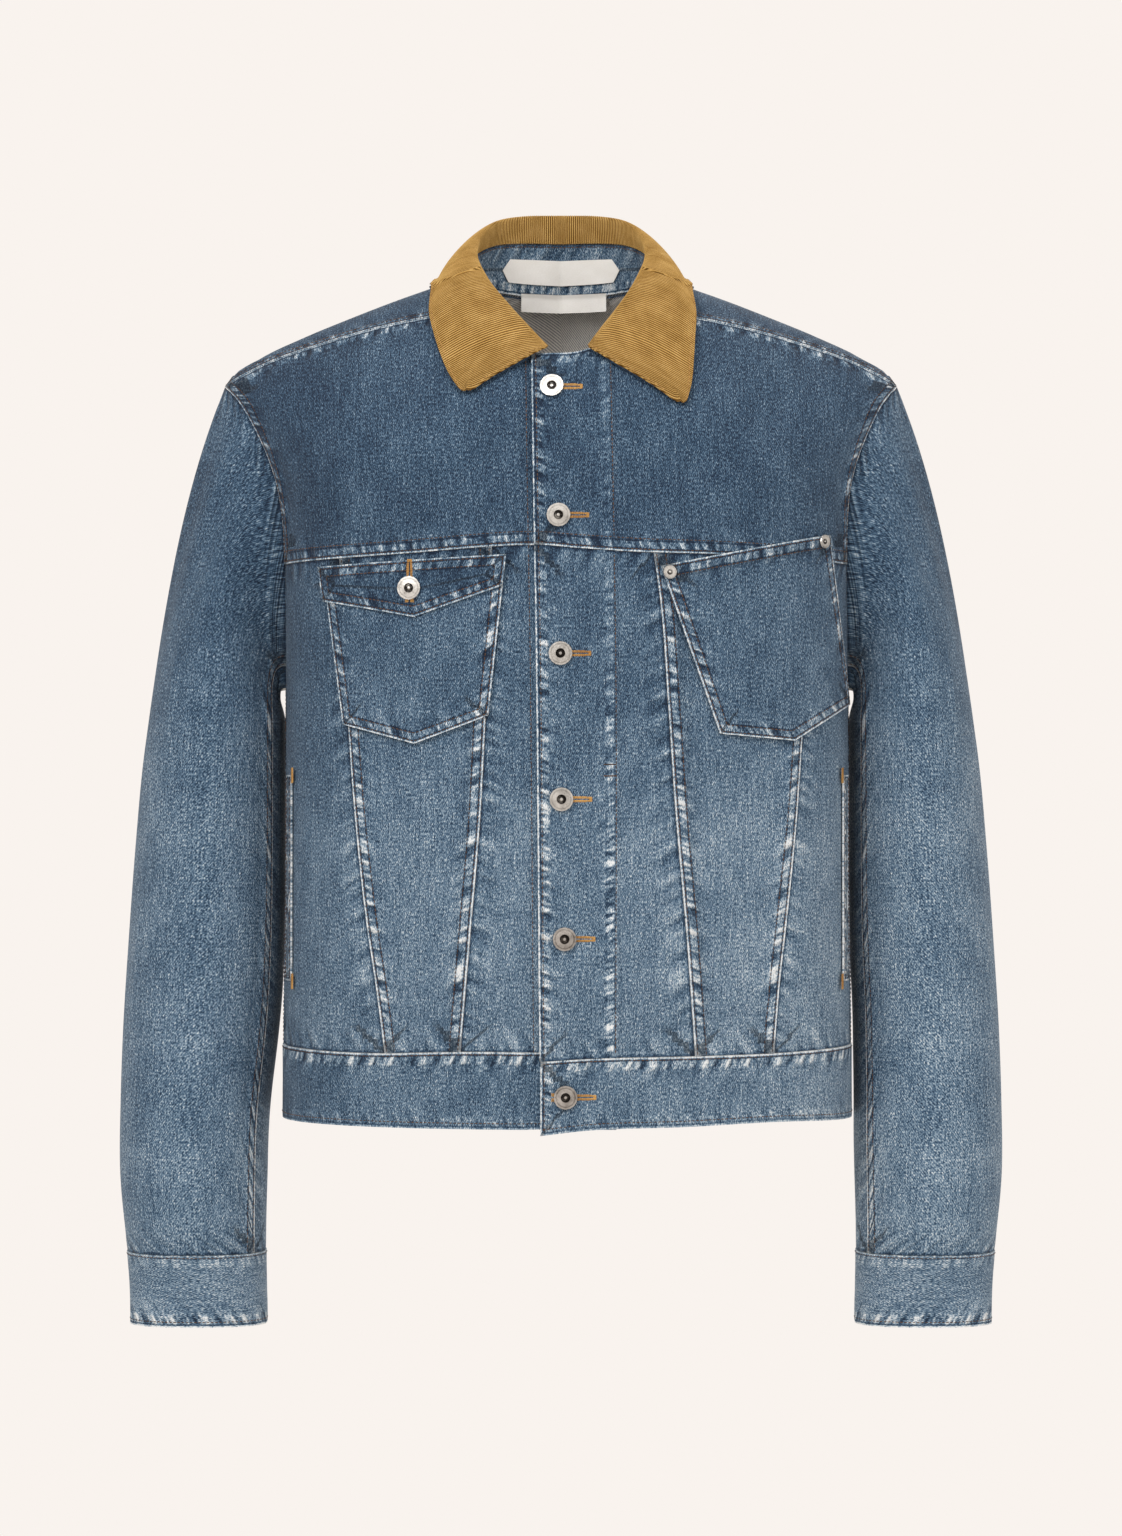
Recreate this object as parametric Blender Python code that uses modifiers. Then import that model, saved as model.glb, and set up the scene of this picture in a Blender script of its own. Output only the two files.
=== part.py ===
"""A cropped denim jacket with a corduroy collar, worn open-bodied with nobody in it.

Metres, +Z up. The front faces -Y and +X is the wearer's left. The origin is at the middle of the
base of the neck, where the wearer's shoulders carry the jacket.

The body is one worked-out surface: a rounded section at each height, closed towards the shoulder
ridge. Each panel is a patch of it between four seams, given a wall and a 0.3 mm gap at the seams.
What is sewn on a panel is made from the same surface, moved out.
"""

import math

import bmesh
import bpy
import numpy as np
from mathutils import Vector

NAME = "denim_jacket"

# ---------------------------------------------------------------- driving sizes
CLOTH = 0.0015          # denim wall
DOUBLED = 0.0022        # wall of a doubled piece, such as the waistband
GAP = 0.0003            # between two pieces at a seam
FELL = 0.0095           # width of a felled seam
FELL_RISE = 0.0007      # how far a felled seam stands proud
STEP = 0.0006           # run of the step at a felled seam's edge
LAP_SINK = 0.0020       # the right front sinks this much below the left one
YOKE_SINK = 0.0010      # and this much more at the rounder yoke
LAP_RISE = 0.0007       # the left front's doubled edge stands proud this much
EPS = 0.0005            # step for working out a surface's direction

ARMPIT_Z = -0.285
SHOULDER_TIP_Z = -0.065
SLEEVE_TOP_Z = -0.310   # first level ring of the sleeve
CUFF_TOP_Z = -0.6915
CUFF_END_Z = -0.7435

# The body's section at a height: half its width, its reach to the front and back of the middle,
# and how far its middle lies to the wearer's left. The last two rows are inside the shoulders.
TORSO_COLUMNS = ("z", "half_width", "front", "back", "shift")
TORSO = (
    (-0.600, 0.2052, 0.1175, 0.1010, 0.0045),
    (-0.543, 0.2050, 0.1190, 0.1040, 0.0045),
    (-0.500, 0.2045, 0.1225, 0.1080, 0.0045),
    (-0.420, 0.2035, 0.1250, 0.1130, 0.0045),
    (-0.330, 0.2035, 0.1255, 0.1180, 0.0045),
    (-0.240, 0.2035, 0.1230, 0.1250, 0.0040),
    (-0.200, 0.2045, 0.1205, 0.1270, 0.0035),
    (-0.170, 0.2065, 0.1190, 0.1275, 0.0030),
    (-0.137, 0.2125, 0.1165, 0.1265, 0.0020),
    (-0.100, 0.2320, 0.1120, 0.1245, 0.0010),
    (-0.065, 0.2620, 0.1080, 0.1210, 0.0000),
    (0.000, 0.3050, 0.1000, 0.1130, 0.0000),
    (0.060, 0.3300, 0.0930, 0.1040, 0.0000),
)
SECTION_POWER = 2.6     # 2 is an ellipse, more is squarer
FRONT_ROUND, FRONT_POWER = 0.120, 1.5   # how the front closes towards the shoulder ridge
BACK_ROUND, BACK_POWER = 0.100, 2.2

RIDGE_COLUMNS = ("x", "z")              # the shoulder line, from the neck to the sleeve
RIDGE = (
    (0.000, 0.0380),
    (0.060, 0.0185),
    (0.094, 0.0065),
    (0.114, -0.0005),
    (0.153, -0.0155),
    (0.188, -0.0300),
    (0.218, -0.0445),
    (0.240, -0.0600),
    (0.2435, -0.0650),
    (0.270, -0.0900),
)

# Where the armhole's edge lies round the body, in degrees from the middle of the front or back.
ARMHOLE_COLUMNS = ("z", "front_angle", "back_angle")
ARMHOLE = (
    (-0.285, 90.0, 90.0),
    (-0.270, 87.5, 82.0),
    (-0.240, 83.5, 75.0),
    (-0.200, 79.0, 71.0),
    (-0.170, 76.0, 70.5),
    (-0.137, 73.6, 70.2),
    (-0.117, 71.0, 69.5),
    (-0.098, 68.4, 68.3),
    (-0.078, 65.0, 66.5),
    (-0.065, 65.4, 65.4),
)
ARM_ROWS_HIGH, ARM_ROWS_LOW = 7, 5      # armhole steps above and below the chest seam

# Half of the neck seam, from the middle of the back round to the front.
NECK_COLUMNS = ("angle", "x", "z")
NECK = (
    (0, 0.0000, 0.0070),
    (20, 0.0260, 0.0075),
    (40, 0.0490, 0.0093),
    (60, 0.0660, 0.0108),
    (76, 0.0745, 0.0117),
    (90, 0.0765, 0.0075),
    (101, 0.0715, -0.0010),
    (112, 0.0625, -0.0120),
    (125, 0.0490, -0.0265),
    (140, 0.0340, -0.0390),
    (155, 0.0190, -0.0465),
    (170, 0.0070, -0.0495),
    (180, 0.0000, -0.0500),
)
NECK_SIDE_ANGLE = 82.0                  # where the neck seam crosses the shoulder ridge
NECK_SEAM_ANGLE = 113.0                 # where the shoulder seam meets it, in front

# Seams, by the place across at each height, or the height at each place across.
FRONT_EDGE = ((-0.600, -0.0140), (-0.543, -0.0150), (-0.400, -0.0162), (-0.250, -0.0177),
              (-0.150, -0.0195), (-0.045, -0.0210))
FACING_LINE = ((-0.600, 0.0390), (-0.250, 0.0390), (-0.150, 0.0375), (-0.045, 0.0355))
V_OUTER_RIGHT = ((-0.545, -0.1187), (-0.496, -0.1250), (-0.452, -0.1316), (-0.3785, -0.1397),
                 (-0.313, -0.1447), (-0.190, -0.1515))
V_INNER_RIGHT = ((-0.545, -0.0755), (-0.452, -0.0674), (-0.3785, -0.0611), (-0.313, -0.0576),
                 (-0.190, -0.0530))
V_INNER_LEFT = ((-0.545, 0.0987), (-0.452, 0.0917), (-0.3785, 0.0850), (-0.297, 0.0794),
                (-0.225, 0.0740), (-0.190, 0.0693))
V_OUTER_LEFT = ((-0.545, 0.1450), (-0.496, 0.1487), (-0.452, 0.1537), (-0.3785, 0.1610),
                (-0.313, 0.1658), (-0.190, 0.1750))
CHEST_SEAM = ((-0.210, -0.1965), (-0.110, -0.1917), (-0.040, -0.1868), (-0.020, -0.1860),
              (0.013, -0.1885), (0.055, -0.1910), (0.100, -0.1920), (0.215, -0.1965))
SHOULDER_SEAM = ((0.055, -0.0135), (0.092, -0.0190), (0.135, -0.0270), (0.174, -0.0375),
                 (0.210, -0.0490), (0.2435, -0.0650))
BAND_TOP_RIGHT = ((-0.215, -0.5405), (-0.140, -0.5425), (-0.064, -0.5405), (0.040, -0.5425))
BAND_TOP_LEFT = ((-0.016, -0.5475), (0.013, -0.5455), (0.080, -0.5440), (0.140, -0.5430),
                 (0.215, -0.5405))
HEM_RIGHT = ((-0.215, -0.5935), (-0.100, -0.5945), (0.040, -0.5953))
HEM_LEFT = ((-0.016, -0.5995), (0.013, -0.5960), (0.087, -0.5933), (0.155, -0.5912),
            (0.215, -0.5935))
BACK_YOKE_Z = -0.148                    # height of the back yoke's seam

# The collar, from the middle of the back to its front end: its roll line, its outer edge, and
# how far each lies over to the wearer's left.
COLLAR_COLUMNS = ("angle", "roll_x", "roll_y", "roll_z", "edge_x", "edge_y", "edge_z", "lean")
COLLAR = (
    (0, 0.0000, 0.0750, 0.0690, 0.0000, 0.1150, 0.0040, 0.0),
    (22, 0.0270, 0.0710, 0.0680, 0.0420, 0.1060, 0.0045, 0.0),
    (42, 0.0470, 0.0560, 0.0625, 0.0750, 0.0830, 0.0070, 0.0),
    (60, 0.0580, 0.0360, 0.0520, 0.0860, 0.0480, 0.0110, 0.0),
    (76, 0.0615, 0.0140, 0.0400, 0.0895, 0.0150, 0.0110, 0.0),
    (90, 0.0605, -0.0030, 0.0280, 0.0930, -0.0200, 0.0015, 0.05),
    (104, 0.0550, -0.0245, 0.0140, 0.0955, -0.0480, -0.0155, 0.12),
    (118, 0.0465, -0.0445, -0.0015, 0.0930, -0.0680, -0.0335, 0.25),
    (131, 0.0365, -0.0630, -0.0155, 0.0895, -0.0840, -0.0515, 0.45),
    (144, 0.0255, -0.0810, -0.0300, 0.0850, -0.0960, -0.0685, 0.70),
    (157, 0.0153, -0.0995, -0.0455, 0.0765, -0.1040, -0.0875, 1.0),
)
COLLAR_END = 157.0
ROLL_LEAN, EDGE_LEAN, TIP_DROP = 0.0050, 0.0095, 0.0045
CORDUROY, STAND_WALL, UNDER_COLLAR = 0.0016, 0.0015, 0.0010

# The sleeve's level rings: how far out its outer and inner edges are, its middle's place to the
# back, and half its depth.
SLEEVE_COLUMNS = ("z", "outer", "inner", "back", "half_depth")
SLEEVE = (
    (-0.7600, 0.3120, 0.2140, -0.0080, 0.0330),
    (-0.7435, 0.3115, 0.2135, -0.0070, 0.0330),
    (-0.6950, 0.3140, 0.2145, -0.0010, 0.0420),
    (-0.6750, 0.3165, 0.2145, 0.0020, 0.0490),
    (-0.6400, 0.3203, 0.2140, 0.0080, 0.0560),
    (-0.5840, 0.3210, 0.2130, 0.0165, 0.0620),
    (-0.5400, 0.3200, 0.2105, 0.0220, 0.0655),
    (-0.4670, 0.3160, 0.2070, 0.0265, 0.0700),
    (-0.4000, 0.3110, 0.2062, 0.0265, 0.0735),
    (-0.3360, 0.3047, 0.2062, 0.0235, 0.0750),
    (-0.3100, 0.3010, 0.2062, 0.0215, 0.0750),
    (-0.2800, 0.2970, 0.2062, 0.0200, 0.0745),
)
SLEEVE_POWER = 2.3
# How the sleeve leaves the armhole, from its top (0) to the armpit (1): along the body's
# surface, out of it, and down.
HEAD_COLUMNS = ("place", "along", "out", "down")
HEAD = ((0.0, 0.55, 0.00, 0.95), (0.25, 0.52, 0.42, 0.78), (0.5, 0.40, 1.15, 0.20),
        (0.75, 0.30, 1.1, 0.05), (1.0, 0.25, 1.0, 0.0))
HEAD_ROWS, ARM_ROWS = 6, 10
SLEEVE_GAP = 0.0006                     # at the armhole
FRONT_SEAM_STEP, BACK_SEAM_STEP = 10, 9  # armhole steps from the shoulder tip to a sleeve seam
SEAM_TURN = 0.0011                      # half the gap at a sleeve's seam, in turns
STRIP_TURN, STRIP_STEP = 0.055, 0.005   # width of a sleeve's felled strip and of its step, in turns
STRIP_CLEAR = 0.075                     # no other line of points is nearer the seam than this
CUFF_WALL, CUFF_RISE = 0.0020, 0.0006
CUFF_SINK = 0.0027                      # the cuff's inner end lies this much below its outer end
CUFF_START, CUFF_LAP, CUFF_FINISH = -0.015, 0.085, 2.055  # turns from the cuff's opening
CUFF_BUTTON_TURN = 0.035

# Soft folds: place, half length and half width, lean from upright in degrees, and height.
BODY_FOLD_COLUMNS = ("girth", "z", "half_length", "half_width", "lean", "height")
BODY_FOLDS = (
    (-0.165, -0.450, 0.100, 0.026, 8.0, 0.0030),
    (0.060, -0.440, 0.095, 0.024, -6.0, 0.0026),
    (0.170, -0.430, 0.110, 0.026, -9.0, 0.0030),
    (-0.095, -0.130, 0.060, 0.030, 24.0, 0.0022),
    (0.120, -0.130, 0.060, 0.030, -26.0, 0.0022),
    (-0.390, -0.330, 0.150, 0.034, 10.0, 0.0045),
    (0.400, -0.350, 0.150, 0.034, -12.0, 0.0045),
    (-0.500, -0.420, 0.120, 0.030, 5.0, 0.0035),
    (0.480, -0.300, 0.110, 0.030, -4.0, 0.0035),
)
SLEEVE_FOLD_COLUMNS = ("turn", "z", "half_length", "half_turn", "lean", "height")
SLEEVE_FOLDS = (
    (0.45, -0.300, 0.075, 0.11, 1.2, 0.0030),
    (0.30, -0.450, 0.120, 0.10, -0.6, 0.0030),
    (0.62, -0.530, 0.090, 0.09, 0.8, -0.0028),
    (1.55, -0.430, 0.090, 0.12, -1.4, -0.0040),
    (1.40, -0.490, 0.080, 0.10, -1.2, 0.0040),
    (1.70, -0.300, 0.090, 0.13, 0.9, 0.0035),
    (1.80, -0.600, 0.080, 0.12, 0.6, 0.0030),
)

# Patches sewn on the front, by their corners (across, height).
POCKET_LIFT, FLAP_LIFT = 0.0033, 0.0054
CHEST_POCKET = {
    "top": ((-0.1660, -0.2060), (-0.0385, -0.1960)),
    "bottom": ((-0.1518, -0.3115), (-0.1020, -0.3250), (-0.0506, -0.3055)),
}
CHEST_FLAP = {
    "top": ((-0.1687, -0.2000), (-0.0380, -0.1930)),
    "bottom": ((-0.1652, -0.2245), (-0.1020, -0.2366), (-0.0408, -0.2150)),
}
SLANT_POCKET = {
    "top": ((0.0696, -0.2010), (0.1885, -0.1765)),
    "bottom": ((0.1106, -0.3180), (0.1630, -0.3228), (0.2045, -0.2965)),
}
WELT_INNER, WELT_WIDTH, WELT_LIFT, WELT_WALL = 0.1955, 0.0130, 0.0022, 0.0012
WELT_TOP, WELT_BOTTOM = -0.347, -0.494

# Buttons and rivets, by their places on the front (across, height).
FRONT_BUTTONS = ((-0.0063, -0.0745), (-0.0018, -0.1652), (-0.0004, -0.2620),
                 (0.0003, -0.3638), (0.0025, -0.4613), (0.0032, -0.5722))
FLAP_BUTTON = (-0.1047, -0.2165)
RIVETS = ((0.0755, -0.2055), (0.1835, -0.1815))
BUTTON_RADIUS, RIVET_RADIUS = 0.0083, 0.0050
BUTTON_SIDES, RIVET_SIDES = 16, 14
RIVET_LIFT, CUFF_BUTTON_LIFT = 0.0004, 0.0007   # off the curved cloth below them
# Half a button and half a rivet, down from the middle of the top, as shares of the radius.
BUTTON_PROFILE = ((0.0, 0.19), (0.30, 0.16), (0.41, 0.29), (1.0, 0.25), (1.0, 0.13),
                  (0.44, 0.10), (0.42, 0.0), (0.0, 0.0))
RIVET_PROFILE = ((0.0, 0.34), (0.34, 0.24), (0.92, 0.26), (1.0, 0.10), (0.94, 0.0), (0.0, 0.0))

# Two blank labels at the back of the neck: half width and how far up each reaches.
LABEL_WALL, LABEL_OFF = 0.0005, 0.0009
LABEL_IN, LABEL_SLOPE = 0.0025, 0.50    # how the lower one stands off the back of the neck
STAND_PER_TURN = 0.1800                # metres along the stand's back for one turn of the collar
UPPER_LABEL = {"half_width": 0.0420, "point": 0.0055, "low": -0.885, "high": -0.66}
LOWER_LABEL = {"middle": 0.0020, "half_width": 0.0315, "low": -0.0030, "high": 0.0104}

# The colours of the cloths and metals, with roughness and metallic.
MATERIALS = {
    "denim": ((0.080, 0.135, 0.215), 0.85, 0.0),
    "corduroy": ((0.430, 0.245, 0.060), 0.90, 0.0),
    "metal": ((0.560, 0.540, 0.510), 0.35, 1.0),
    "label": ((0.800, 0.760, 0.690), 0.80, 0.0),
}


# ---------------------------------------------------------------- curves
def smooth(rows, at, column=1):
    """A table's column at any place along its first one, on a smooth curve through its rows."""
    table = np.array(rows, float)
    known, values = table[:, 0], table[:, column]
    at = np.clip(np.asarray(at, float), known[0], known[-1])
    slopes = np.gradient(values, known)
    row = np.clip(np.searchsorted(known, at) - 1, 0, len(known) - 2)
    run = known[row + 1] - known[row]
    part = (at - known[row]) / run
    back = 1 - part
    ends = values[row] * back * back * (1 + 2 * part) + values[row + 1] * part * part * (1 + 2 * back)
    return ends + run * part * back * (slopes[row] * back - slopes[row + 1] * part)


def ease(value, low, high):
    """0 at low, 1 at high, and smooth between."""
    part = np.clip((np.asarray(value, float) - low) / (high - low), 0, 1)
    return part * part * (3 - 2 * part)


def signed_power(value, power):
    return np.sign(value) * np.abs(value) ** power


def unit(vectors):
    return vectors / np.maximum(np.linalg.norm(vectors, axis=-1, keepdims=True), 1e-12)


def blend(first, last, share):
    return first + (last - first) * np.asarray(share)[..., None]


# ---------------------------------------------------------------- the body's surface
def girth_table():
    """The angle round the section, in radians, against the length along it from the front."""
    angle = np.linspace(0, math.pi, 4001)
    depth = np.where(angle < math.pi / 2, 0.122, 0.118)
    across = 0.2035 * np.abs(np.sin(angle)) ** (2 / SECTION_POWER)
    along = depth * signed_power(np.cos(angle), 2 / SECTION_POWER)
    steps = np.hypot(np.diff(across), np.diff(along))
    return angle, np.concatenate([[0], np.cumsum(steps)])


SECTION_ANGLE, SECTION_LENGTH = girth_table()
HALF_GIRTH = SECTION_LENGTH[-1]


def angle_of(girth):
    """A girth past the middle of the back carries on round the other side."""
    wrapped = np.mod(girth + HALF_GIRTH, 2 * HALF_GIRTH) - HALF_GIRTH
    return np.sign(wrapped) * np.interp(np.abs(wrapped), SECTION_LENGTH, SECTION_ANGLE)


def girth_of(angle):
    return np.sign(angle) * np.interp(np.abs(angle), SECTION_ANGLE, SECTION_LENGTH)


def girth_at(x, z, back=False):
    """Where a place across the front or back lies along the girth."""
    share = (x - smooth(TORSO, z, 4)) / smooth(TORSO, z, 1)
    angle = np.arcsin(np.clip(signed_power(share, SECTION_POWER / 2), -1, 1))
    if back:
        angle = np.where(share < 0, -math.pi - angle, math.pi - angle)
    return girth_of(angle)


SIDE_GIRTH = float(girth_of(np.float64(math.pi / 2)))


def fold_height(folds, across, along):
    """The sum of soft ridges and troughs at a place."""
    total = np.zeros(np.broadcast(across, along).shape)
    for place, level, half_length, half_width, lean, height in folds:
        tilt = math.radians(lean) if abs(lean) > 3 else lean * half_width / half_length
        down = along - level
        side = (across - place - down * math.tan(tilt)) / half_width
        total += height * np.exp(-side * side * 1.6) * np.exp(-((down / half_length) ** 2) * 1.6)
    return total


def torso(girth, z):
    """The body's outer surface."""
    girth, z = np.broadcast_arrays(np.asarray(girth, float), np.asarray(z, float))
    angle = angle_of(girth)
    across = smooth(TORSO, z, 1) * signed_power(np.sin(angle), 2 / SECTION_POWER)
    front = np.cos(angle) >= 0
    reach = np.where(front, smooth(TORSO, z, 2), smooth(TORSO, z, 3))
    depth = reach * np.abs(np.cos(angle)) ** (2 / SECTION_POWER)
    below = smooth(RIDGE, np.abs(across)) - z
    rounding = np.where(front, FRONT_ROUND, BACK_ROUND)
    power = np.where(front, FRONT_POWER, BACK_POWER)
    closed = (1 - (1 - np.clip(below / rounding, 0, 1)) ** power) ** (1 / power)
    depth = depth * closed + fold_height(BODY_FOLDS, girth, z) * closed
    x = across + smooth(TORSO, z, 4)
    return np.stack([x, np.where(front, -depth, depth), z], -1)


def normals(surface, first, second):
    """A surface's outward direction, where the first parameter runs to the left seen from
    inside and the second runs up."""
    along = surface(first + EPS, second) - surface(first - EPS, second)
    up = surface(first, second + EPS) - surface(first, second - EPS)
    return unit(np.cross(along, up))


def torso_normals(girth, z):
    return normals(torso, girth, z)


# ---------------------------------------------------------------- seams on the body
def armhole_place(side, place, back=False):
    """The armhole's edge, from the shoulder tip (0) to the armpit (1)."""
    middle = (ARMPIT_Z + SHOULDER_TIP_Z) / 2
    half = (SHOULDER_TIP_Z - ARMPIT_Z) / 2
    z = middle + half * np.cos(math.pi * np.asarray(place, float))
    angle = np.radians(smooth(ARMHOLE, z, 2 if back else 1))
    if back:
        angle = math.pi - angle
    return np.stack([side * girth_of(angle), z], -1)


def armhole_steps(seam_z):
    """The places of the armhole's points, with one of them at the height of a seam."""
    middle = (ARMPIT_Z + SHOULDER_TIP_Z) / 2
    half = (SHOULDER_TIP_Z - ARMPIT_Z) / 2
    seam = math.acos((seam_z - middle) / half) / math.pi
    high = np.linspace(0, seam, ARM_ROWS_HIGH + 1)
    low = np.linspace(seam, 1, ARM_ROWS_LOW + 1)
    return np.concatenate([high, low[1:]])


FRONT_STEPS = armhole_steps(-0.1955)
BACK_STEPS = armhole_steps(BACK_YOKE_Z)


def neck_place(side, angle):
    """The neck seam at an angle from the middle of the back."""
    angle = np.asarray(angle, float)
    x, z = side * smooth(NECK, angle), smooth(NECK, angle, 2)
    front = angle > NECK_SIDE_ANGLE
    return np.stack([np.where(front, girth_at(x, z), girth_at(x, z, True)), z], -1)


def front_place(x, z):
    return np.stack([girth_at(x, z), z], -1)


# ---------------------------------------------------------------- patches and walls
def patch(left, right, bottom, top):
    """A grid of places between four seams (Coons patch). left and right run up, bottom and
    top run from left to right."""
    rows, columns = len(left), len(bottom)
    t, s = np.linspace(0, 1, rows)[:, None, None], np.linspace(0, 1, columns)[None, :, None]
    between = (1 - t) * bottom[None] + t * top[None] + (1 - s) * left[:, None] + s * right[:, None]
    corners = ((1 - s) * (1 - t) * bottom[0] + s * (1 - t) * bottom[-1]
               + (1 - s) * t * top[0] + s * t * top[-1])
    return between - corners


def corner_line(corners, count):
    """Places along straight lines through corners given as (across, height). With a count that
    the lines share evenly, each corner is one of the points."""
    corners = np.array(corners, float)
    shares = np.linspace(0, len(corners) - 1, count + 1)
    x, z = (np.interp(shares, np.arange(len(corners)), column) for column in corners.T)
    return front_place(x, z)


def strip_at_side(places, rise, width, far):
    """Adds the two lines of a raised strip's edge along a grid's left or right side, and drops
    the old lines that they would crowd."""
    if far:
        places, rise = strip_at_side(places[:, ::-1], rise[:, ::-1], width, False)
        return places[:, ::-1], rise[:, ::-1]
    steps = np.linalg.norm(np.diff(places, axis=1), axis=2)
    length = np.concatenate([np.zeros((len(places), 1)), np.cumsum(steps, axis=1)], 1)
    first = 1 + int(np.sum(length[:, 1:-1].min(0) < width + 4 * STEP))
    lines, rises = [], []
    for line, lifts, at in zip(places, rise, length):
        edge = min(width, 0.6 * at[first])
        wanted = np.concatenate([[0, edge, edge + STEP], at[first:]])
        lines.append(np.stack([np.interp(wanted, at, column) for column in line.T], -1))
        own = np.concatenate([[1, 1, 0], np.zeros(len(at) - first)])
        rises.append(np.maximum(np.interp(wanted, at, lifts), own))
    return np.array(lines), np.array(rises)


def strips(places, left=0.0, right=0.0, bottom=0.0, top=0.0):
    """A grid with the lines of a raised strip along each side that has one, and the share of
    the strip's rise at each point. A side's value is its strip's width."""
    rise = np.zeros(places.shape[:2])
    for width, far in ((left, False), (right, True)):
        if width:
            places, rise = strip_at_side(places, rise, width, far)
    for width, far in ((bottom, False), (top, True)):
        if width:
            turned, turned_rise = strip_at_side(np.swapaxes(places, 0, 1), rise.T, width, far)
            places, rise = np.swapaxes(turned, 0, 1), turned_rise.T
    return places, rise


def drawn_in(points, gaps):
    """Moves a grid's outer lines in by the seam gaps (left, right, bottom, top)."""
    points = points.copy()
    lines = ((np.s_[:, 0], np.s_[:, 1]), (np.s_[:, -1], np.s_[:, -2]),
             (np.s_[0], np.s_[1]), (np.s_[-1], np.s_[-2]))
    for gap, (edge, inner) in zip(gaps, lines):
        if gap:
            points[edge] += unit(points[inner] - points[edge]) * gap
    return points


def wall_mesh(name, outer, inner):
    """A closed wall between two grids of points."""
    rows, columns = outer.shape[:2]
    count = rows * columns
    points = np.concatenate([outer.reshape(-1, 3), inner.reshape(-1, 3)])
    faces = []
    for row in range(rows - 1):
        for column in range(columns - 1):
            here = row * columns + column
            quad = (here, here + 1, here + 1 + columns, here + columns)
            back = (quad[0], quad[3], quad[2], quad[1])
            faces += [quad, tuple(corner + count for corner in back)]
    border = ([column for column in range(columns)]
              + [row * columns + columns - 1 for row in range(1, rows)]
              + [(rows - 1) * columns + column for column in range(columns - 2, -1, -1)]
              + [row * columns for row in range(rows - 2, 0, -1)])
    for here, beside in zip(border, border[1:] + border[:1]):
        faces.append((beside, here, here + count, beside + count))
    mesh = bpy.data.meshes.new(name)
    mesh.from_pydata(points.tolist(), [], faces)
    body = bmesh.new()
    body.from_mesh(mesh)
    bmesh.ops.recalc_face_normals(body, faces=body.faces)
    body.to_mesh(mesh)
    body.free()
    return mesh


def add_node(name, mesh, material="denim"):
    piece = bpy.data.objects.new(name, mesh)
    mesh.materials.append(bpy.data.materials[material])
    bpy.data.collections[NAME].objects.link(piece)
    mesh.shade_smooth()
    mesh.set_sharp_from_angle(angle=math.radians(40))
    return piece


def cloth(name, points, out, above, below, gaps=(0, 0, 0, 0), material="denim"):
    """A piece of cloth from a grid of points and directions, between two heights over it."""
    points = drawn_in(points, gaps)
    above, below = (np.broadcast_to(value, points.shape[:2])[..., None] for value in (above, below))
    return add_node(name, wall_mesh(name, points + out * above, points + out * below), material)


def panel(name, places, lift=0.0, wall=CLOTH, rise=0.0, gaps=(0, 0, 0, 0), shape=None):
    """A piece of cloth on the body's surface."""
    points, out = torso(places[..., 0], places[..., 1]), torso_normals(places[..., 0], places[..., 1])
    above, below = lift + rise * FELL_RISE, lift - wall
    if shape is not None:
        higher, lower = shape(points)
        above, below = above + higher, below + lower
    cloth(name, points, out, above, below, gaps)


# ---------------------------------------------------------------- fronts
HALF_GAP = GAP / 2
SINK_FROM, SINK_TO = -0.014, -0.003     # where the right front sinks, from the left one's edge
UNDER_LINE = 0.013                      # a line of points past that edge, near the collar's end
NECK_FRONT_Z = -0.0499                  # the left front's level neck edge
UNDER_FROM, UNDER_Z = -0.010, -0.0505   # the right front's neck edge below it
FRONT_ROWS = 12
YOKE_ROWS = 7                           # of points from the neck seam to the yoke's rim
BOTTOM_HEM = 0.0115                     # width of the chest seam's felled strip


def lap_left(points):
    """The left front is doubled, and a little proud, from its edge to the facing's stitch line."""
    doubled = 1.0 * (points[..., 0] < smooth(FACING_LINE, points[..., 2]) + STEP / 2)
    return doubled * LAP_RISE, np.zeros_like(doubled)


def under_lap(points):
    """1 where a right piece has sunk below the left one, 0 before the left one's edge."""
    edge = smooth(FRONT_EDGE, points[..., 2])
    return ease(points[..., 0], edge + SINK_FROM, edge + SINK_TO)


def lap_right(points):
    """The right front sinks below the left one before the left one's edge."""
    sunk = -(LAP_SINK + YOKE_SINK * ease(points[..., 2], -0.200, -0.120)) * under_lap(points)
    return sunk, sunk


def ordered(places, side):
    """A grid made from the front to the side, put in left-to-right order for either side."""
    return places if side > 0 else places[:, ::-1]


def side_gaps(side, near, far, bottom=HALF_GAP, top=HALF_GAP):
    return (near, far, bottom, top) if side > 0 else (far, near, bottom, top)


def lap_lines(side):
    """The upright lines that shape the lap, from the front's own edge on: tables and offsets,
    with the count of columns up to each."""
    if side > 0:
        return ((FRONT_EDGE, 0.0, 0), (FACING_LINE, 0.0, 4), (FACING_LINE, STEP, 1))
    return ((FACING_LINE, 0.0, 0), (FRONT_EDGE, UNDER_LINE, 1), (FRONT_EDGE, SINK_TO, 1),
            (FRONT_EDGE, SINK_FROM, 1))


def band_top(side):
    return BAND_TOP_LEFT if side > 0 else BAND_TOP_RIGHT


def v_seams(side):
    return (V_INNER_LEFT, V_OUTER_LEFT) if side > 0 else (V_INNER_RIGHT, V_OUTER_RIGHT)


def upright(side, table, offset, low=None, rows=FRONT_ROWS):
    """An upright seam from the waistband to the chest seam, or above from the chest seam on."""
    z_low = float(smooth(band_top(side), smooth(table, -0.5425) + offset))
    z_high = float(smooth(CHEST_SEAM, smooth(table, -0.19) + offset))
    z = np.linspace(z_low if low is None else low, z_high, rows + 1)
    return front_place(smooth(table, z) + offset, z)


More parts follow.
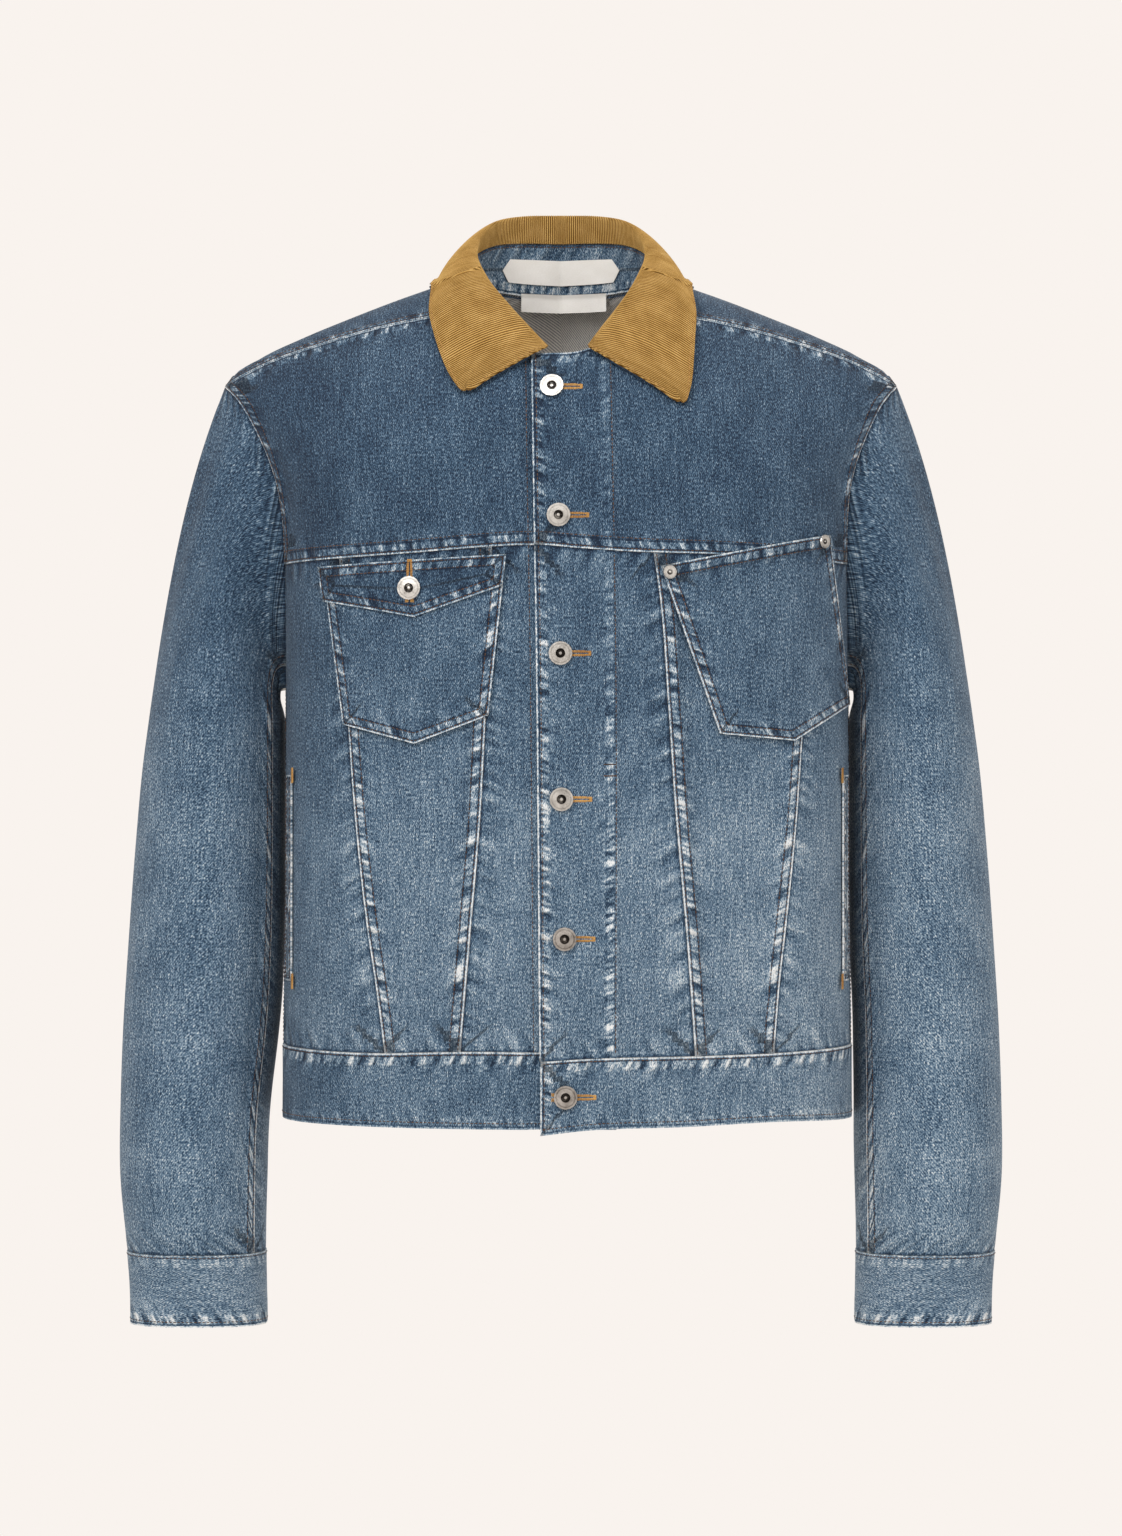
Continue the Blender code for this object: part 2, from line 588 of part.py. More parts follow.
def seam_between(first, last, columns, table):
    """A level seam's places between two ends, at the heights that a table gives."""
    places = np.linspace(first, last, columns + 1)
    x = torso(places[:, 0], places[:, 1])[:, 0]
    places[1:-1] = front_place(x, smooth(table, x))[1:-1]
    return places


def between_seams(side, near, far, columns):
    """A grid between two upright seams, from the waistband to the chest seam."""
    low = seam_between(near[0], far[0], columns, band_top(side))
    high = seam_between(near[-1], far[-1], columns, CHEST_SEAM)
    return patch(near, far, low, high)


def joined(grids):
    """Grids side by side as one, without the doubled lines."""
    return np.concatenate([grids[0]] + [grid[:, 1:] for grid in grids[1:]], 1)


def neck_height(side, x):
    """The height of a front's neck edge. The left one runs level past the middle, and the part
    of the right one that lies under it is a little lower."""
    rows = [(row[1], row[2]) for row in NECK[:4:-1]]
    height = smooth(rows, np.abs(x))
    if side > 0:
        return np.where(x > 0, height, NECK_FRONT_Z)
    return np.where(x < UNDER_FROM, height, UNDER_Z)


def front_yoke(side, name):
    """From the chest seam up to the neck and the shoulder seam."""
    armhole = armhole_place(side, FRONT_STEPS[ARM_ROWS_HIGH:0:-1])
    count = len(armhole) - 1
    grids, near = [], None
    for table, offset, columns in lap_lines(side):
        x_low = float(smooth(table, -0.1875)) + offset
        x_high = float(smooth(table, -0.05)) + offset
        z = np.linspace(float(smooth(CHEST_SEAM, x_low)), float(neck_height(side, x_high)), count + 1)
        line = front_place(smooth(table, z) + offset, z)
        if near is not None:
            low = seam_between(near[0], line[0], columns, CHEST_SEAM)
            x = np.linspace(last_x, x_high, columns + 1)
            high = front_place(x, neck_height(side, x))
            grids.append(patch(near, line, low, high))
        near, last_x = line, x_high
    neck_end = float(smooth(NECK, NECK_SEAM_ANGLE))
    x = np.linspace(abs(last_x), neck_end, 5)
    neck = front_place(side * x, neck_height(side, side * x))
    neck[0] = near[-1]
    x = np.linspace(neck_end, abs(float(torso(*armhole[-1])[0])), YOKE_ROWS + 1)
    shoulder = front_place(side * x, smooth(SHOULDER_SEAM, x))
    shoulder[0], shoulder[-1] = neck[-1], armhole[-1]
    high = np.concatenate([neck, shoulder[1:]])
    low = seam_between(near[0], armhole[0], len(high) - 1, CHEST_SEAM)
    grids.append(patch(near, armhole, low, high))
    places = ordered(joined(grids), side)
    sides = {"right": FELL} if side > 0 else {"left": FELL}
    places, rise = strips(places, bottom=BOTTOM_HEM, **sides)
    if side < 0:
        rise = rise * (1 - under_lap(torso(places[..., 0], places[..., 1])))
    panel(name, places, rise=rise, gaps=side_gaps(side, 0.0, HALF_GAP),
          shape=lap_left if side > 0 else lap_right)


def front_centre(side, name):
    """From the front edge to the inner V seam."""
    lines = [upright(side, table, offset) for table, offset, _ in lap_lines(side)]
    counts = [columns for _, _, columns in lap_lines(side)][1:] + [2]
    lines.append(upright(side, v_seams(side)[0], -side * FELL / 2))
    grids = [between_seams(side, near, far, columns)
             for near, far, columns in zip(lines, lines[1:], counts)]
    panel(name, ordered(joined(grids), side), gaps=side_gaps(side, 0.0, HALF_GAP),
          shape=lap_left if side > 0 else lap_right)


def front_mid(side, name):
    """Between the V seams, with both its edges felled over its neighbours."""
    inner, outer = v_seams(side)
    near = upright(side, inner, -side * FELL / 2)
    far = upright(side, outer, side * FELL / 2)
    places, rise = strips(ordered(between_seams(side, near, far, 4), side), left=FELL, right=FELL)
    panel(name, places, rise=rise, gaps=(HALF_GAP,) * 4)


def front_side(side, name):
    """From the outer V seam to the side seam, with the armhole's lower part at its top."""
    near = upright(side, v_seams(side)[1], side * FELL / 2)
    low_z = float(smooth(band_top(side), side * 0.211))
    z = np.linspace(low_z, ARMPIT_Z, FRONT_ROWS + 1)
    far = np.stack([np.full(len(z), side * SIDE_GIRTH), z], -1)
    armhole = armhole_place(side, FRONT_STEPS[ARM_ROWS_HIGH:])
    high = np.concatenate([seam_between(near[-1], armhole[0], 3, CHEST_SEAM), armhole[1:]])
    low = seam_between(near[0], far[0], len(high) - 1, band_top(side))
    places = ordered(patch(near, far, low, high), side)
    sides = {"right": FELL} if side > 0 else {"left": FELL}
    places, rise = strips(places, **sides)
    panel(name, places, rise=rise, gaps=(HALF_GAP,) * 4)


def fronts():
    for side, word in ((-1, "right"), (1, "left")):
        front_yoke(side, "front_yoke_" + word)
        front_centre(side, "front_centre_" + word)
        front_mid(side, "front_mid_" + word)
        front_side(side, "front_side_" + word)


# ---------------------------------------------------------------- back
BACK_COLUMNS = 5                        # of the back seam, each side of the middle
STRIP_DEPTH, STRIP_SHARE = 0.0035, 0.55  # the shoulder seam's strip, and its most of the way up
STEP_SHARE, BEFORE_RIDGE = 0.08, 0.75   # shares of the way from that seam up to the ridge


def below_ridge(places):
    """Places as (across, depth below the shoulder ridge)."""
    points = torso(places[..., 0], places[..., 1])
    return np.stack([points[..., 0], smooth(RIDGE, np.abs(points[..., 0])) - points[..., 2]], -1)


def yoke_spokes(side):
    """Half of the back yoke: lines from the neck out, from the shoulder seam in front round to
    the middle of the back. Gives the lines as (across, depth below the ridge), and which of
    them lie in front (1), on the ridge (0) or behind (-1)."""
    share = np.linspace(0, 1, YOKE_ROWS + 1)
    front = armhole_place(side, FRONT_STEPS[1])
    near = below_ridge(neck_place(side, NECK_SEAM_ANGLE))
    far = below_ridge(front)
    seam = blend(near[None], far[None], share)
    seam[1:-1, 1] = (smooth(RIDGE, np.abs(seam[:, 0])) - smooth(SHOULDER_SEAM, np.abs(seam[:, 0])))[1:-1]
    tip_x = float(RIDGE[-2][0])
    crest = blend(np.array([[side * float(smooth(NECK, NECK_SIDE_ANGLE)), 0.0]]),
                  np.array([[side * tip_x, 0.0]]), share)
    strip = np.minimum(STRIP_SHARE, STRIP_DEPTH / np.maximum(np.abs(seam[:, 1]), 1e-5))
    lines, sides = [], [1, 1, 1, 1, 0]
    for part in (0 * share, strip, strip + STEP_SHARE, 0 * share + BEFORE_RIDGE, 0 * share + 1):
        line = blend(seam, crest, part)
        angle = NECK_SEAM_ANGLE + (NECK_SIDE_ANGLE - NECK_SEAM_ANGLE) * part[0]
        neck = below_ridge(neck_place(side, max(angle, NECK_SIDE_ANGLE + 0.01)))
        neck[1] = 0.0 if part[0] == 1 else neck[1]
        line += (neck - line[0]) * ((1 - share) ** 2)[:, None]
        lines.append(line)
    arm = armhole_place(side, BACK_STEPS[1:ARM_ROWS_HIGH + 1], True)
    corner_x = abs(float(torso(*arm[-1])[0]))
    seam_x = side * np.linspace(corner_x, 0.0, BACK_COLUMNS + 1)[1:]
    level = np.full(BACK_COLUMNS, BACK_YOKE_Z)
    rim = np.concatenate([arm, np.stack([girth_at(seam_x, level, True), level], -1)])
    angles = np.linspace(NECK_SIDE_ANGLE, 0.0, len(rim) + 1)[1:]
    for angle, end in zip(angles, rim):
        near, far = below_ridge(neck_place(side, angle)), below_ridge(end)
        lines.append(blend(near[None], far[None], share))
        sides.append(-1)
    return np.array(lines), np.array(sides)


def spoke_points(lines, sides):
    """The spokes' points, and their directions. On the ridge, the direction is the mean of
    those on either side."""
    x, z = lines[..., 0], smooth(RIDGE, np.abs(lines[..., 0])) - lines[..., 1]
    behind = (sides < 0)[:, None] & np.ones_like(x, bool)
    girth = np.where(behind, girth_at(x, z, True), girth_at(x, z))
    points, out = torso(girth, z), torso_normals(girth, z)
    for row in np.nonzero(sides == 0)[0]:
        points[row, :, 0], points[row, :, 1] = x[row], 0.0
        out[row] = unit(out[row - 1] + out[row + 1])
    return points, out


def yoke_strip(points, out):
    """The felled strip round the yoke's outer rim: two more lines of points on each spoke."""
    steps = np.linalg.norm(np.diff(points, axis=1), axis=2)
    length = np.concatenate([np.zeros((len(points), 1)), np.cumsum(steps, axis=1)], 1)
    rows, ways, rises = [], [], []
    for line, way, at in zip(points, out, length):
        wanted = np.concatenate([at[:-1], [at[-1] - FELL - STEP, at[-1] - FELL, at[-1]]])
        rows.append(np.stack([np.interp(wanted, at, column) for column in line.T], -1))
        ways.append(unit(np.stack([np.interp(wanted, at, column) for column in way.T], -1)))
        rises.append(np.concatenate([np.zeros(len(at)), [1, 1]]))
    return np.array(rows), np.array(ways), np.array(rises)


def back_yoke():
    """One piece over both shoulders, from the shoulder seams in front to the back seam."""
    halves = []
    for side in (-1, 1):
        lines, sides = yoke_spokes(side)
        points, out, rise = yoke_strip(*spoke_points(lines, sides))
        rise[:2] = 1
        halves.append((points, out, rise))
    right, left = halves
    points, out, rise = (np.concatenate([first, last[::-1][1:]]) for first, last in zip(right, left))
    cloth("back_yoke", points, out, rise * FELL_RISE, -CLOTH, (HALF_GAP, HALF_GAP, HALF_GAP, HALF_GAP))


def back_panel():
    """One piece from side seam to side seam, below the back yoke."""
    halves = []
    for side in (1, -1):
        arm = armhole_place(side, BACK_STEPS[ARM_ROWS_HIGH:], True)
        corner_x = abs(float(torso(*arm[0])[0]))
        x = side * np.linspace(corner_x, 0.0, BACK_COLUMNS + 1)[1:]
        level = np.full(BACK_COLUMNS, BACK_YOKE_Z)
        seam = np.stack([girth_at(x, level, True), level], -1)
        half = np.concatenate([arm[::-1], seam])
        half[:, 0] = np.mod(half[:, 0], 2 * HALF_GIRTH)
        halves.append(half)
    high = np.concatenate([halves[0], halves[1][::-1][1:]])
    ends = SIDE_GIRTH, 2 * HALF_GIRTH - SIDE_GIRTH
    z = np.linspace(BAND_TOP_BACK, ARMPIT_Z, FRONT_ROWS + 1)
    left, right = (np.stack([np.full(len(z), end), z], -1) for end in ends)
    low = np.linspace(left[0], right[0], len(high))
    panel("back_panel", patch(left, right, low, high), gaps=(HALF_GAP,) * 4)


# ---------------------------------------------------------------- waistband
BAND_RISE, BAND_SINK = 0.0010, 0.0032
BAND_TOP_BACK, HEM_BACK = -0.5405, -0.5935
BAND_HIDDEN_X = 0.039                   # where the right band ends, under the left one


def band_lap_right(points):
    sunk = -BAND_SINK * under_lap(points)
    return sunk, sunk


def band_piece(name, lines, counts, tables, shape=None):
    """A length of waistband, through level places along the girth."""
    girths = np.concatenate([[lines[0]]] + [np.linspace(first, last, count + 1)[1:]
                             for first, last, count in zip(lines, lines[1:], counts)])
    top, hem = tables
    grid = []
    for share in np.linspace(0, 1, 3):
        z = np.full(len(girths), -0.57)
        for _ in range(3):
            x = torso(girths, z)[..., 0]
            z = smooth(hem, x) + (smooth(top, x) - smooth(hem, x)) * share
        grid.append(np.stack([girths, z], -1))
    gaps = (HALF_GAP, HALF_GAP, 0.0, HALF_GAP)
    panel(name, np.array(grid), lift=BAND_RISE, wall=DOUBLED, gaps=gaps, shape=shape)


def waistband():
    level = np.float64(-0.570)
    edge_x = float(smooth(FRONT_EDGE, level))
    hidden, edge = float(girth_at(BAND_HIDDEN_X, level)), float(girth_at(edge_x, level))
    sink_to, sink_from = (float(girth_at(edge_x + way, level)) for way in (SINK_TO, SINK_FROM))
    band_piece("waistband_right", (-SIDE_GIRTH, sink_from, sink_to, hidden), (12, 2, 2),
               (BAND_TOP_RIGHT, HEM_RIGHT), band_lap_right)
    band_piece("waistband_left", (edge, SIDE_GIRTH), (14,), (BAND_TOP_LEFT, HEM_LEFT))
    back = tuple(((-0.25, z), (0.25, z)) for z in (BAND_TOP_BACK, HEM_BACK))
    band_piece("waistband_back", (SIDE_GIRTH, 2 * HALF_GIRTH - SIDE_GIRTH), (22,), back)


# ---------------------------------------------------------------- sleeves
def sleeve_ring(side, turn, z):
    """A level section of the sleeve. turn is 0 on the outside, 0.5 in front, 1 by the body."""
    angle = math.pi * np.asarray(turn, float)
    shift = smooth(TORSO, z, 4) * ease(z, -0.62, -0.50)
    outer = side * smooth(SLEEVE, z, 1)
    inner = side * smooth(SLEEVE, z, 2) + shift
    middle, half = (outer + inner) / 2, (outer - inner) / 2
    x = middle + half * signed_power(np.cos(angle), 2 / SLEEVE_POWER)
    y = smooth(SLEEVE, z, 3) - smooth(SLEEVE, z, 4) * signed_power(np.sin(angle), 2 / SLEEVE_POWER)
    return np.stack(np.broadcast_arrays(x, y, z), -1)


def armhole_points(side, turn):
    """The armhole's edge, its direction out of the body, and the way across its seam."""
    turn = np.mod(np.asarray(turn, float), 2.0)
    place = np.where(turn <= 1, turn, 2 - turn)
    behind = (turn > 1)[..., None]
    places = np.where(behind, armhole_place(side, place, True), armhole_place(side, place))
    points, out = torso(places[..., 0], places[..., 1]), torso_normals(places[..., 0], places[..., 1])
    points[..., 1] = np.where(place <= 1e-6, 0.0, points[..., 1])
    crown = np.array([side * 0.45, 0.0, 0.89])
    out = unit(blend(crown, out, ease(place, 0.0, 0.12)))
    return points, out, place


def armhole_rim(side, turn):
    points, out, place = armhole_points(side, turn)
    step = 0.004
    along = armhole_points(side, turn + step)[0] - armhole_points(side, turn - step)[0]
    across = unit(np.cross(out, along)) * side
    return points + across * SLEEVE_GAP, out, across, place


def sleeve(side, turn, row):
    """The sleeve's outer surface. row is 0 at the armhole, 1 at the first level ring, and past
    it the metres below that ring."""
    turn, row = np.broadcast_arrays(np.asarray(turn, float), np.asarray(row, float))
    start, out, across, place = armhole_rim(side, turn)
    down = np.broadcast_to(np.array([0.0, 0.0, -1.0]), start.shape)
    way = unit(across * smooth(HEAD, place, 1)[..., None] + out * smooth(HEAD, place, 2)[..., None]
               + down * smooth(HEAD, place, 3)[..., None])
    top = np.full(turn.shape, SLEEVE_TOP_Z)
    end = sleeve_ring(side, turn, top)
    run = np.linalg.norm(end - start, axis=-1, keepdims=True)
    onward = unit(sleeve_ring(side, turn, top - 0.01) - end) * run
    way = way * run
    part = np.clip(row, 0, 1)[..., None]
    back = 1 - part
    head = (start * back * back * (1 + 2 * part) + end * part * part * (1 + 2 * back)
            + part * back * (way * back - onward * part))
    arm = sleeve_ring(side, turn, SLEEVE_TOP_Z - np.maximum(row - 1, 0))
    return np.where((row <= 1)[..., None], head, arm)


def sleeve_normals(side, turn, row):
    step = 0.004
    low = np.where(row < 1, np.maximum(row - step, 0.0), row - step)
    high = row + step
    along = sleeve(side, turn + step, row) - sleeve(side, turn - step, row)
    down = sleeve(side, turn, high) - sleeve(side, turn, low)
    return unit(np.cross(along, down)) * side


def sleeve_folds(turn, z):
    return fold_height(SLEEVE_FOLDS, turn, z)


def sleeve_wall(side, turns, rows):
    """A grid of the sleeve's points with its outward and inward directions. At the armhole the
    wall's end turns to lie along the body's own wall."""
    turn, row = np.meshgrid(turns, rows)
    points, out = sleeve(side, turn, row), sleeve_normals(side, turn, row)
    raise_by = sleeve_folds(turn, points[..., 2]) * ease(row, 0.3, 1.0)
    fade = 1 - ease(-points[..., 2], -CUFF_TOP_Z - 0.05, -CUFF_TOP_Z)
    points = points + out * (raise_by * fade)[..., None]
    inward = -out
    if rows[0] == 0:
        _, body_out, across, _ = armhole_rim(side, turns)
        away = np.clip(np.sum(unit(points[1] - points[0]) * body_out, -1), 0, 1)
        inward[0] = unit(blend(-body_out, across, away))
        out[0] = -inward[0]
    return points, out, inward


def sleeve_rows():
    arm = np.linspace(0, SLEEVE_TOP_Z - CUFF_TOP_Z, ARM_ROWS + 1)[1:]
    return np.concatenate([np.linspace(0, 1, HEAD_ROWS + 1), 1 + arm])


def arm_turns():
    """The turns of the armhole's points, all round."""
    return np.concatenate([FRONT_STEPS, 2 - BACK_STEPS[-2::-1]])


def sleeve_piece(name, side, turns, strip):
    rows = sleeve_rows()
    turns = turns.copy()
    turns[0] += SEAM_TURN
    turns[-1] -= SEAM_TURN
    rise = np.zeros(len(turns))
    if strip:
        for far in (False, True):
            turns, rise = (turns[::-1], rise[::-1]) if far else (turns, rise)
            step = np.sign(turns[1] - turns[0])
            keep = turns[np.abs(turns - turns[0]) > STRIP_CLEAR]
            edge = turns[0] + step * np.array([0.0, STRIP_TURN, STRIP_TURN + STRIP_STEP])
            turns = np.concatenate([edge, keep])
            rise = np.concatenate([[1, 1, 0], rise[-len(keep):]])
            turns, rise = (turns[::-1], rise[::-1]) if far else (turns, rise)
    points, out, inward = sleeve_wall(side, turns, rows)
    if strip:
        for edge, kept in ((0, 3), (-1, -4)):
            for column in (edge + np.sign(kept) * np.array([1, 2])):
                share = (turns[column] - turns[edge]) / (turns[kept] - turns[edge])
                points[0, column] = blend(points[0, edge], points[0, kept], share)
    lift = rise * FELL_RISE * ease(rows, 0.0, 0.6)[:, None]
    outer = points + out * lift[..., None]
    inner = points + inward * CLOTH
    for wall in (outer, inner):
        wall[-1] += unit(wall[-2] - wall[-1]) * GAP
    add_node(name, wall_mesh(name, outer, inner))


def sleeves():
    turns = arm_turns()
    front = float(FRONT_STEPS[FRONT_SEAM_STEP])
    back = float(2 - BACK_STEPS[BACK_SEAM_STEP])
    under = turns[(turns >= front - 1e-9) & (turns <= back + 1e-9)]
    top = np.concatenate([turns[turns >= back - 1e-9], turns[(turns <= front + 1e-9) & (turns > 0)] + 2])
    for side, word in ((-1, "right"), (1, "left")):
        sleeve_piece("sleeve_under_" + word, side, under, False)
        sleeve_piece("sleeve_top_" + word, side, top, True)


CUFF_TURN = float(2 - BACK_STEPS[BACK_SEAM_STEP])


def cuff_surface(side, turn, z):
    """The sleeve's level section carried on to the cuff's end, and its outward direction."""
    step = 0.004
    along = sleeve_ring(side, turn + step, z) - sleeve_ring(side, turn - step, z)
    down = sleeve_ring(side, turn, z - step) - sleeve_ring(side, turn, z + step)
    return sleeve_ring(side, turn, z), unit(np.cross(along, down)) * side


def cuffs():
    """A band round the wrist whose outer end laps over the inner one at the back of the arm."""
    stops = (CUFF_START, CUFF_LAP, 1.9, CUFF_FINISH)
    turns = np.concatenate([np.linspace(first, last, count)[:-1]
                            for first, last, count in zip(stops, stops[1:], (4, 20, 3))] + [[CUFF_FINISH]])
    sunk = 1 - ease(turns, CUFF_LAP - 0.023, CUFF_LAP + 0.06)
    lift = CUFF_RISE - CUFF_SINK * sunk
    for side, word in ((-1, "right"), (1, "left")):
        turn, z = np.meshgrid(CUFF_TURN + turns, np.linspace(CUFF_TOP_Z, CUFF_END_Z, 3))
        points, out = cuff_surface(side, turn, z)
        cloth("cuff_" + word, points, out, lift, lift - CUFF_WALL, (0, 0, HALF_GAP, 0))


# ---------------------------------------------------------------- collar
COLLAR_STOPS = 19                       # points of the collar from its middle to an end
LEAF_CLEAR, UNDER_GAP, STAND_GAP = 0.0052, 0.00060, 0.0010
STAND_ROWS = (-1.0, -0.5, 0.0)          # shares of the height up to the seam with the leaf
LEAF_ROWS = (0.0, 0.6, 1.0, 1.07, 1.17, 1.32, 1.52, 1.76, 2.0)
UNDER_ROWS = (1.32, 1.52, 1.76, 2.0)
LEAF_SEAM, LEAF_SEAM_FRONT = -0.50, -0.66  # where that seam lies, at the back and the front ends
UNDER_SHORT = 0.10                      # share of its outer steps by which the under collar is less
BASE_IN, BASE_FRONT_IN = 0.0010, 0.0027  # the stand's foot, in from the neck seam
BASE_UP, BASE_FRONT_UP = 0.0011, -0.0012  # and off the body's surface
FOLD_BACK, FOLD_FRONT = 0.0052, 0.0036  # how roundly the collar turns over its roll line
PUFF_BACK, PUFF_FRONT = 0.0115, 0.0055  # how far the leaf bows out below the roll line
PUFF_UP = 0.0030
STAND_BOW, LEAF_BOW, ROLL_OVER = 0.42, 0.45, 1.5  # shares that place the curves' middle points


def neck_foot(side, angle, lean):
    """The foot of the collar's stand, just inside the neck seam and just off the body."""
    def seam(at):
        return np.where(side[..., None] > 0, neck_place(1, at - lean), neck_place(-1, at + lean))

    place = seam(angle)
    point, out = torso(*np.moveaxis(place, -1, 0)), torso_normals(*np.moveaxis(place, -1, 0))
    step = 1.0
    along = torso(*np.moveaxis(seam(angle + step), -1, 0)) - torso(*np.moveaxis(seam(angle - step), -1, 0))
    inward = unit(np.cross(along, out)) * side[..., None]
    front = ease(angle, 95, 135)[..., None]
    shift = BASE_IN + (BASE_FRONT_IN - BASE_IN) * front
    lift = BASE_UP + (BASE_FRONT_UP - BASE_UP) * front
    return point + inward * shift + out * lift


def collar_rails(turn):
    """Where the collar is sewn on, its roll line and its outer edge. turn is -1 at the right
    front end, 0 at the back and 1 at the left front end."""
    side, angle = np.where(turn < 0, -1.0, 1.0), np.abs(turn) * COLLAR_END
    columns = [smooth(COLLAR, angle, column) for column in range(1, 8)]
    roll_x, roll_y, roll_z, edge_x, edge_y, edge_z, lean = columns
    neck = neck_foot(side, angle, 4.5 * lean)
    roll = np.stack([side * roll_x + ROLL_LEAN * lean, roll_y, roll_z], -1)
    drop = edge_z - side * TIP_DROP * lean
    edge = np.stack([side * edge_x + EDGE_LEAN * lean, edge_y, drop], -1)
    return neck, roll, edge


def off_the_body(points, clear):
    """Points pushed out until they stand clear of the body's surface."""
    x, y, z = np.moveaxis(points, -1, 0)
    z = np.minimum(z, smooth(RIDGE, np.abs(x)) - 0.0004)
    girth = np.where(y > 0, girth_at(x, z, True), girth_at(x, z))
    surface, out = torso(girth, z), torso_normals(girth, z)
    over = np.sum((points - surface) * out, -1)
    return points + out * np.maximum(clear - over, 0)[..., None]


def bezier(points, share):
    first, second, third, last = points
    share = np.asarray(share)[..., None]
    back = 1 - share
    return (first * back ** 3 + 3 * second * back * back * share + 3 * third * back * share * share
            + last * share ** 3)


def collar(turn, rise):
    """The collar's face. rise is -1 at the neck seam, 0 on the roll line, 1 at the outer edge."""
    turn, rise = np.broadcast_arrays(np.asarray(turn, float), np.asarray(rise, float))
    neck, roll, edge = collar_rails(turn)
    flat = (edge - roll) * np.array([1.0, 1.0, 0.0])
    along = unit(flat)
    end = ease(np.abs(turn), 0.55, 1.0)[..., None]
    ahead = collar_rails(turn + 0.02)[1] - collar_rails(turn - 0.02)[1]
    over = unit(np.cross(roll - neck, ahead)) * (FOLD_BACK + (FOLD_FRONT - FOLD_BACK) * end)
    stand = bezier((neck, blend(neck, roll, STAND_BOW + 0 * turn), roll - over, roll),
                   np.clip(rise + 1, 0, 1))
    puff = PUFF_BACK + (PUFF_FRONT - PUFF_BACK) * end
    bow = blend(edge, roll, LEAF_BOW + 0 * turn) + along * puff + np.array([0.0, 0.0, PUFF_UP])
    fall = bezier((roll, roll + over * ROLL_OVER, bow, edge), np.clip(rise, 0, 1))
    clear = off_the_body(fall, LEAF_CLEAR * ease(rise, 0.0, 0.12))
    fall = off_the_body(clear, LEAF_CLEAR * ease(rise, 0.0, 0.12))
    return np.where((rise <= 0)[..., None], stand, fall)


def collar_rise(turn, row):
    """Where a row of points lies. A row is -1 at the foot, 0 at the seam between the stand and
    the leaf, 1 on the roll line and 2 at the outer edge."""
    seam = LEAF_SEAM + (LEAF_SEAM_FRONT - LEAF_SEAM) * ease(np.abs(turn), 0.50, 1.0)
    return np.where(row < 0, -1 + (seam + 1) * (row + 1), np.where(row < 1, seam * (1 - row), row - 1))


def collar_grid(rows):
    """A grid of the collar's points and directions."""
    turn, row = np.meshgrid(np.linspace(-1, 1, 2 * COLLAR_STOPS + 1), rows)
    rise, step = collar_rise(turn, row), 0.006
    low, high = np.maximum(rise - step, -1), np.minimum(rise + step, 1)
    left, right = np.maximum(turn - step, -1), np.minimum(turn + step, 1)
    out = unit(np.cross(collar(right, rise) - collar(left, rise), collar(turn, high) - collar(turn, low)))
    return collar(turn, rise), out


def collars():
    points, out = collar_grid(STAND_ROWS)
    cloth("collar_stand", points, out, 0.0, -STAND_WALL, (0, 0, 0, STAND_GAP))
    points, out = collar_grid(LEAF_ROWS)
    cloth("collar_leaf", points, out, 0.0, -CORDUROY, material="corduroy")
    points, out = collar_grid(UNDER_ROWS)
    for edge, inner in ((np.s_[-1], np.s_[-2]), (np.s_[:, 0], np.s_[:, 1]), (np.s_[:, -1], np.s_[:, -2])):
        points[edge] += (points[inner] - points[edge]) * UNDER_SHORT
        out[edge] += (out[inner] - out[edge]) * UNDER_SHORT
    under = -CORDUROY - UNDER_GAP
    cloth("under_collar", points, out, under, under - UNDER_COLLAR)


# ---------------------------------------------------------------- pockets, flap and welts
def sewn_patch(name, corners, lift, columns, rows, hem=0.0):
    top, bottom = corners["top"], corners["bottom"]
    left = corner_line((bottom[0], top[0]), rows)
    right = corner_line((bottom[-1], top[-1]), rows)
    places = patch(left, right, corner_line(bottom, columns), corner_line(top, columns))
    places, rise = strips(places, top=hem)
    panel(name, places, lift=lift, rise=rise)


def welts():
    for side, word in ((-1, "right"), (1, "left")):
        z = np.linspace(WELT_BOTTOM, WELT_TOP, 6)
        near = girth_at(side * WELT_INNER + smooth(TORSO, z, 4), z)
        grid = np.stack([np.stack([near + side * WELT_WIDTH * part, z], -1) for part in (0, 0.5, 1)], 1)
        panel("side_welt_" + word, ordered(grid, side), lift=WELT_LIFT, wall=WELT_WALL)


def pockets():
    sewn_patch("chest_pocket", CHEST_POCKET, POCKET_LIFT, 6, 5)
    sewn_patch("chest_flap", CHEST_FLAP, FLAP_LIFT, 6, 2)
    sewn_patch("slant_pocket", SLANT_POCKET, POCKET_LIFT, 10, 5, FELL)
    welts()


# ---------------------------------------------------------------- buttons, rivets and labels
def turned_piece(name, profile, radius, sides, point, out):
    """A small turned metal piece that stands on a point, facing out."""
    mesh = bpy.data.meshes.new(name)
    points = [(across * radius, 0.0, up * radius) for across, up in profile]
    mesh.from_pydata(points, [(first, first + 1) for first in range(len(points) - 1)], [])
    piece = add_node(name, mesh, "metal")
    screw = piece.modifiers.new("turn", "SCREW")
    screw.steps = screw.render_steps = sides
    screw.use_merge_vertices = True
    screw.merge_threshold = 0.00001
    screw.use_smooth_shade = True
    piece.location = point
    piece.rotation_euler = Vector(out).to_track_quat("Z", "Y").to_euler()


def on_front(x, z, lift):
    place = front_place(np.float64(x), np.float64(z))
    point, out = torso(*place), torso_normals(*place)
    return point + out * lift, out


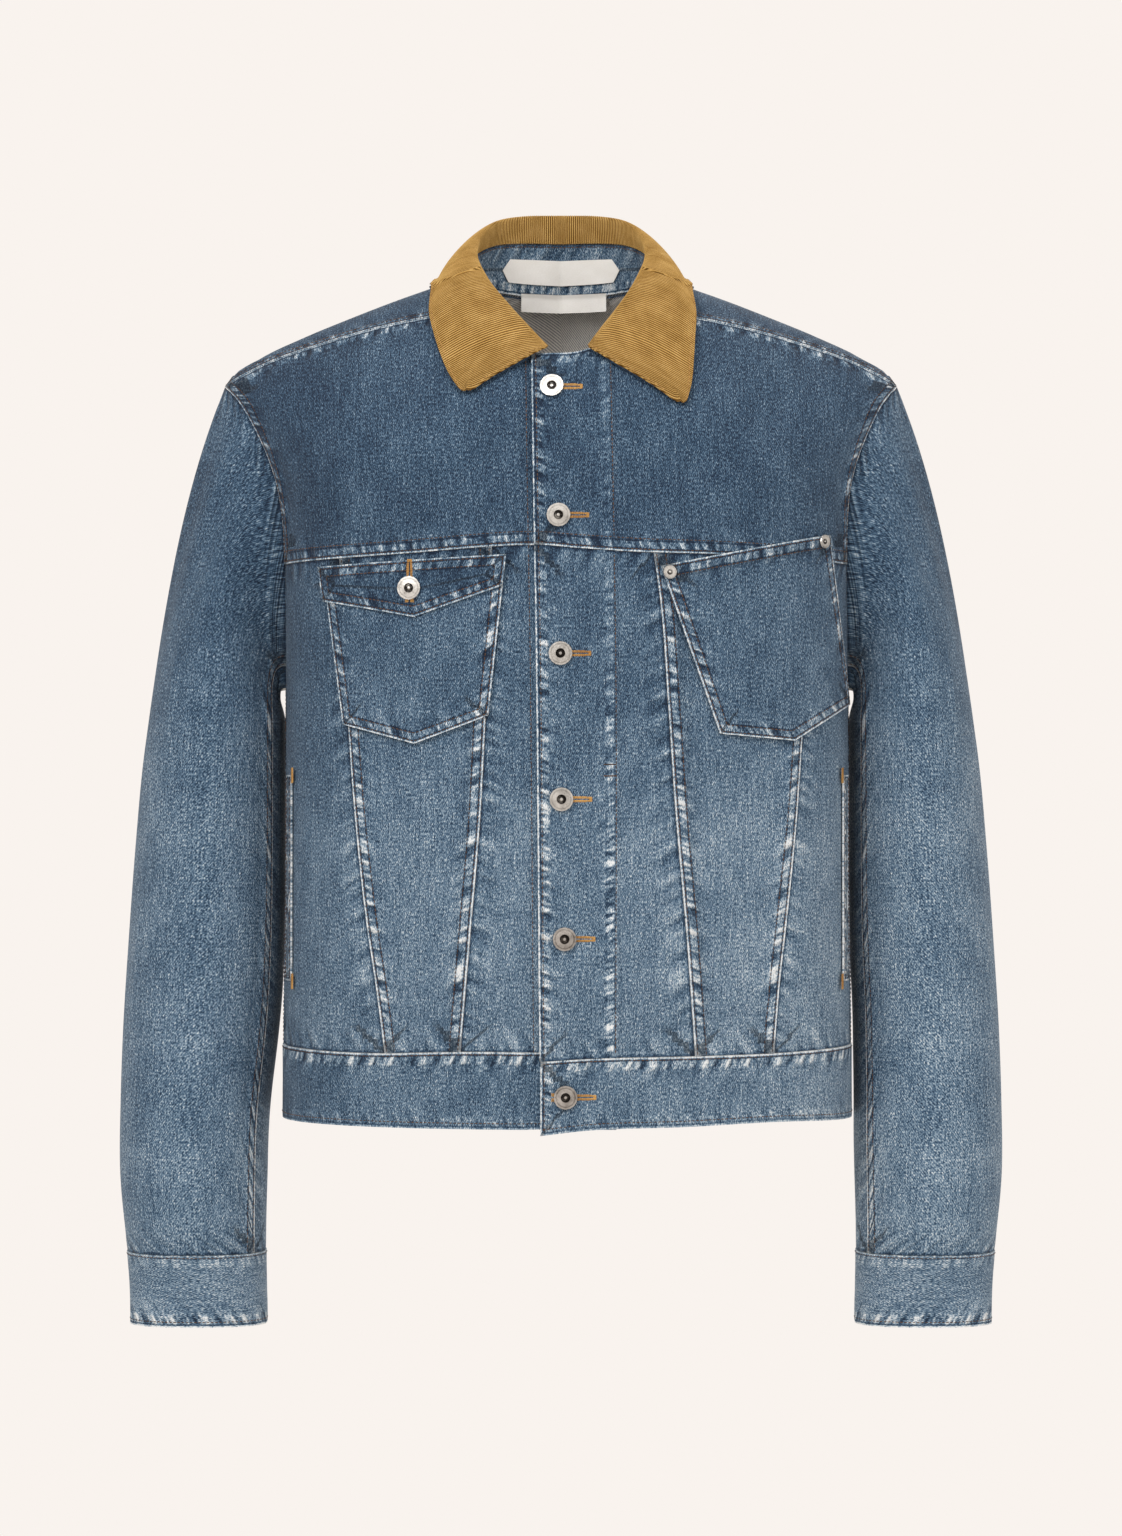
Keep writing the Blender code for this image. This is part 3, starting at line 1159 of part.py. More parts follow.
def buttons():
    for count, (x, z) in enumerate(FRONT_BUTTONS, 1):
        over = BAND_RISE if count == len(FRONT_BUTTONS) else LAP_RISE
        point, out = on_front(x, z, over + GAP)
        turned_piece(f"front_button_{count}", BUTTON_PROFILE, BUTTON_RADIUS, BUTTON_SIDES, point, out)
    point, out = on_front(*FLAP_BUTTON, FLAP_LIFT + GAP)
    turned_piece("flap_button", BUTTON_PROFILE, BUTTON_RADIUS, BUTTON_SIDES, point, out)
    for count, (x, z) in enumerate(RIVETS, 1):
        point, out = on_front(x, z, POCKET_LIFT + FELL_RISE + RIVET_LIFT)
        turned_piece(f"pocket_rivet_{count}", RIVET_PROFILE, RIVET_RADIUS, RIVET_SIDES, point, out)
    turn = CUFF_TURN + CUFF_BUTTON_TURN
    level = (CUFF_TOP_Z + CUFF_END_Z) / 2
    for side, word in ((-1, "right"), (1, "left")):
        point, out = cuff_surface(side, np.float64(turn), np.float64(level))
        turned_piece("cuff_button_" + word, BUTTON_PROFILE, BUTTON_RADIUS, BUTTON_SIDES,
                     point + out * (CUFF_RISE + CUFF_BUTTON_LIFT), out)


def labels():
    size = UPPER_LABEL
    along, up = np.meshgrid(np.linspace(-1, 1, 9), np.linspace(0, 1, 3))
    reach = size["half_width"] - size["point"] * np.abs(2 * up - 1)
    turn = along * reach / STAND_PER_TURN
    rise = size["low"] + (size["high"] - size["low"]) * up
    points, step = collar(turn, rise), 0.006
    out = unit(np.cross(collar(turn + step, rise) - points, collar(turn, rise + step) - points))
    cloth("label_upper", points, out, LABEL_WALL + LABEL_OFF, LABEL_OFF, material="label")
    size = LOWER_LABEL
    x, z = np.meshgrid(size["middle"] + size["half_width"] * np.linspace(-1, 1, 7),
                       np.linspace(size["low"], size["high"], 3))
    seam_z = smooth([(row[1], row[2]) for row in NECK[:5]], np.abs(x))
    seam = torso(girth_at(x, seam_z, True), seam_z)
    y = seam[..., 1] - LABEL_IN - LABEL_SLOPE * np.maximum(z - seam_z, 0)
    out = np.broadcast_to(np.array([0.0, -1.0, 0.0]), x.shape + (3,))
    cloth("label_lower", np.stack([x, y, z], -1), out, LABEL_WALL, 0.0, material="label")


# ---------------------------------------------------------------- start
def clear_scene():
    for piece in list(bpy.data.objects):
        bpy.data.objects.remove(piece, do_unlink=True)
    for group in list(bpy.data.collections):
        bpy.data.collections.remove(group)
    for kind in (bpy.data.meshes, bpy.data.curves, bpy.data.materials):
        for block in list(kind):
            kind.remove(block)


def make_materials():
    for name, (colour, roughness, metallic) in MATERIALS.items():
        material = bpy.data.materials.new(name)
        material.use_nodes = True
        shader = material.node_tree.nodes["Principled BSDF"]
        shader.inputs["Base Color"].default_value = (*colour, 1.0)
        shader.inputs["Roughness"].default_value = roughness
        shader.inputs["Metallic"].default_value = metallic


def main():
    clear_scene()
    bpy.context.scene.collection.children.link(bpy.data.collections.new(NAME))
    make_materials()
    fronts()
    back_yoke()
    back_panel()
    waistband()
    sleeves()
    cuffs()
    collars()
    pockets()
    buttons()
    labels()


main()
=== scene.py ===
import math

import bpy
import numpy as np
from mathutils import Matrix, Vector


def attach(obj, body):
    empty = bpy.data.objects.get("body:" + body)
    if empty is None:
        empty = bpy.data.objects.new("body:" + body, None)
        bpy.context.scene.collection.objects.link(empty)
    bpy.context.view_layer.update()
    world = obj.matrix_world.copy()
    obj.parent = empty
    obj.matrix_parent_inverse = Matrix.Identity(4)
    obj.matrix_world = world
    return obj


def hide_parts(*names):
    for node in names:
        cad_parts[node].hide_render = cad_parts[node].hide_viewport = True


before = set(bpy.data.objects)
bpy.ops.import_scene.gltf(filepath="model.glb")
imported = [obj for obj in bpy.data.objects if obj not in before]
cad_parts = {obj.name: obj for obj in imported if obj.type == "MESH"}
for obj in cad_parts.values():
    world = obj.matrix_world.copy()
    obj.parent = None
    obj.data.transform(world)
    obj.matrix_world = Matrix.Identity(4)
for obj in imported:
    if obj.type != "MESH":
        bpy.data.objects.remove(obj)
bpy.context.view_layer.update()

# A cropped denim jacket with a corduroy collar, hollow, as if worn by nobody.
#
# Metres, +Z up, front to -Y, +X is the wearer's left. Each cut piece is a thin closed shell on the
# same surfaces as its plain solid, with a denser grid, its creases, felled seams and wear, and with
# painted shade in its seams' grooves and beside overlapping edges. Rows of stitches, buttonholes and
# bar tacks are real thread, laid along the shells' own edges.

# ---------------------------------------------------------------- driving sizes
CLOTH = 0.0015          # denim wall
DOUBLED = 0.0022        # wall of a doubled piece, such as the waistband
GAP = 0.0003            # between two pieces at a seam
FELL = 0.0095           # width of a felled seam
FELL_RISE = 0.0007      # how far a felled seam stands proud
STEP = 0.0006           # run of the step at a felled seam's edge
LAP_SINK = 0.0020       # the right front sinks this much below the left one
YOKE_SINK = 0.0010      # and this much more at the rounder yoke
LAP_RISE = 0.0007       # the left front's doubled edge stands proud this much
MM = 0.001
SIDES = ((-1, "right"), (1, "left"))
EPS = 0.0005            # step for working out a surface's direction
TURN_STEP = 0.004       # the same round a sleeve, in turns, and down it
COLLAR_STEP = 0.006     # the same on the collar
HALF_WIDTH = 0.2035     # half the body's width, where the girth is measured

ARMPIT_Z = -0.285
SHOULDER_TIP_Z = -0.065
ARM_MIDDLE, ARM_HALF = (ARMPIT_Z + SHOULDER_TIP_Z) / 2, (SHOULDER_TIP_Z - ARMPIT_Z) / 2
SLEEVE_TOP_Z = -0.310   # first level ring of the sleeve
CUFF_TOP_Z = -0.6915
CUFF_END_Z = -0.7435

# The body's section at a height: half its width, its reach to the front and back of the middle,
# and how far its middle lies to the wearer's left. The last two rows are inside the shoulders.
TORSO = (
    (-0.600, 0.2052, 0.1175, 0.1010, 0.0045),
    (-0.543, 0.2050, 0.1190, 0.1040, 0.0045),
    (-0.500, 0.2045, 0.1225, 0.1080, 0.0045),
    (-0.420, 0.2035, 0.1250, 0.1130, 0.0045),
    (-0.330, 0.2035, 0.1255, 0.1180, 0.0045),
    (-0.240, 0.2035, 0.1230, 0.1250, 0.0040),
    (-0.200, 0.2045, 0.1205, 0.1270, 0.0035),
    (-0.170, 0.2065, 0.1190, 0.1275, 0.0030),
    (-0.137, 0.2125, 0.1165, 0.1265, 0.0020),
    (-0.100, 0.2320, 0.1120, 0.1245, 0.0010),
    (-0.065, 0.2620, 0.1080, 0.1210, 0.0000),
    (0.000, 0.3050, 0.1000, 0.1130, 0.0000),
    (0.060, 0.3300, 0.0930, 0.1040, 0.0000),
)
SECTION_POWER = 2.6     # 2 is an ellipse, more is squarer
FRONT_ROUND, FRONT_POWER = 0.120, 1.5   # how the front closes towards the shoulder ridge
BACK_ROUND, BACK_POWER = 0.100, 2.2

# The shoulder line, from the neck to the sleeve: place across and height.
RIDGE = (
    (0.000, 0.0380),
    (0.060, 0.0185),
    (0.094, 0.0065),
    (0.114, -0.0005),
    (0.153, -0.0155),
    (0.188, -0.0300),
    (0.218, -0.0445),
    (0.240, -0.0600),
    (0.2435, -0.0650),
    (0.270, -0.0900),
)

# Where the armhole's edge lies round the body at a height, in degrees from the middle of the
# front, and from the middle of the back.
ARMHOLE = (
    (-0.285, 90.0, 90.0),
    (-0.270, 87.5, 82.0),
    (-0.240, 83.5, 75.0),
    (-0.200, 79.0, 71.0),
    (-0.170, 76.0, 70.5),
    (-0.137, 73.6, 70.2),
    (-0.117, 71.0, 69.5),
    (-0.098, 68.4, 68.3),
    (-0.078, 65.0, 66.5),
    (-0.065, 65.4, 65.4),
)
ARM_ROWS_HIGH, ARM_ROWS_LOW = 28, 30      # armhole steps above and below the chest seam

# Half of the neck seam, by its angle from the middle of the back: place across and height.
NECK = (
    (0, 0.0000, 0.0070),
    (20, 0.0260, 0.0075),
    (40, 0.0490, 0.0093),
    (60, 0.0660, 0.0108),
    (76, 0.0745, 0.0117),
    (90, 0.0765, 0.0075),
    (101, 0.0715, -0.0010),
    (112, 0.0625, -0.0120),
    (125, 0.0490, -0.0265),
    (140, 0.0340, -0.0390),
    (155, 0.0190, -0.0465),
    (170, 0.0070, -0.0495),
    (180, 0.0000, -0.0500),
)
NECK_SIDE_ANGLE = 82.0                  # where the neck seam crosses the shoulder ridge
NECK_SEAM_ANGLE = 113.0                 # where the shoulder seam meets it, in front

# Seams, by the place across at each height, or the height at each place across.
FRONT_EDGE = ((-0.600, -0.0140), (-0.543, -0.0150), (-0.400, -0.0162), (-0.250, -0.0177),
              (-0.150, -0.0195), (-0.045, -0.0210))
FACING_LINE = ((-0.600, 0.0390), (-0.250, 0.0390), (-0.150, 0.0375), (-0.045, 0.0355))
V_OUTER_RIGHT = ((-0.545, -0.1187), (-0.496, -0.1250), (-0.452, -0.1316), (-0.3785, -0.1397),
                 (-0.313, -0.1447), (-0.190, -0.1515))
V_INNER_RIGHT = ((-0.545, -0.0755), (-0.452, -0.0674), (-0.3785, -0.0611), (-0.313, -0.0576),
                 (-0.190, -0.0530))
V_INNER_LEFT = ((-0.545, 0.0987), (-0.452, 0.0917), (-0.3785, 0.0850), (-0.297, 0.0794),
                (-0.225, 0.0740), (-0.190, 0.0693))
V_OUTER_LEFT = ((-0.545, 0.1450), (-0.496, 0.1487), (-0.452, 0.1537), (-0.3785, 0.1610),
                (-0.313, 0.1658), (-0.190, 0.1750))
CHEST_SEAM = ((-0.210, -0.1965), (-0.110, -0.1917), (-0.040, -0.1868), (-0.020, -0.1860),
              (0.013, -0.1885), (0.055, -0.1910), (0.100, -0.1920), (0.215, -0.1965))
SHOULDER_SEAM = ((0.055, -0.0135), (0.092, -0.0190), (0.135, -0.0270), (0.174, -0.0375),
                 (0.210, -0.0490), (0.2435, -0.0650))
BAND_TOP_RIGHT = ((-0.215, -0.5405), (-0.140, -0.5425), (-0.064, -0.5405), (0.040, -0.5425))
BAND_TOP_LEFT = ((-0.016, -0.5475), (0.013, -0.5455), (0.080, -0.5440), (0.140, -0.5430),
                 (0.215, -0.5405))
HEM_RIGHT = ((-0.215, -0.5935), (-0.100, -0.5945), (0.040, -0.5953))
HEM_LEFT = ((-0.016, -0.5995), (0.013, -0.5960), (0.087, -0.5933), (0.155, -0.5912),
            (0.215, -0.5935))
BACK_YOKE_Z = -0.148                    # height of the back yoke's seam

# The collar, by its angle from the middle of the back: its roll line (x, y, z), its outer edge
# (x, y, z), and how far each lies over to the wearer's left.
COLLAR = (
    (0, 0.0000, 0.0750, 0.0690, 0.0000, 0.1150, 0.0040, 0.0),
    (22, 0.0270, 0.0710, 0.0680, 0.0420, 0.1060, 0.0045, 0.0),
    (42, 0.0470, 0.0560, 0.0625, 0.0750, 0.0830, 0.0070, 0.0),
    (60, 0.0580, 0.0360, 0.0520, 0.0860, 0.0480, 0.0110, 0.0),
    (76, 0.0615, 0.0140, 0.0400, 0.0895, 0.0150, 0.0110, 0.0),
    (90, 0.0605, -0.0030, 0.0280, 0.0930, -0.0200, 0.0015, 0.05),
    (104, 0.0550, -0.0245, 0.0140, 0.0955, -0.0480, -0.0155, 0.12),
    (118, 0.0465, -0.0445, -0.0015, 0.0930, -0.0680, -0.0335, 0.25),
    (131, 0.0365, -0.0630, -0.0155, 0.0895, -0.0840, -0.0515, 0.45),
    (144, 0.0255, -0.0810, -0.0300, 0.0850, -0.0960, -0.0685, 0.70),
    (157, 0.0153, -0.0995, -0.0455, 0.0765, -0.1040, -0.0875, 1.0),
)
COLLAR_END = 157.0
ROLL_LEAN, EDGE_LEAN, TIP_DROP = 0.0050, 0.0095, 0.0045
CORDUROY, STAND_WALL, UNDER_COLLAR = 0.0016, 0.0015, 0.0010

# The sleeve's level rings, by height: how far out its outer and inner edges are, its middle's
# place to the back, and half its depth.
SLEEVE = (
    (-0.7600, 0.3120, 0.2140, -0.0080, 0.0330),
    (-0.7435, 0.3115, 0.2135, -0.0070, 0.0330),
    (-0.6950, 0.3140, 0.2145, -0.0010, 0.0420),
    (-0.6750, 0.3165, 0.2145, 0.0020, 0.0490),
    (-0.6400, 0.3203, 0.2140, 0.0080, 0.0560),
    (-0.5840, 0.3210, 0.2130, 0.0165, 0.0620),
    (-0.5400, 0.3200, 0.2105, 0.0220, 0.0655),
    (-0.4670, 0.3160, 0.2070, 0.0265, 0.0700),
    (-0.4000, 0.3110, 0.2062, 0.0265, 0.0735),
    (-0.3360, 0.3047, 0.2062, 0.0235, 0.0750),
    (-0.3100, 0.3010, 0.2062, 0.0215, 0.0750),
    (-0.2800, 0.2970, 0.2062, 0.0200, 0.0745),
)
SLEEVE_POWER = 2.3
# How the sleeve leaves the armhole, from its top (0) to the armpit (1): along the body's
# surface, out of it, and down.
HEAD = ((0.0, 0.55, 0.00, 0.95), (0.25, 0.52, 0.42, 0.78), (0.5, 0.40, 1.15, 0.20),
        (0.75, 0.30, 1.1, 0.05), (1.0, 0.25, 1.0, 0.0))
HEAD_ROWS, ARM_ROWS = 26, 100
SLEEVE_GAP = 0.0006                     # at the armhole
FRONT_SEAM_STEP, BACK_SEAM_STEP = 46, 40  # armhole steps from the shoulder tip to a sleeve seam
SEAM_TURN = 0.0011                      # half the gap at a sleeve's seam, in turns
STRIP_TURN, STRIP_STEP = 0.055, 0.005   # width of a sleeve's felled strip and of its step, in turns
STRIP_CLEAR = 0.075                     # no other line of points is nearer the seam than this
CUFF_WALL, CUFF_RISE = 0.0020, 0.0006
CUFF_SINK = 0.0027                      # the cuff's inner end lies this much below its outer end
CUFF_START, CUFF_LAP, CUFF_FINISH = -0.015, 0.085, 2.055  # turns from the cuff's opening
SLEEVE_PER_TURN = 0.145                 # metres round the sleeve for one turn

# Soft folds: girth, height of the middle, half length, half width, lean from upright in degrees,
# and how far the fold stands out.
BODY_FOLDS = (
    (-0.165, -0.450, 0.100, 0.026, 8.0, 0.0030),
    (0.060, -0.440, 0.095, 0.024, -6.0, 0.0026),
    (0.170, -0.430, 0.110, 0.026, -9.0, 0.0030),
    (-0.095, -0.130, 0.060, 0.030, 24.0, 0.0022),
    (0.120, -0.130, 0.060, 0.030, -26.0, 0.0022),
    (-0.390, -0.330, 0.150, 0.034, 10.0, 0.0045),
    (0.400, -0.350, 0.150, 0.034, -12.0, 0.0045),
    (-0.500, -0.420, 0.120, 0.030, 5.0, 0.0035),
    (0.480, -0.300, 0.110, 0.030, -4.0, 0.0035),
)
# The same on a sleeve, with turns for the girth and the half width. Here a lean is a share of the
# half width over the half length.
SLEEVE_FOLDS = (
    (0.45, -0.300, 0.075, 0.11, 0.5, 0.0030),
    (0.30, -0.450, 0.120, 0.10, -0.6, 0.0030),
    (0.62, -0.530, 0.090, 0.09, 0.8, -0.0028),
    (1.55, -0.430, 0.090, 0.12, -0.5, -0.0040),
    (1.40, -0.490, 0.080, 0.10, -0.45, 0.0040),
    (1.70, -0.300, 0.090, 0.13, 0.4, 0.0035),
    (1.80, -0.600, 0.080, 0.12, 0.6, 0.0030),
)

# Finer creases of the same kind, uneven as they fall, on the front, the sides and the back.
BODY_CREASES = (
    (-0.205, -0.400, 0.070, 0.0090, 13.0, 0.0013),
    (-0.182, -0.505, 0.040, 0.0070, 21.0, 0.0010),
    (-0.118, -0.470, 0.055, 0.0080, -9.0, -0.0009),
    (-0.098, -0.395, 0.035, 0.0060, 14.0, 0.0007),
    (-0.041, -0.420, 0.060, 0.0075, 5.0, -0.0008),
    (-0.145, -0.112, 0.040, 0.0085, 38.0, 0.0011),
    (-0.120, -0.165, 0.030, 0.0070, 25.0, -0.0008),
    (-0.060, -0.120, 0.035, 0.0080, 16.0, 0.0006),
    (0.072, -0.500, 0.038, 0.0065, -12.0, 0.0009),
    (0.118, -0.385, 0.050, 0.0080, -7.0, -0.0009),
    (0.150, -0.520, 0.030, 0.0065, -24.0, 0.0010),
    (0.215, -0.440, 0.080, 0.0095, -10.0, 0.0012),
    (0.090, -0.105, 0.038, 0.0080, -22.0, 0.0008),
    (0.160, -0.140, 0.042, 0.0085, -36.0, 0.0011),
    (-0.420, -0.480, 0.060, 0.0090, 12.0, 0.0013),
    (-0.455, -0.250, 0.070, 0.0100, -8.0, -0.0011),
    (-0.505, -0.360, 0.050, 0.0080, 6.0, 0.0009),
    (0.385, -0.220, 0.055, 0.0095, 10.0, 0.0012),
    (0.430, -0.465, 0.075, 0.0090, -15.0, 0.0013),
    (0.470, -0.390, 0.045, 0.0080, 9.0, -0.0010),
)
SLEEVE_CREASES = (
    (0.18, -0.250, 0.050, 0.040, 0.9, 0.0012),
    (0.36, -0.345, 0.060, 0.035, -0.7, 0.0011),
    (0.52, -0.410, 0.045, 0.030, 1.1, -0.0012),
    (0.26, -0.560, 0.070, 0.032, 0.5, 0.0010),
    (0.44, -0.615, 0.040, 0.028, -0.9, 0.0012),
    (0.12, -0.640, 0.035, 0.030, 0.8, -0.0009),
    (1.42, -0.540, 0.045, 0.034, -1.0, 0.0013),
    (1.58, -0.380, 0.050, 0.032, 1.2, -0.0012),
    (1.66, -0.500, 0.060, 0.036, -0.8, 0.0012),
    (1.86, -0.300, 0.055, 0.034, 0.7, 0.0011),
    (1.76, -0.650, 0.035, 0.030, -0.6, 0.0010),
    (2.20, -0.480, 0.060, 0.034, 0.6, 0.0010),
    (2.30, -0.280, 0.055, 0.032, -0.8, 0.0011),
)
PUCKER_WAVES = ((0.0093, 61.0, 1.7, 0.6), (0.0147, 37.0, 2.1, 0.4))  # length, drift, its size, share
PUCKER_HEIGHT, PUCKER_REACH = 0.00042, 0.011

# Patches sewn on the front, by their corners (across, height).
POCKET_LIFT, FLAP_LIFT = 0.0033, 0.0054
CHEST_POCKET = {
    "top": ((-0.1660, -0.2060), (-0.0385, -0.1960)),
    "bottom": ((-0.1518, -0.3115), (-0.1020, -0.3250), (-0.0506, -0.3055)),
}
CHEST_FLAP = {
    "top": ((-0.1687, -0.2000), (-0.0380, -0.1930)),
    "bottom": ((-0.1652, -0.2245), (-0.1020, -0.2366), (-0.0408, -0.2150)),
}
SLANT_POCKET = {
    "top": ((0.0696, -0.2010), (0.1885, -0.1765)),
    "bottom": ((0.1106, -0.3180), (0.1630, -0.3228), (0.2045, -0.2965)),
}
WELT_INNER, WELT_WIDTH, WELT_LIFT, WELT_WALL = 0.1955, 0.0130, 0.0022, 0.0012
WELT_TOP, WELT_BOTTOM = -0.347, -0.494

# The buttons' places on the front (across, height), for their buttonholes.
FRONT_BUTTONS = ((-0.0063, -0.0745), (-0.0018, -0.1652), (-0.0004, -0.2620),
                 (0.0003, -0.3638), (0.0025, -0.4613), (0.0032, -0.5722))
FLAP_BUTTON = (-0.1047, -0.2165)

# Two blank labels at the back of the neck: half width and how far up each reaches.
LABEL_WALL, LABEL_OFF = 0.0005, 0.0009
LABEL_IN, LABEL_SLOPE = 0.0025, 0.50    # how the lower one stands off the back of the neck
STAND_PER_TURN = 0.1800                # metres along the stand's back for one turn of the collar
UPPER_LABEL = {"half_width": 0.0420, "point": 0.0055, "low": -0.885, "high": -0.66}
LOWER_LABEL = {"middle": 0.0020, "half_width": 0.0315, "low": -0.0030, "high": 0.0104}


# ---------------------------------------------------------------- curves
def smooth(rows, at, column=1):
    """A table's column at any place along its first one, on a smooth curve through its rows."""
    table = np.array(rows, float)
    known, values = table[:, 0], table[:, column]
    at = np.clip(np.asarray(at, float), known[0], known[-1])
    slopes = np.gradient(values, known)
    row = np.clip(np.searchsorted(known, at) - 1, 0, len(known) - 2)
    run = known[row + 1] - known[row]
    part = (at - known[row]) / run
    back = 1 - part
    ends = values[row] * back * back * (1 + 2 * part) + values[row + 1] * part * part * (1 + 2 * back)
    return ends + run * part * back * (slopes[row] * back - slopes[row + 1] * part)


def ease(value, low, high):
    """0 at low, 1 at high, and smooth between."""
    part = np.clip((np.asarray(value, float) - low) / (high - low), 0, 1)
    return part * part * (3 - 2 * part)


def signed_power(value, power):
    return np.sign(value) * np.abs(value) ** power


def unit(vectors):
    return vectors / np.maximum(np.linalg.norm(vectors, axis=-1, keepdims=True), 1e-12)


def blend(first, last, share):
    return first + (last - first) * np.asarray(share)[..., None]


def run_along(points):
    """How far each point lies along its line, from the line's first point."""
    steps = np.linalg.norm(np.diff(points, axis=-2), axis=-1)
    return np.concatenate([np.zeros(steps.shape[:-1] + (1,)), np.cumsum(steps, axis=-1)], -1)


def picked(columns, length, places):
    """A line's columns at places along it, from its known lengths."""
    return np.stack([np.interp(places, length, column) for column in columns.T], -1)


# ---------------------------------------------------------------- the body's surface
def girth_table():
    """The angle round the section, in radians, against the length along it from the front."""
    angle = np.linspace(0, math.pi, 4001)
    depth = np.where(angle < math.pi / 2, 0.122, 0.118)
    across = HALF_WIDTH * np.abs(np.sin(angle)) ** (2 / SECTION_POWER)
    along = depth * signed_power(np.cos(angle), 2 / SECTION_POWER)
    steps = np.hypot(np.diff(across), np.diff(along))
    return angle, np.concatenate([[0], np.cumsum(steps)])


SECTION_ANGLE, SECTION_LENGTH = girth_table()
HALF_GIRTH = SECTION_LENGTH[-1]


def angle_of(girth):
    """A girth past the middle of the back carries on round the other side."""
    wrapped = np.mod(girth + HALF_GIRTH, 2 * HALF_GIRTH) - HALF_GIRTH
    return np.sign(wrapped) * np.interp(np.abs(wrapped), SECTION_LENGTH, SECTION_ANGLE)


def girth_of(angle):
    return np.sign(angle) * np.interp(np.abs(angle), SECTION_ANGLE, SECTION_LENGTH)


def girth_at(x, z, back=False):
    """Where a place across the front or back lies along the girth."""
    share = (x - smooth(TORSO, z, 4)) / smooth(TORSO, z, 1)
    angle = np.arcsin(np.clip(signed_power(share, SECTION_POWER / 2), -1, 1))
    if back:
        angle = np.where(share < 0, -math.pi - angle, math.pi - angle)
    return girth_of(angle)


SIDE_GIRTH = float(girth_of(np.float64(math.pi / 2)))


def fold_height(folds, across, along):
    """The sum of soft ridges and troughs at a place."""
    total = np.zeros(np.broadcast(across, along).shape)
    for place, level, half_length, half_width, lean, height in folds:
        tilt = math.radians(lean) if abs(lean) > 3 else lean * half_width / half_length
        down = along - level
        side = (across - place - down * math.tan(tilt)) / half_width
        total += height * np.exp(-side * side * 1.6) * np.exp(-((down / half_length) ** 2) * 1.6)
    return total


def torso(girth, z):
    """The body's outer surface."""
    girth, z = np.broadcast_arrays(np.asarray(girth, float), np.asarray(z, float))
    angle = angle_of(girth)
    across = smooth(TORSO, z, 1) * signed_power(np.sin(angle), 2 / SECTION_POWER)
    front = np.cos(angle) >= 0
    reach = np.where(front, smooth(TORSO, z, 2), smooth(TORSO, z, 3))
    depth = reach * np.abs(np.cos(angle)) ** (2 / SECTION_POWER)
    below = smooth(RIDGE, np.abs(across)) - z
    rounding = np.where(front, FRONT_ROUND, BACK_ROUND)
    power = np.where(front, FRONT_POWER, BACK_POWER)
    closed = (1 - (1 - np.clip(below / rounding, 0, 1)) ** power) ** (1 / power)
    depth = depth * closed + fold_height(BODY_FOLDS + BODY_CREASES, girth, z) * closed
    x = across + smooth(TORSO, z, 4)
    return np.stack([x, np.where(front, -depth, depth), z], -1)


def normals(surface, first, second):
    """A surface's outward direction, where the first parameter runs to the left seen from
    inside and the second runs up."""
    along = surface(first + EPS, second) - surface(first - EPS, second)
    up = surface(first, second + EPS) - surface(first, second - EPS)
    return unit(np.cross(along, up))


def torso_normals(girth, z):
    return normals(torso, girth, z)


# ---------------------------------------------------------------- seams on the body
def armhole_place(side, place, back=False):
    """The armhole's edge, from the shoulder tip (0) to the armpit (1)."""
    z = ARM_MIDDLE + ARM_HALF * np.cos(math.pi * np.asarray(place, float))
    angle = np.radians(smooth(ARMHOLE, z, 2 if back else 1))
    if back:
        angle = math.pi - angle
    return np.stack([side * girth_of(angle), z], -1)


def armhole_steps(seam_z):
    """The places of the armhole's points, with one of them at the height of a seam."""
    seam = math.acos((seam_z - ARM_MIDDLE) / ARM_HALF) / math.pi
    high = np.linspace(0, seam, ARM_ROWS_HIGH + 1)
    low = np.linspace(seam, 1, ARM_ROWS_LOW + 1)
    return np.concatenate([high, low[1:]])


FRONT_STEPS = armhole_steps(-0.1955)
BACK_STEPS = armhole_steps(BACK_YOKE_Z)


def neck_place(side, angle):
    """The neck seam at an angle from the middle of the back."""
    angle = np.asarray(angle, float)
    x, z = side * smooth(NECK, angle), smooth(NECK, angle, 2)
    front = angle > NECK_SIDE_ANGLE
    return np.stack([np.where(front, girth_at(x, z), girth_at(x, z, True)), z], -1)


def front_place(x, z):
    return np.stack([girth_at(x, z), z], -1)


# ---------------------------------------------------------------- patches and walls
def patch(left, right, bottom, top):
    """A grid of places between four seams (Coons patch). left and right run up, bottom and
    top run from left to right."""
    rows, columns = len(left), len(bottom)
    t, s = np.linspace(0, 1, rows)[:, None, None], np.linspace(0, 1, columns)[None, :, None]
    between = (1 - t) * bottom[None] + t * top[None] + (1 - s) * left[:, None] + s * right[:, None]
    corners = ((1 - s) * (1 - t) * bottom[0] + s * (1 - t) * bottom[-1]
               + (1 - s) * t * top[0] + s * t * top[-1])
    return between - corners


def corner_line(corners, count):
    """Places along straight lines through corners given as (across, height). With a count that
    the lines share evenly, each corner is one of the points."""
    corners = np.array(corners, float)
    shares = np.linspace(0, len(corners) - 1, count + 1)
    x, z = (np.interp(shares, np.arange(len(corners)), column) for column in corners.T)
    return front_place(x, z)


def strip_at_side(places, rise, width, far):
    """Adds the two lines of a raised strip's edge along a grid's left or right side, and drops
    the old lines that they would crowd."""
    if far:
        places, rise = strip_at_side(places[:, ::-1], rise[:, ::-1], width, False)
        return places[:, ::-1], rise[:, ::-1]
    length = run_along(places)
    first = 1 + int(np.sum(length[:, 1:-1].min(0) < width + 4 * STEP))
    lines, rises = [], []
    for line, lifts, at in zip(places, rise, length):
        edge = min(width, 0.6 * at[first])
        wanted = np.concatenate([[0, edge, edge + STEP], at[first:]])
        lines.append(picked(line, at, wanted))
        own = np.concatenate([[1, 1, 0], np.zeros(len(at) - first)])
        rises.append(np.maximum(np.interp(wanted, at, lifts), own))
    return np.array(lines), np.array(rises)


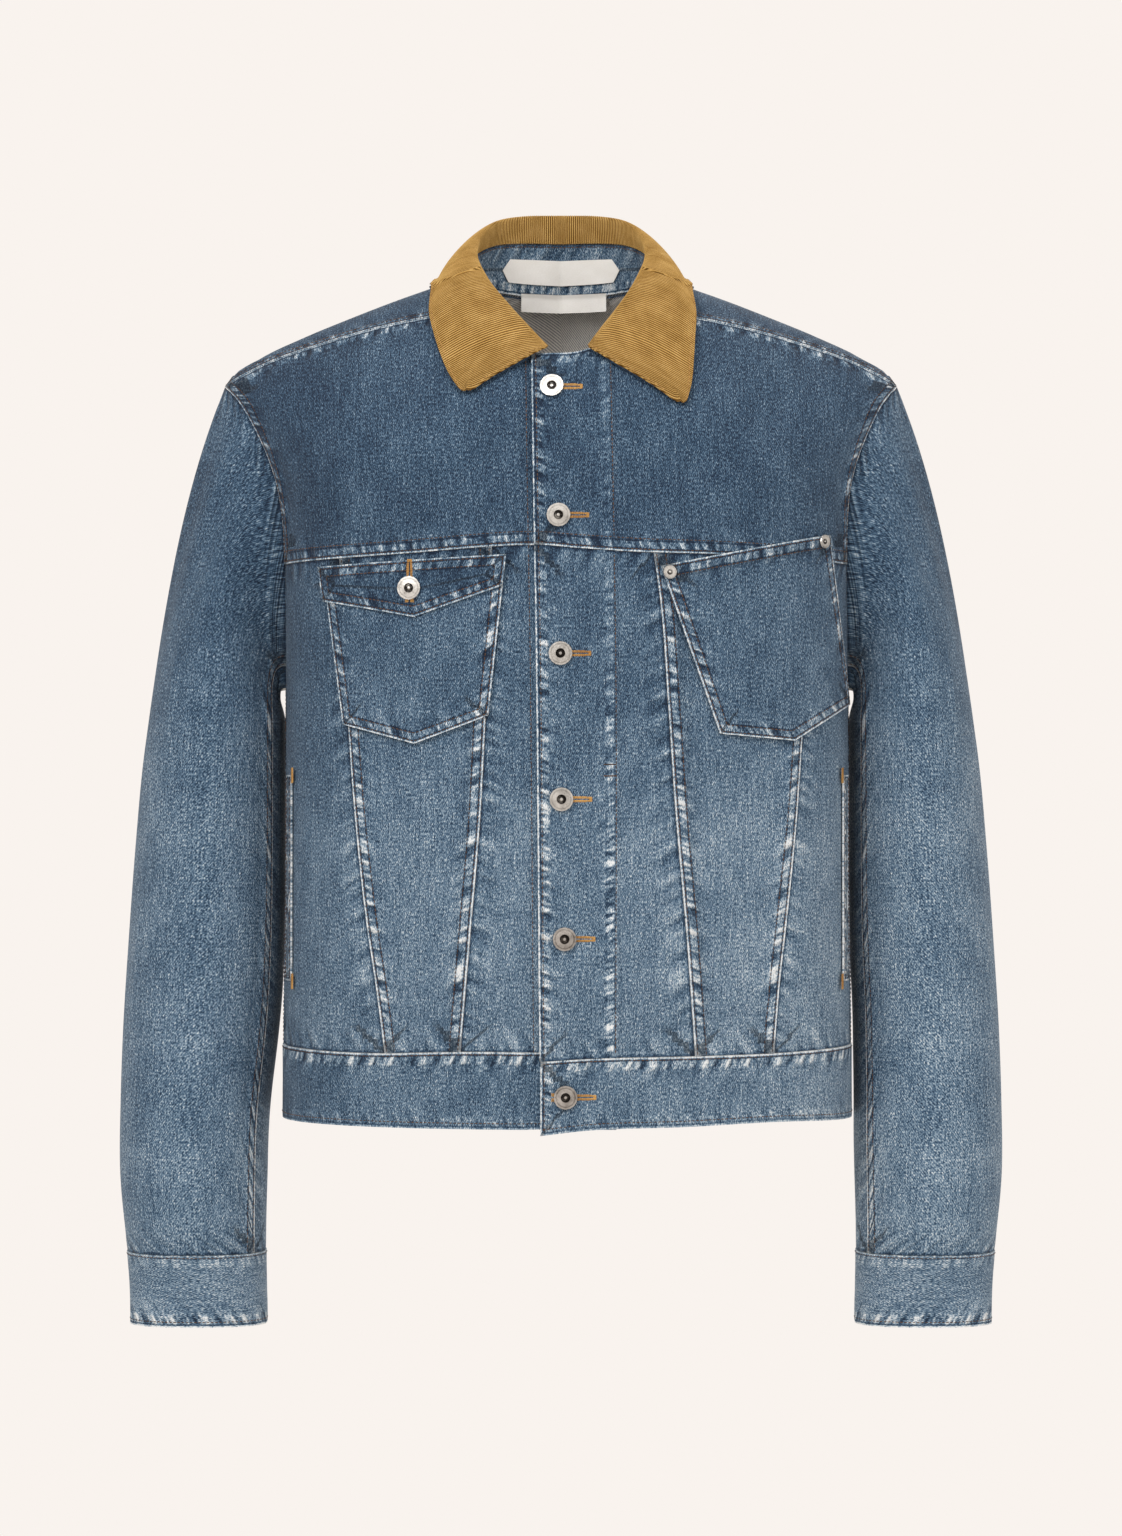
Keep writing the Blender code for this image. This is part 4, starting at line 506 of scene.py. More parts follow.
def strips(places, left=0.0, right=0.0, bottom=0.0, top=0.0):
    """A grid with the lines of a raised strip along each side that has one, and the share of
    the strip's rise at each point. A side's value is its strip's width."""
    rise = np.zeros(places.shape[:2])
    for width, far in ((left, False), (right, True)):
        if width:
            places, rise = strip_at_side(places, rise, width, far)
    for width, far in ((bottom, False), (top, True)):
        if width:
            turned, turned_rise = strip_at_side(np.swapaxes(places, 0, 1), rise.T, width, far)
            places, rise = np.swapaxes(turned, 0, 1), turned_rise.T
    return places, rise


def drawn_in(points, gaps):
    """Moves a grid's outer lines in by the seam gaps (left, right, bottom, top)."""
    points = points.copy()
    lines = ((np.s_[:, 0], np.s_[:, 1]), (np.s_[:, -1], np.s_[:, -2]),
             (np.s_[0], np.s_[1]), (np.s_[-1], np.s_[-2]))
    for gap, (edge, inner) in zip(gaps, lines):
        if gap:
            points[edge] += unit(points[inner] - points[edge]) * gap
    return points


SHELLS = {}                             # each cloth piece's outer points and directions


def side_distances(outer):
    """How far each point is from the grid's left, right, bottom and top edges, along the cloth."""
    left, bottom = run_along(outer), run_along(np.swapaxes(outer, 0, 1)).T
    return left, left[:, -1:] - left, bottom, bottom[-1:] - bottom


def seam_data(outer, edges):
    """For each point, how far off the nearest sewn edge is and how far along it the point lies,
    with what kind of edge it is. An edge's letter is f for a felled strip, e for a folded edge,
    h for a plain hem, u where the next piece's edge lies over this one, and - for none."""
    away = side_distances(outer)
    along = (away[2], away[2] + 3.1, away[0] + 5.3, away[0] + 7.7)
    far = [np.where(letter == "-", 1.0, distance) for letter, distance in zip(edges, away)]
    nearest = np.argmin(far, axis=0)
    seam = np.stack([np.choose(nearest, far), np.choose(nearest, along), nearest], -1)
    shares = {letter: {letter: 1.0} for letter in "feu-"} | {"h": {"e": 0.45}}
    kinds = np.stack([np.choose(nearest, [shares[letter].get(kind, 0.0) for letter in edges])
                      for kind in "feu"] + [np.ones(nearest.shape)], -1)
    return seam, kinds


def puckers(seam, kinds):
    """How far the cloth beside a sewn edge stands in or out, from its seam data."""
    away, along, which = np.moveaxis(seam, -1, 0)
    wave = sum(share * np.sin(2 * math.pi * along / length + size * np.sin(along * drift + which))
               for length, drift, size, share in PUCKER_WAVES)
    sewn = np.clip(kinds[..., :3].sum(-1), 0, 1)
    return PUCKER_HEIGHT * wave * sewn * ease(away, 0.0, 0.004) * np.exp(-away / PUCKER_REACH)


def mesh_piece(name, points, faces, materials, smooth_to=50):
    mesh = bpy.data.meshes.new(name)
    mesh.from_pydata(points, [], faces)
    piece = bpy.data.objects.new(name, mesh)
    bpy.context.scene.collection.objects.link(piece)
    for material in materials:
        mesh.materials.append(bpy.data.materials[material])
    mesh.shade_smooth()
    mesh.set_sharp_from_angle(angle=math.radians(smooth_to))
    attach(piece, "root")
    return piece


def shell(name, outer, inner, out, weave=None, edges="----", material="washed denim", fade=0.0, extra=None):
    """A closed wall between two grids, with what its material needs to know at each point."""
    seam, kinds = seam_data(outer, edges)
    if "denim" in material:
        wave = out * puckers(seam, kinds)[..., None]
        outer, inner = outer + wave, inner + wave
    rows, columns = outer.shape[:2]
    grid = np.arange(rows * columns).reshape(rows, columns)
    corners = grid[:-1, :-1], grid[:-1, 1:], grid[1:, 1:], grid[1:, :-1]
    front = np.stack(corners, -1).reshape(-1, 4)
    back = front[:, ::-1] + grid.size
    border = np.concatenate([grid[0], grid[1:, -1], grid[-1, -2::-1], grid[-2:0:-1, 0]])
    after = np.roll(border, -1)
    rim = np.stack([after, border, border + grid.size, after + grid.size], -1)
    faces = np.concatenate([front, back, rim])
    flat = outer.reshape(-1, 3)
    facing = np.cross(flat[front[:, 1]] - flat[front[:, 0]], flat[front[:, 3]] - flat[front[:, 0]])
    if np.sum(facing * out.reshape(-1, 3)[front[:, 0]]) < 0:
        faces = faces[:, ::-1]
    inside = REVERSE.get(material, material)
    piece = mesh_piece(name + "_cloth", np.concatenate([flat, inner.reshape(-1, 3)]), faces,
                       (material, inside))
    within = np.zeros(len(faces), np.int32)
    within[len(front):2 * len(front)] = 1
    piece.data.polygons.foreach_set("material_index", within)
    if weave is None:
        away = side_distances(outer)
        weave = np.stack([away[0] - away[0][:, -1:] / 2, away[2]], -1)
    facing = np.ones(outer.shape[:2])
    if name in ("front_yoke_left", "front_centre_left"):
        facing = outer[..., 0] - smooth(FACING_LINE, outer[..., 2])
    weave = np.concatenate([weave, np.broadcast_to(fade, weave.shape[:2])[..., None]], -1)
    values = {"cloth": ("FLOAT_VECTOR", weave), "seam": ("FLOAT_VECTOR", seam),
              "kinds": ("FLOAT_COLOR", kinds), "facing": ("FLOAT", facing)}
    if extra is not None:
        values["wale"] = ("FLOAT", extra)
    for label, (kind, grids) in values.items():
        data = np.concatenate([grids.reshape(grid.size, -1)] * 2).astype(np.float32)
        layer = piece.data.attributes.new(label, kind, "POINT")
        field = {"FLOAT": "value", "FLOAT_VECTOR": "vector", "FLOAT_COLOR": "color"}[kind]
        layer.data.foreach_set(field, data.ravel())
    SHELLS[name] = (outer, out, piece)
    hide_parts(name)
    return piece


def cloth(name, points, out, above, below, gaps=(0, 0, 0, 0), **facts):
    """A piece of cloth from a grid of points and directions, between two heights over it."""
    points = drawn_in(points, gaps)
    above, below = (np.broadcast_to(value, points.shape[:2])[..., None] for value in (above, below))
    return shell(name, points + out * above, points + out * below, out, **facts)


def panel(name, places, lift=0.0, wall=CLOTH, rise=0.0, gaps=(0, 0, 0, 0), shape=None, edges="----"):
    """A piece of cloth on the body's surface."""
    girth, z = places[..., 0], places[..., 1]
    points, out = torso(girth, z), torso_normals(girth, z)
    above, below = lift + rise * FELL_RISE, lift - wall
    if shape is not None:
        higher, lower = shape(points)
        above, below = above + higher, below + lower
    cloth(name, points, out, above, below, gaps, weave=grain(places), edges=edges,
          fade=washed(points) + DARKER.get(name, 0.0))


def grain(places):
    """Where each point lies on the flat cloth, whose grain stays upright where the body widens."""
    girth, z = places[..., 0], places[..., 1]
    middle = np.where(np.abs(girth) > SIDE_GIRTH + 0.02, np.sign(girth) * HALF_GIRTH, 0.0)
    return np.stack([middle + (girth - middle) * smooth(TORSO, z, 1) / HALF_WIDTH, z], -1)


DARKER = {"chest_flap": -0.13, "chest_pocket": -0.02, "slant_pocket": 0.0, "waistband_right": -0.07,
          "waistband_left": -0.03}


def washed(points):
    """How much paler or darker than the rest the cloth is drawn, at each point: darker up top and paler lower
    down, a little darker along the placket, with painted shade towards the wearer's right side of the front
    and the left's lower front paler.
    """
    x, y, z = np.moveaxis(points, -1, 0)
    fade = -0.21 + 0.11 * ease(-z, 0.17, 0.22) + 0.12 * ease(-z, 0.27, 0.42)
    placket = -0.02 * np.exp(-((x - 0.015) / 0.020) ** 2) * ease(-z, 0.18, 0.24)
    # Painted shade: the front is drawn darker towards the wearer's right side, where it turns from the light.
    # The left's lower front is drawn paler.
    sides = -0.10 * ease(-x, 0.130, 0.185) + 0.06 * ease(x, 0.02, 0.16) * ease(-z, 0.26, 0.42)
    return fade + np.where(y < 0, placket + sides + 0.03, 0.0)


# Darker at the top of the sleeve, paler lower down and towards the cuff, and painted light: the left sleeve
# is drawn a little paler than the right.
def sleeve_tone_and_side_light(side, z):
    return 0.025 * side - 0.135 + 0.17 * ease(-z, 0.16, 0.40) + 0.04 * ease(-z, 0.55, 0.74)


def ordered_edges(side, near_far_bottom_top):
    """The letters of a piece's edges in left-to-right order for either side."""
    near, far, bottom, top = near_far_bottom_top
    return near + far + bottom + top if side > 0 else far + near + bottom + top


# ---------------------------------------------------------------- fronts
HALF_GAP = GAP / 2
SINK_FROM, SINK_TO = -0.014, -0.003     # where the right front sinks, from the left one's edge
UNDER_LINE = 0.013                      # a line of points past that edge, near the collar's end
NECK_FRONT_Z = -0.0499                  # the left front's level neck edge
UNDER_FROM, UNDER_Z = -0.010, -0.0505   # the right front's neck edge below it
FRONT_ROWS = 140
YOKE_ROWS = 35                          # of points from the neck seam to the yoke's rim
BOTTOM_HEM = 0.0115                     # width of the chest seam's felled strip


def lap_left(points):
    """The left front is doubled, and a little proud, from its edge to the facing's stitch line."""
    doubled = 1.0 * (points[..., 0] < smooth(FACING_LINE, points[..., 2]) + STEP / 2)
    return doubled * LAP_RISE, np.zeros_like(doubled)


def under_lap(points):
    """1 where a right piece has sunk below the left one, 0 before the left one's edge."""
    edge = smooth(FRONT_EDGE, points[..., 2])
    return ease(points[..., 0], edge + SINK_FROM, edge + SINK_TO)


def lap_right(points):
    """The right front sinks below the left one before the left one's edge."""
    sunk = -(LAP_SINK + YOKE_SINK * ease(points[..., 2], -0.200, -0.120)) * under_lap(points)
    return sunk, sunk


def ordered(places, side):
    """A grid made from the front to the side, put in left-to-right order for either side."""
    return places if side > 0 else places[:, ::-1]


def side_gaps(side, near, far, bottom=HALF_GAP, top=HALF_GAP):
    return (near, far, bottom, top) if side > 0 else (far, near, bottom, top)


def lap_lines(side):
    """The upright lines that shape the lap, from the front's own edge on: tables and offsets,
    with the count of columns up to each."""
    if side > 0:
        return ((FRONT_EDGE, 0.0, 0), (FACING_LINE, 0.0, 16), (FACING_LINE, STEP, 1))
    return ((FACING_LINE, 0.0, 0), (FRONT_EDGE, UNDER_LINE, 10), (FRONT_EDGE, SINK_TO, 5),
            (FRONT_EDGE, SINK_FROM, 4))


def band_top(side):
    return BAND_TOP_LEFT if side > 0 else BAND_TOP_RIGHT


def v_seams(side):
    return (V_INNER_LEFT, V_OUTER_LEFT) if side > 0 else (V_INNER_RIGHT, V_OUTER_RIGHT)


def upright(side, table, offset, low=None, rows=FRONT_ROWS):
    """An upright seam from the waistband to the chest seam, or above from the chest seam on."""
    z_low = float(smooth(band_top(side), smooth(table, -0.5425) + offset))
    z_high = float(smooth(CHEST_SEAM, smooth(table, -0.19) + offset))
    z = np.linspace(z_low if low is None else low, z_high, rows + 1)
    return front_place(smooth(table, z) + offset, z)


def seam_between(first, last, columns, table):
    """A level seam's places between two ends, at the heights that a table gives."""
    places = np.linspace(first, last, columns + 1)
    x = torso(places[:, 0], places[:, 1])[:, 0]
    places[1:-1] = front_place(x, smooth(table, x))[1:-1]
    return places


def between_seams(side, near, far, columns):
    """A grid between two upright seams, from the waistband to the chest seam."""
    low = seam_between(near[0], far[0], columns, band_top(side))
    high = seam_between(near[-1], far[-1], columns, CHEST_SEAM)
    return patch(near, far, low, high)


def joined(grids):
    """Grids side by side as one, without the doubled lines."""
    return np.concatenate([grids[0]] + [grid[:, 1:] for grid in grids[1:]], 1)


def neck_height(side, x):
    """The height of a front's neck edge. The left one runs level past the middle, and the part
    of the right one that lies under it is a little lower."""
    rows = [(row[1], row[2]) for row in NECK[:4:-1]]
    height = smooth(rows, np.abs(x))
    if side > 0:
        return np.where(x > 0, height, NECK_FRONT_Z)
    return np.where(x < UNDER_FROM, height, UNDER_Z)


def front_yoke(side, name):
    """From the chest seam up to the neck and the shoulder seam."""
    armhole = armhole_place(side, FRONT_STEPS[ARM_ROWS_HIGH:0:-1])
    count = len(armhole) - 1
    grids, near = [], None
    for table, offset, columns in lap_lines(side):
        x_low = float(smooth(table, -0.1875)) + offset
        x_high = float(smooth(table, -0.05)) + offset
        z = np.linspace(float(smooth(CHEST_SEAM, x_low)), float(neck_height(side, x_high)), count + 1)
        line = front_place(smooth(table, z) + offset, z)
        if near is not None:
            low = seam_between(near[0], line[0], columns, CHEST_SEAM)
            x = np.linspace(last_x, x_high, columns + 1)
            high = front_place(x, neck_height(side, x))
            grids.append(patch(near, line, low, high))
        near, last_x = line, x_high
    neck_end = float(smooth(NECK, NECK_SEAM_ANGLE))
    x = np.linspace(abs(last_x), neck_end, 14)
    neck = front_place(side * x, neck_height(side, side * x))
    neck[0] = near[-1]
    x = np.linspace(neck_end, abs(float(torso(*armhole[-1])[0])), YOKE_ROWS + 1)
    shoulder = front_place(side * x, smooth(SHOULDER_SEAM, x))
    shoulder[0], shoulder[-1] = neck[-1], armhole[-1]
    high = np.concatenate([neck, shoulder[1:]])
    low = seam_between(near[0], armhole[0], len(high) - 1, CHEST_SEAM)
    grids.append(patch(near, armhole, low, high))
    felled = {"right" if side > 0 else "left": FELL}
    places, rise = strips(ordered(joined(grids), side), bottom=BOTTOM_HEM, **felled)
    if side < 0:
        rise = rise * (1 - under_lap(torso(places[..., 0], places[..., 1])))
    panel(name, places, rise=rise, gaps=side_gaps(side, 0.0, HALF_GAP),
          shape=lap_left if side > 0 else lap_right, edges=ordered_edges(side, "effe"))


def front_centre(side, name):
    """From the front edge to the inner V seam."""
    lines = [upright(side, table, offset) for table, offset, _ in lap_lines(side)]
    counts = [columns for _, _, columns in lap_lines(side)][1:] + [14]
    lines.append(upright(side, v_seams(side)[0], -side * FELL / 2))
    grids = [between_seams(side, near, far, columns)
             for near, far, columns in zip(lines, lines[1:], counts)]
    panel(name, ordered(joined(grids), side), gaps=side_gaps(side, 0.0, HALF_GAP),
          shape=lap_left if side > 0 else lap_right, edges=ordered_edges(side, "euuu"))


def front_mid(side, name):
    """Between the V seams, with both its edges felled over its neighbours."""
    inner, outer = v_seams(side)
    near = upright(side, inner, -side * FELL / 2)
    far = upright(side, outer, side * FELL / 2)
    places, rise = strips(ordered(between_seams(side, near, far, 22), side), left=FELL, right=FELL)
    panel(name, places, rise=rise, gaps=(HALF_GAP,) * 4, edges="ffuu")


def front_side(side, name):
    """From the outer V seam to the side seam, with the armhole's lower part at its top."""
    near = upright(side, v_seams(side)[1], side * FELL / 2)
    low_z = float(smooth(band_top(side), side * 0.211))
    z = np.linspace(low_z, ARMPIT_Z, FRONT_ROWS + 1)
    far = np.stack([np.full(len(z), side * SIDE_GIRTH), z], -1)
    armhole = armhole_place(side, FRONT_STEPS[ARM_ROWS_HIGH:])
    high = np.concatenate([seam_between(near[-1], armhole[0], 8, CHEST_SEAM), armhole[1:]])
    low = seam_between(near[0], far[0], len(high) - 1, band_top(side))
    felled = {"right" if side > 0 else "left": FELL}
    places, rise = strips(ordered(patch(near, far, low, high), side), **felled)
    panel(name, places, rise=rise, gaps=(HALF_GAP,) * 4, edges=ordered_edges(side, "ufuu"))


def fronts():
    for side, word in SIDES:
        front_yoke(side, "front_yoke_" + word)
        front_centre(side, "front_centre_" + word)
        front_mid(side, "front_mid_" + word)
        front_side(side, "front_side_" + word)


# ---------------------------------------------------------------- back
BACK_COLUMNS = 36                       # of the back seam, each side of the middle
STRIP_DEPTH, STRIP_SHARE = 0.0035, 0.55  # the shoulder seam's strip, and its most of the way up
STEP_SHARE = 0.08                       # share of the way from that seam up to the ridge
RIDGE_STEPS = np.linspace(0, 1, 12)     # from the strip up to the ridge


def below_ridge(places):
    """Places as (across, depth below the shoulder ridge)."""
    points = torso(places[..., 0], places[..., 1])
    return np.stack([points[..., 0], smooth(RIDGE, np.abs(points[..., 0])) - points[..., 2]], -1)


def back_seam(side, corner):
    """The back yoke's seam, from its corner at the armhole to the middle of the back."""
    x = side * np.linspace(abs(float(torso(*corner)[0])), 0.0, BACK_COLUMNS + 1)[1:]
    level = np.full(BACK_COLUMNS, BACK_YOKE_Z)
    return np.stack([girth_at(x, level, True), level], -1)


def yoke_spokes(side):
    """Half of the back yoke: lines from the neck out, from the shoulder seam in front round to
    the middle of the back. Gives the lines as (across, depth below the ridge), and which of
    them lie in front (1), on the ridge (0) or behind (-1)."""
    share = np.linspace(0, 1, YOKE_ROWS + 1)
    front = armhole_place(side, FRONT_STEPS[1])
    near = below_ridge(neck_place(side, NECK_SEAM_ANGLE))
    far = below_ridge(front)
    seam = blend(near[None], far[None], share)
    seam[1:-1, 1] = (smooth(RIDGE, np.abs(seam[:, 0])) - smooth(SHOULDER_SEAM, np.abs(seam[:, 0])))[1:-1]
    tip_x = float(RIDGE[-2][0])
    crest = blend(np.array([[side * float(smooth(NECK, NECK_SIDE_ANGLE)), 0.0]]),
                  np.array([[side * tip_x, 0.0]]), share)
    strip = np.minimum(STRIP_SHARE, STRIP_DEPTH / np.maximum(np.abs(seam[:, 1]), 1e-5))
    lines, sides = [], [1] * (len(RIDGE_STEPS) + 1) + [0]
    beyond = [blend(strip + STEP_SHARE, 0 * share + 1, 1 - (1 - way) ** 1.6) for way in RIDGE_STEPS]
    for part in (0 * share, strip, *beyond):
        line = blend(seam, crest, part)
        angle = NECK_SEAM_ANGLE + (NECK_SIDE_ANGLE - NECK_SEAM_ANGLE) * part[0]
        neck = below_ridge(neck_place(side, max(angle, NECK_SIDE_ANGLE + 0.01)))
        neck[1] = 0.0 if part[0] == 1 else neck[1]
        line += (neck - line[0]) * ((1 - share) ** 2)[:, None]
        lines.append(line)
    arm = armhole_place(side, BACK_STEPS[1:ARM_ROWS_HIGH + 1], True)
    rim = np.concatenate([arm, back_seam(side, arm[-1])])
    angles = np.linspace(NECK_SIDE_ANGLE, 0.0, len(rim) + 1)[1:]
    for angle, end in zip(angles, rim):
        near, far = below_ridge(neck_place(side, angle)), below_ridge(end)
        lines.append(blend(near[None], far[None], share))
        sides.append(-1)
    return np.array(lines), np.array(sides)


def spoke_points(lines, sides):
    """The spokes' points, and their directions. On the ridge, the direction is the mean of
    those on either side."""
    x, z = lines[..., 0], smooth(RIDGE, np.abs(lines[..., 0])) - lines[..., 1]
    behind = (sides < 0)[:, None] & np.ones_like(x, bool)
    girth = np.where(behind, girth_at(x, z, True), girth_at(x, z))
    points, out = torso(girth, z), torso_normals(girth, z)
    for row in np.nonzero(sides == 0)[0]:
        points[row, :, 0], points[row, :, 1] = x[row], 0.0
        out[row] = unit(out[row - 1] + out[row + 1])
    return points, out


def yoke_strip(points, out):
    """The felled strip round the yoke's outer rim: two more lines of points on each spoke."""
    rows, ways, rises = [], [], []
    for line, way, at in zip(points, out, run_along(points)):
        wanted = np.concatenate([at[:-1], [at[-1] - FELL - STEP, at[-1] - FELL, at[-1]]])
        rows.append(picked(line, at, wanted))
        ways.append(unit(picked(way, at, wanted)))
        rises.append(np.concatenate([np.zeros(len(at)), [1, 1]]))
    return np.array(rows), np.array(ways), np.array(rises)


def back_yoke():
    """One piece over both shoulders, from the shoulder seams in front to the back seam."""
    halves = []
    for side in (-1, 1):
        lines, sides = yoke_spokes(side)
        points, out, rise = yoke_strip(*spoke_points(lines, sides))
        rise[:2] = 1
        halves.append((points, out, rise))
    right, left = halves
    points, out, rise = (np.concatenate([first, last[::-1][1:]]) for first, last in zip(right, left))
    below = smooth(RIDGE, np.abs(points[..., 0])) - points[..., 2]
    weave = np.stack([points[..., 0], -0.8 * (below + np.abs(points[..., 1]))], -1)
    cloth("back_yoke", points, out, rise * FELL_RISE, -CLOTH, (HALF_GAP,) * 4, weave=weave, edges="ufff",
          fade=-0.20)


def back_panel():
    """One piece from side seam to side seam, below the back yoke."""
    halves = []
    for side in (1, -1):
        arm = armhole_place(side, BACK_STEPS[ARM_ROWS_HIGH:], True)
        half = np.concatenate([arm[::-1], back_seam(side, arm[0])])
        half[:, 0] = np.mod(half[:, 0], 2 * HALF_GIRTH)
        halves.append(half)
    high = np.concatenate([halves[0], halves[1][::-1][1:]])
    ends = SIDE_GIRTH, 2 * HALF_GIRTH - SIDE_GIRTH
    z = np.linspace(BAND_TOP_BACK, ARMPIT_Z, FRONT_ROWS + 1)
    left, right = (np.stack([np.full(len(z), end), z], -1) for end in ends)
    low = np.linspace(left[0], right[0], len(high))
    panel("back_panel", patch(left, right, low, high), gaps=(HALF_GAP,) * 4, edges="uuuu")


# ---------------------------------------------------------------- waistband
BAND_RISE, BAND_SINK = 0.0010, 0.0032
BAND_TOP_BACK, HEM_BACK = -0.5405, -0.5935
BAND_HIDDEN_X = 0.039                   # where the right band ends, under the left one


def band_lap_right(points):
    sunk = -BAND_SINK * under_lap(points)
    return sunk, sunk


def band_piece(name, lines, counts, tables, shape=None, edges="--he"):
    """A length of waistband, through level places along the girth."""
    girths = np.concatenate([[lines[0]]] + [np.linspace(first, last, count + 1)[1:]
                             for first, last, count in zip(lines, lines[1:], counts)])
    top, hem = tables
    grid = []
    for share in np.linspace(0, 1, 15):
        z = np.full(len(girths), -0.57)
        for _ in range(3):
            x = torso(girths, z)[..., 0]
            z = smooth(hem, x) + (smooth(top, x) - smooth(hem, x)) * share
        grid.append(np.stack([girths, z], -1))
    gaps = (HALF_GAP, HALF_GAP, 0.0, HALF_GAP)
    panel(name, np.array(grid), lift=BAND_RISE, wall=DOUBLED, gaps=gaps, shape=shape, edges=edges)


def waistband():
    level = np.float64(-0.570)
    edge_x = float(smooth(FRONT_EDGE, level))
    hidden, edge = float(girth_at(BAND_HIDDEN_X, level)), float(girth_at(edge_x, level))
    sink_to, sink_from = (float(girth_at(edge_x + way, level)) for way in (SINK_TO, SINK_FROM))
    band_piece("waistband_right", (-SIDE_GIRTH, sink_from, sink_to, hidden), (110, 5, 16),
               (BAND_TOP_RIGHT, HEM_RIGHT), band_lap_right)
    band_piece("waistband_left", (edge, SIDE_GIRTH), (130,), (BAND_TOP_LEFT, HEM_LEFT), edges="e-he")
    back = tuple(((-0.25, z), (0.25, z)) for z in (BAND_TOP_BACK, HEM_BACK))
    band_piece("waistband_back", (SIDE_GIRTH, 2 * HALF_GIRTH - SIDE_GIRTH), (190,), back)


# ---------------------------------------------------------------- sleeves
def sleeve_ring(side, turn, z):
    """A level section of the sleeve. turn is 0 on the outside, 0.5 in front, 1 by the body."""
    angle = math.pi * np.asarray(turn, float)
    shift = smooth(TORSO, z, 4) * ease(z, -0.62, -0.50)
    outer = side * smooth(SLEEVE, z, 1)
    inner = side * smooth(SLEEVE, z, 2) + shift
    middle, half = (outer + inner) / 2, (outer - inner) / 2
    x = middle + half * signed_power(np.cos(angle), 2 / SLEEVE_POWER)
    y = smooth(SLEEVE, z, 3) - smooth(SLEEVE, z, 4) * signed_power(np.sin(angle), 2 / SLEEVE_POWER)
    return np.stack(np.broadcast_arrays(x, y, z), -1)


def armhole_points(side, turn):
    """The armhole's edge, its direction out of the body, and the way across its seam."""
    turn = np.mod(np.asarray(turn, float), 2.0)
    place = np.where(turn <= 1, turn, 2 - turn)
    behind = (turn > 1)[..., None]
    places = np.where(behind, armhole_place(side, place, True), armhole_place(side, place))
    points, out = torso(places[..., 0], places[..., 1]), torso_normals(places[..., 0], places[..., 1])
    points[..., 1] = np.where(place <= 1e-6, 0.0, points[..., 1])
    crown = np.array([side * 0.45, 0.0, 0.89])
    out = unit(blend(crown, out, ease(place, 0.0, 0.12)))
    return points, out, place


def armhole_rim(side, turn):
    points, out, place = armhole_points(side, turn)
    along = armhole_points(side, turn + TURN_STEP)[0] - armhole_points(side, turn - TURN_STEP)[0]
    across = unit(np.cross(out, along)) * side
    return points + across * SLEEVE_GAP, out, across, place


def sleeve(side, turn, row):
    """The sleeve's outer surface. row is 0 at the armhole, 1 at the first level ring, and past
    it the metres below that ring."""
    turn, row = np.broadcast_arrays(np.asarray(turn, float), np.asarray(row, float))
    start, out, across, place = armhole_rim(side, turn)
    down = np.broadcast_to(np.array([0.0, 0.0, -1.0]), start.shape)
    way = unit(across * smooth(HEAD, place, 1)[..., None] + out * smooth(HEAD, place, 2)[..., None]
               + down * smooth(HEAD, place, 3)[..., None])
    top = np.full(turn.shape, SLEEVE_TOP_Z)
    end = sleeve_ring(side, turn, top)
    run = np.linalg.norm(end - start, axis=-1, keepdims=True)
    onward = unit(sleeve_ring(side, turn, top - 0.01) - end) * run
    way = way * run
    part = np.clip(row, 0, 1)[..., None]
    back = 1 - part
    head = (start * back * back * (1 + 2 * part) + end * part * part * (1 + 2 * back)
            + part * back * (way * back - onward * part))
    arm = sleeve_ring(side, turn, SLEEVE_TOP_Z - np.maximum(row - 1, 0))
    return np.where((row <= 1)[..., None], head, arm)


def sleeve_normals(side, turn, row):
    low = np.where(row < 1, np.maximum(row - TURN_STEP, 0.0), row - TURN_STEP)
    along = sleeve(side, turn + TURN_STEP, row) - sleeve(side, turn - TURN_STEP, row)
    down = sleeve(side, turn, row + TURN_STEP) - sleeve(side, turn, low)
    return unit(np.cross(along, down)) * side


def sleeve_folds(turn, z):
    return fold_height(SLEEVE_FOLDS + SLEEVE_CREASES, turn, z)


def sleeve_wall(side, turns, rows):
    """A grid of the sleeve's points with its outward and inward directions. At the armhole the
    wall's end turns to lie along the body's own wall."""
    turn, row = np.meshgrid(turns, rows)
    points, out = sleeve(side, turn, row), sleeve_normals(side, turn, row)
    raise_by = sleeve_folds(turn, points[..., 2]) * ease(row, 0.3, 1.0)
    fade = 1 - ease(-points[..., 2], -CUFF_TOP_Z - 0.05, -CUFF_TOP_Z)
    points = points + out * (raise_by * fade)[..., None]
    inward = -out
    if rows[0] == 0:
        _, body_out, across, _ = armhole_rim(side, turns)
        away = np.clip(np.sum(unit(points[1] - points[0]) * body_out, -1), 0, 1)
        inward[0] = unit(blend(-body_out, across, away))
        out[0] = -inward[0]
    return points, out, inward


def sleeve_rows():
    arm = np.linspace(0, SLEEVE_TOP_Z - CUFF_TOP_Z, ARM_ROWS + 1)[1:]
    return np.concatenate([np.linspace(0, 1, HEAD_ROWS + 1), 1 + arm])


def arm_turns():
    """The turns of the armhole's points, all round."""
    return np.concatenate([FRONT_STEPS, 2 - BACK_STEPS[-2::-1]])


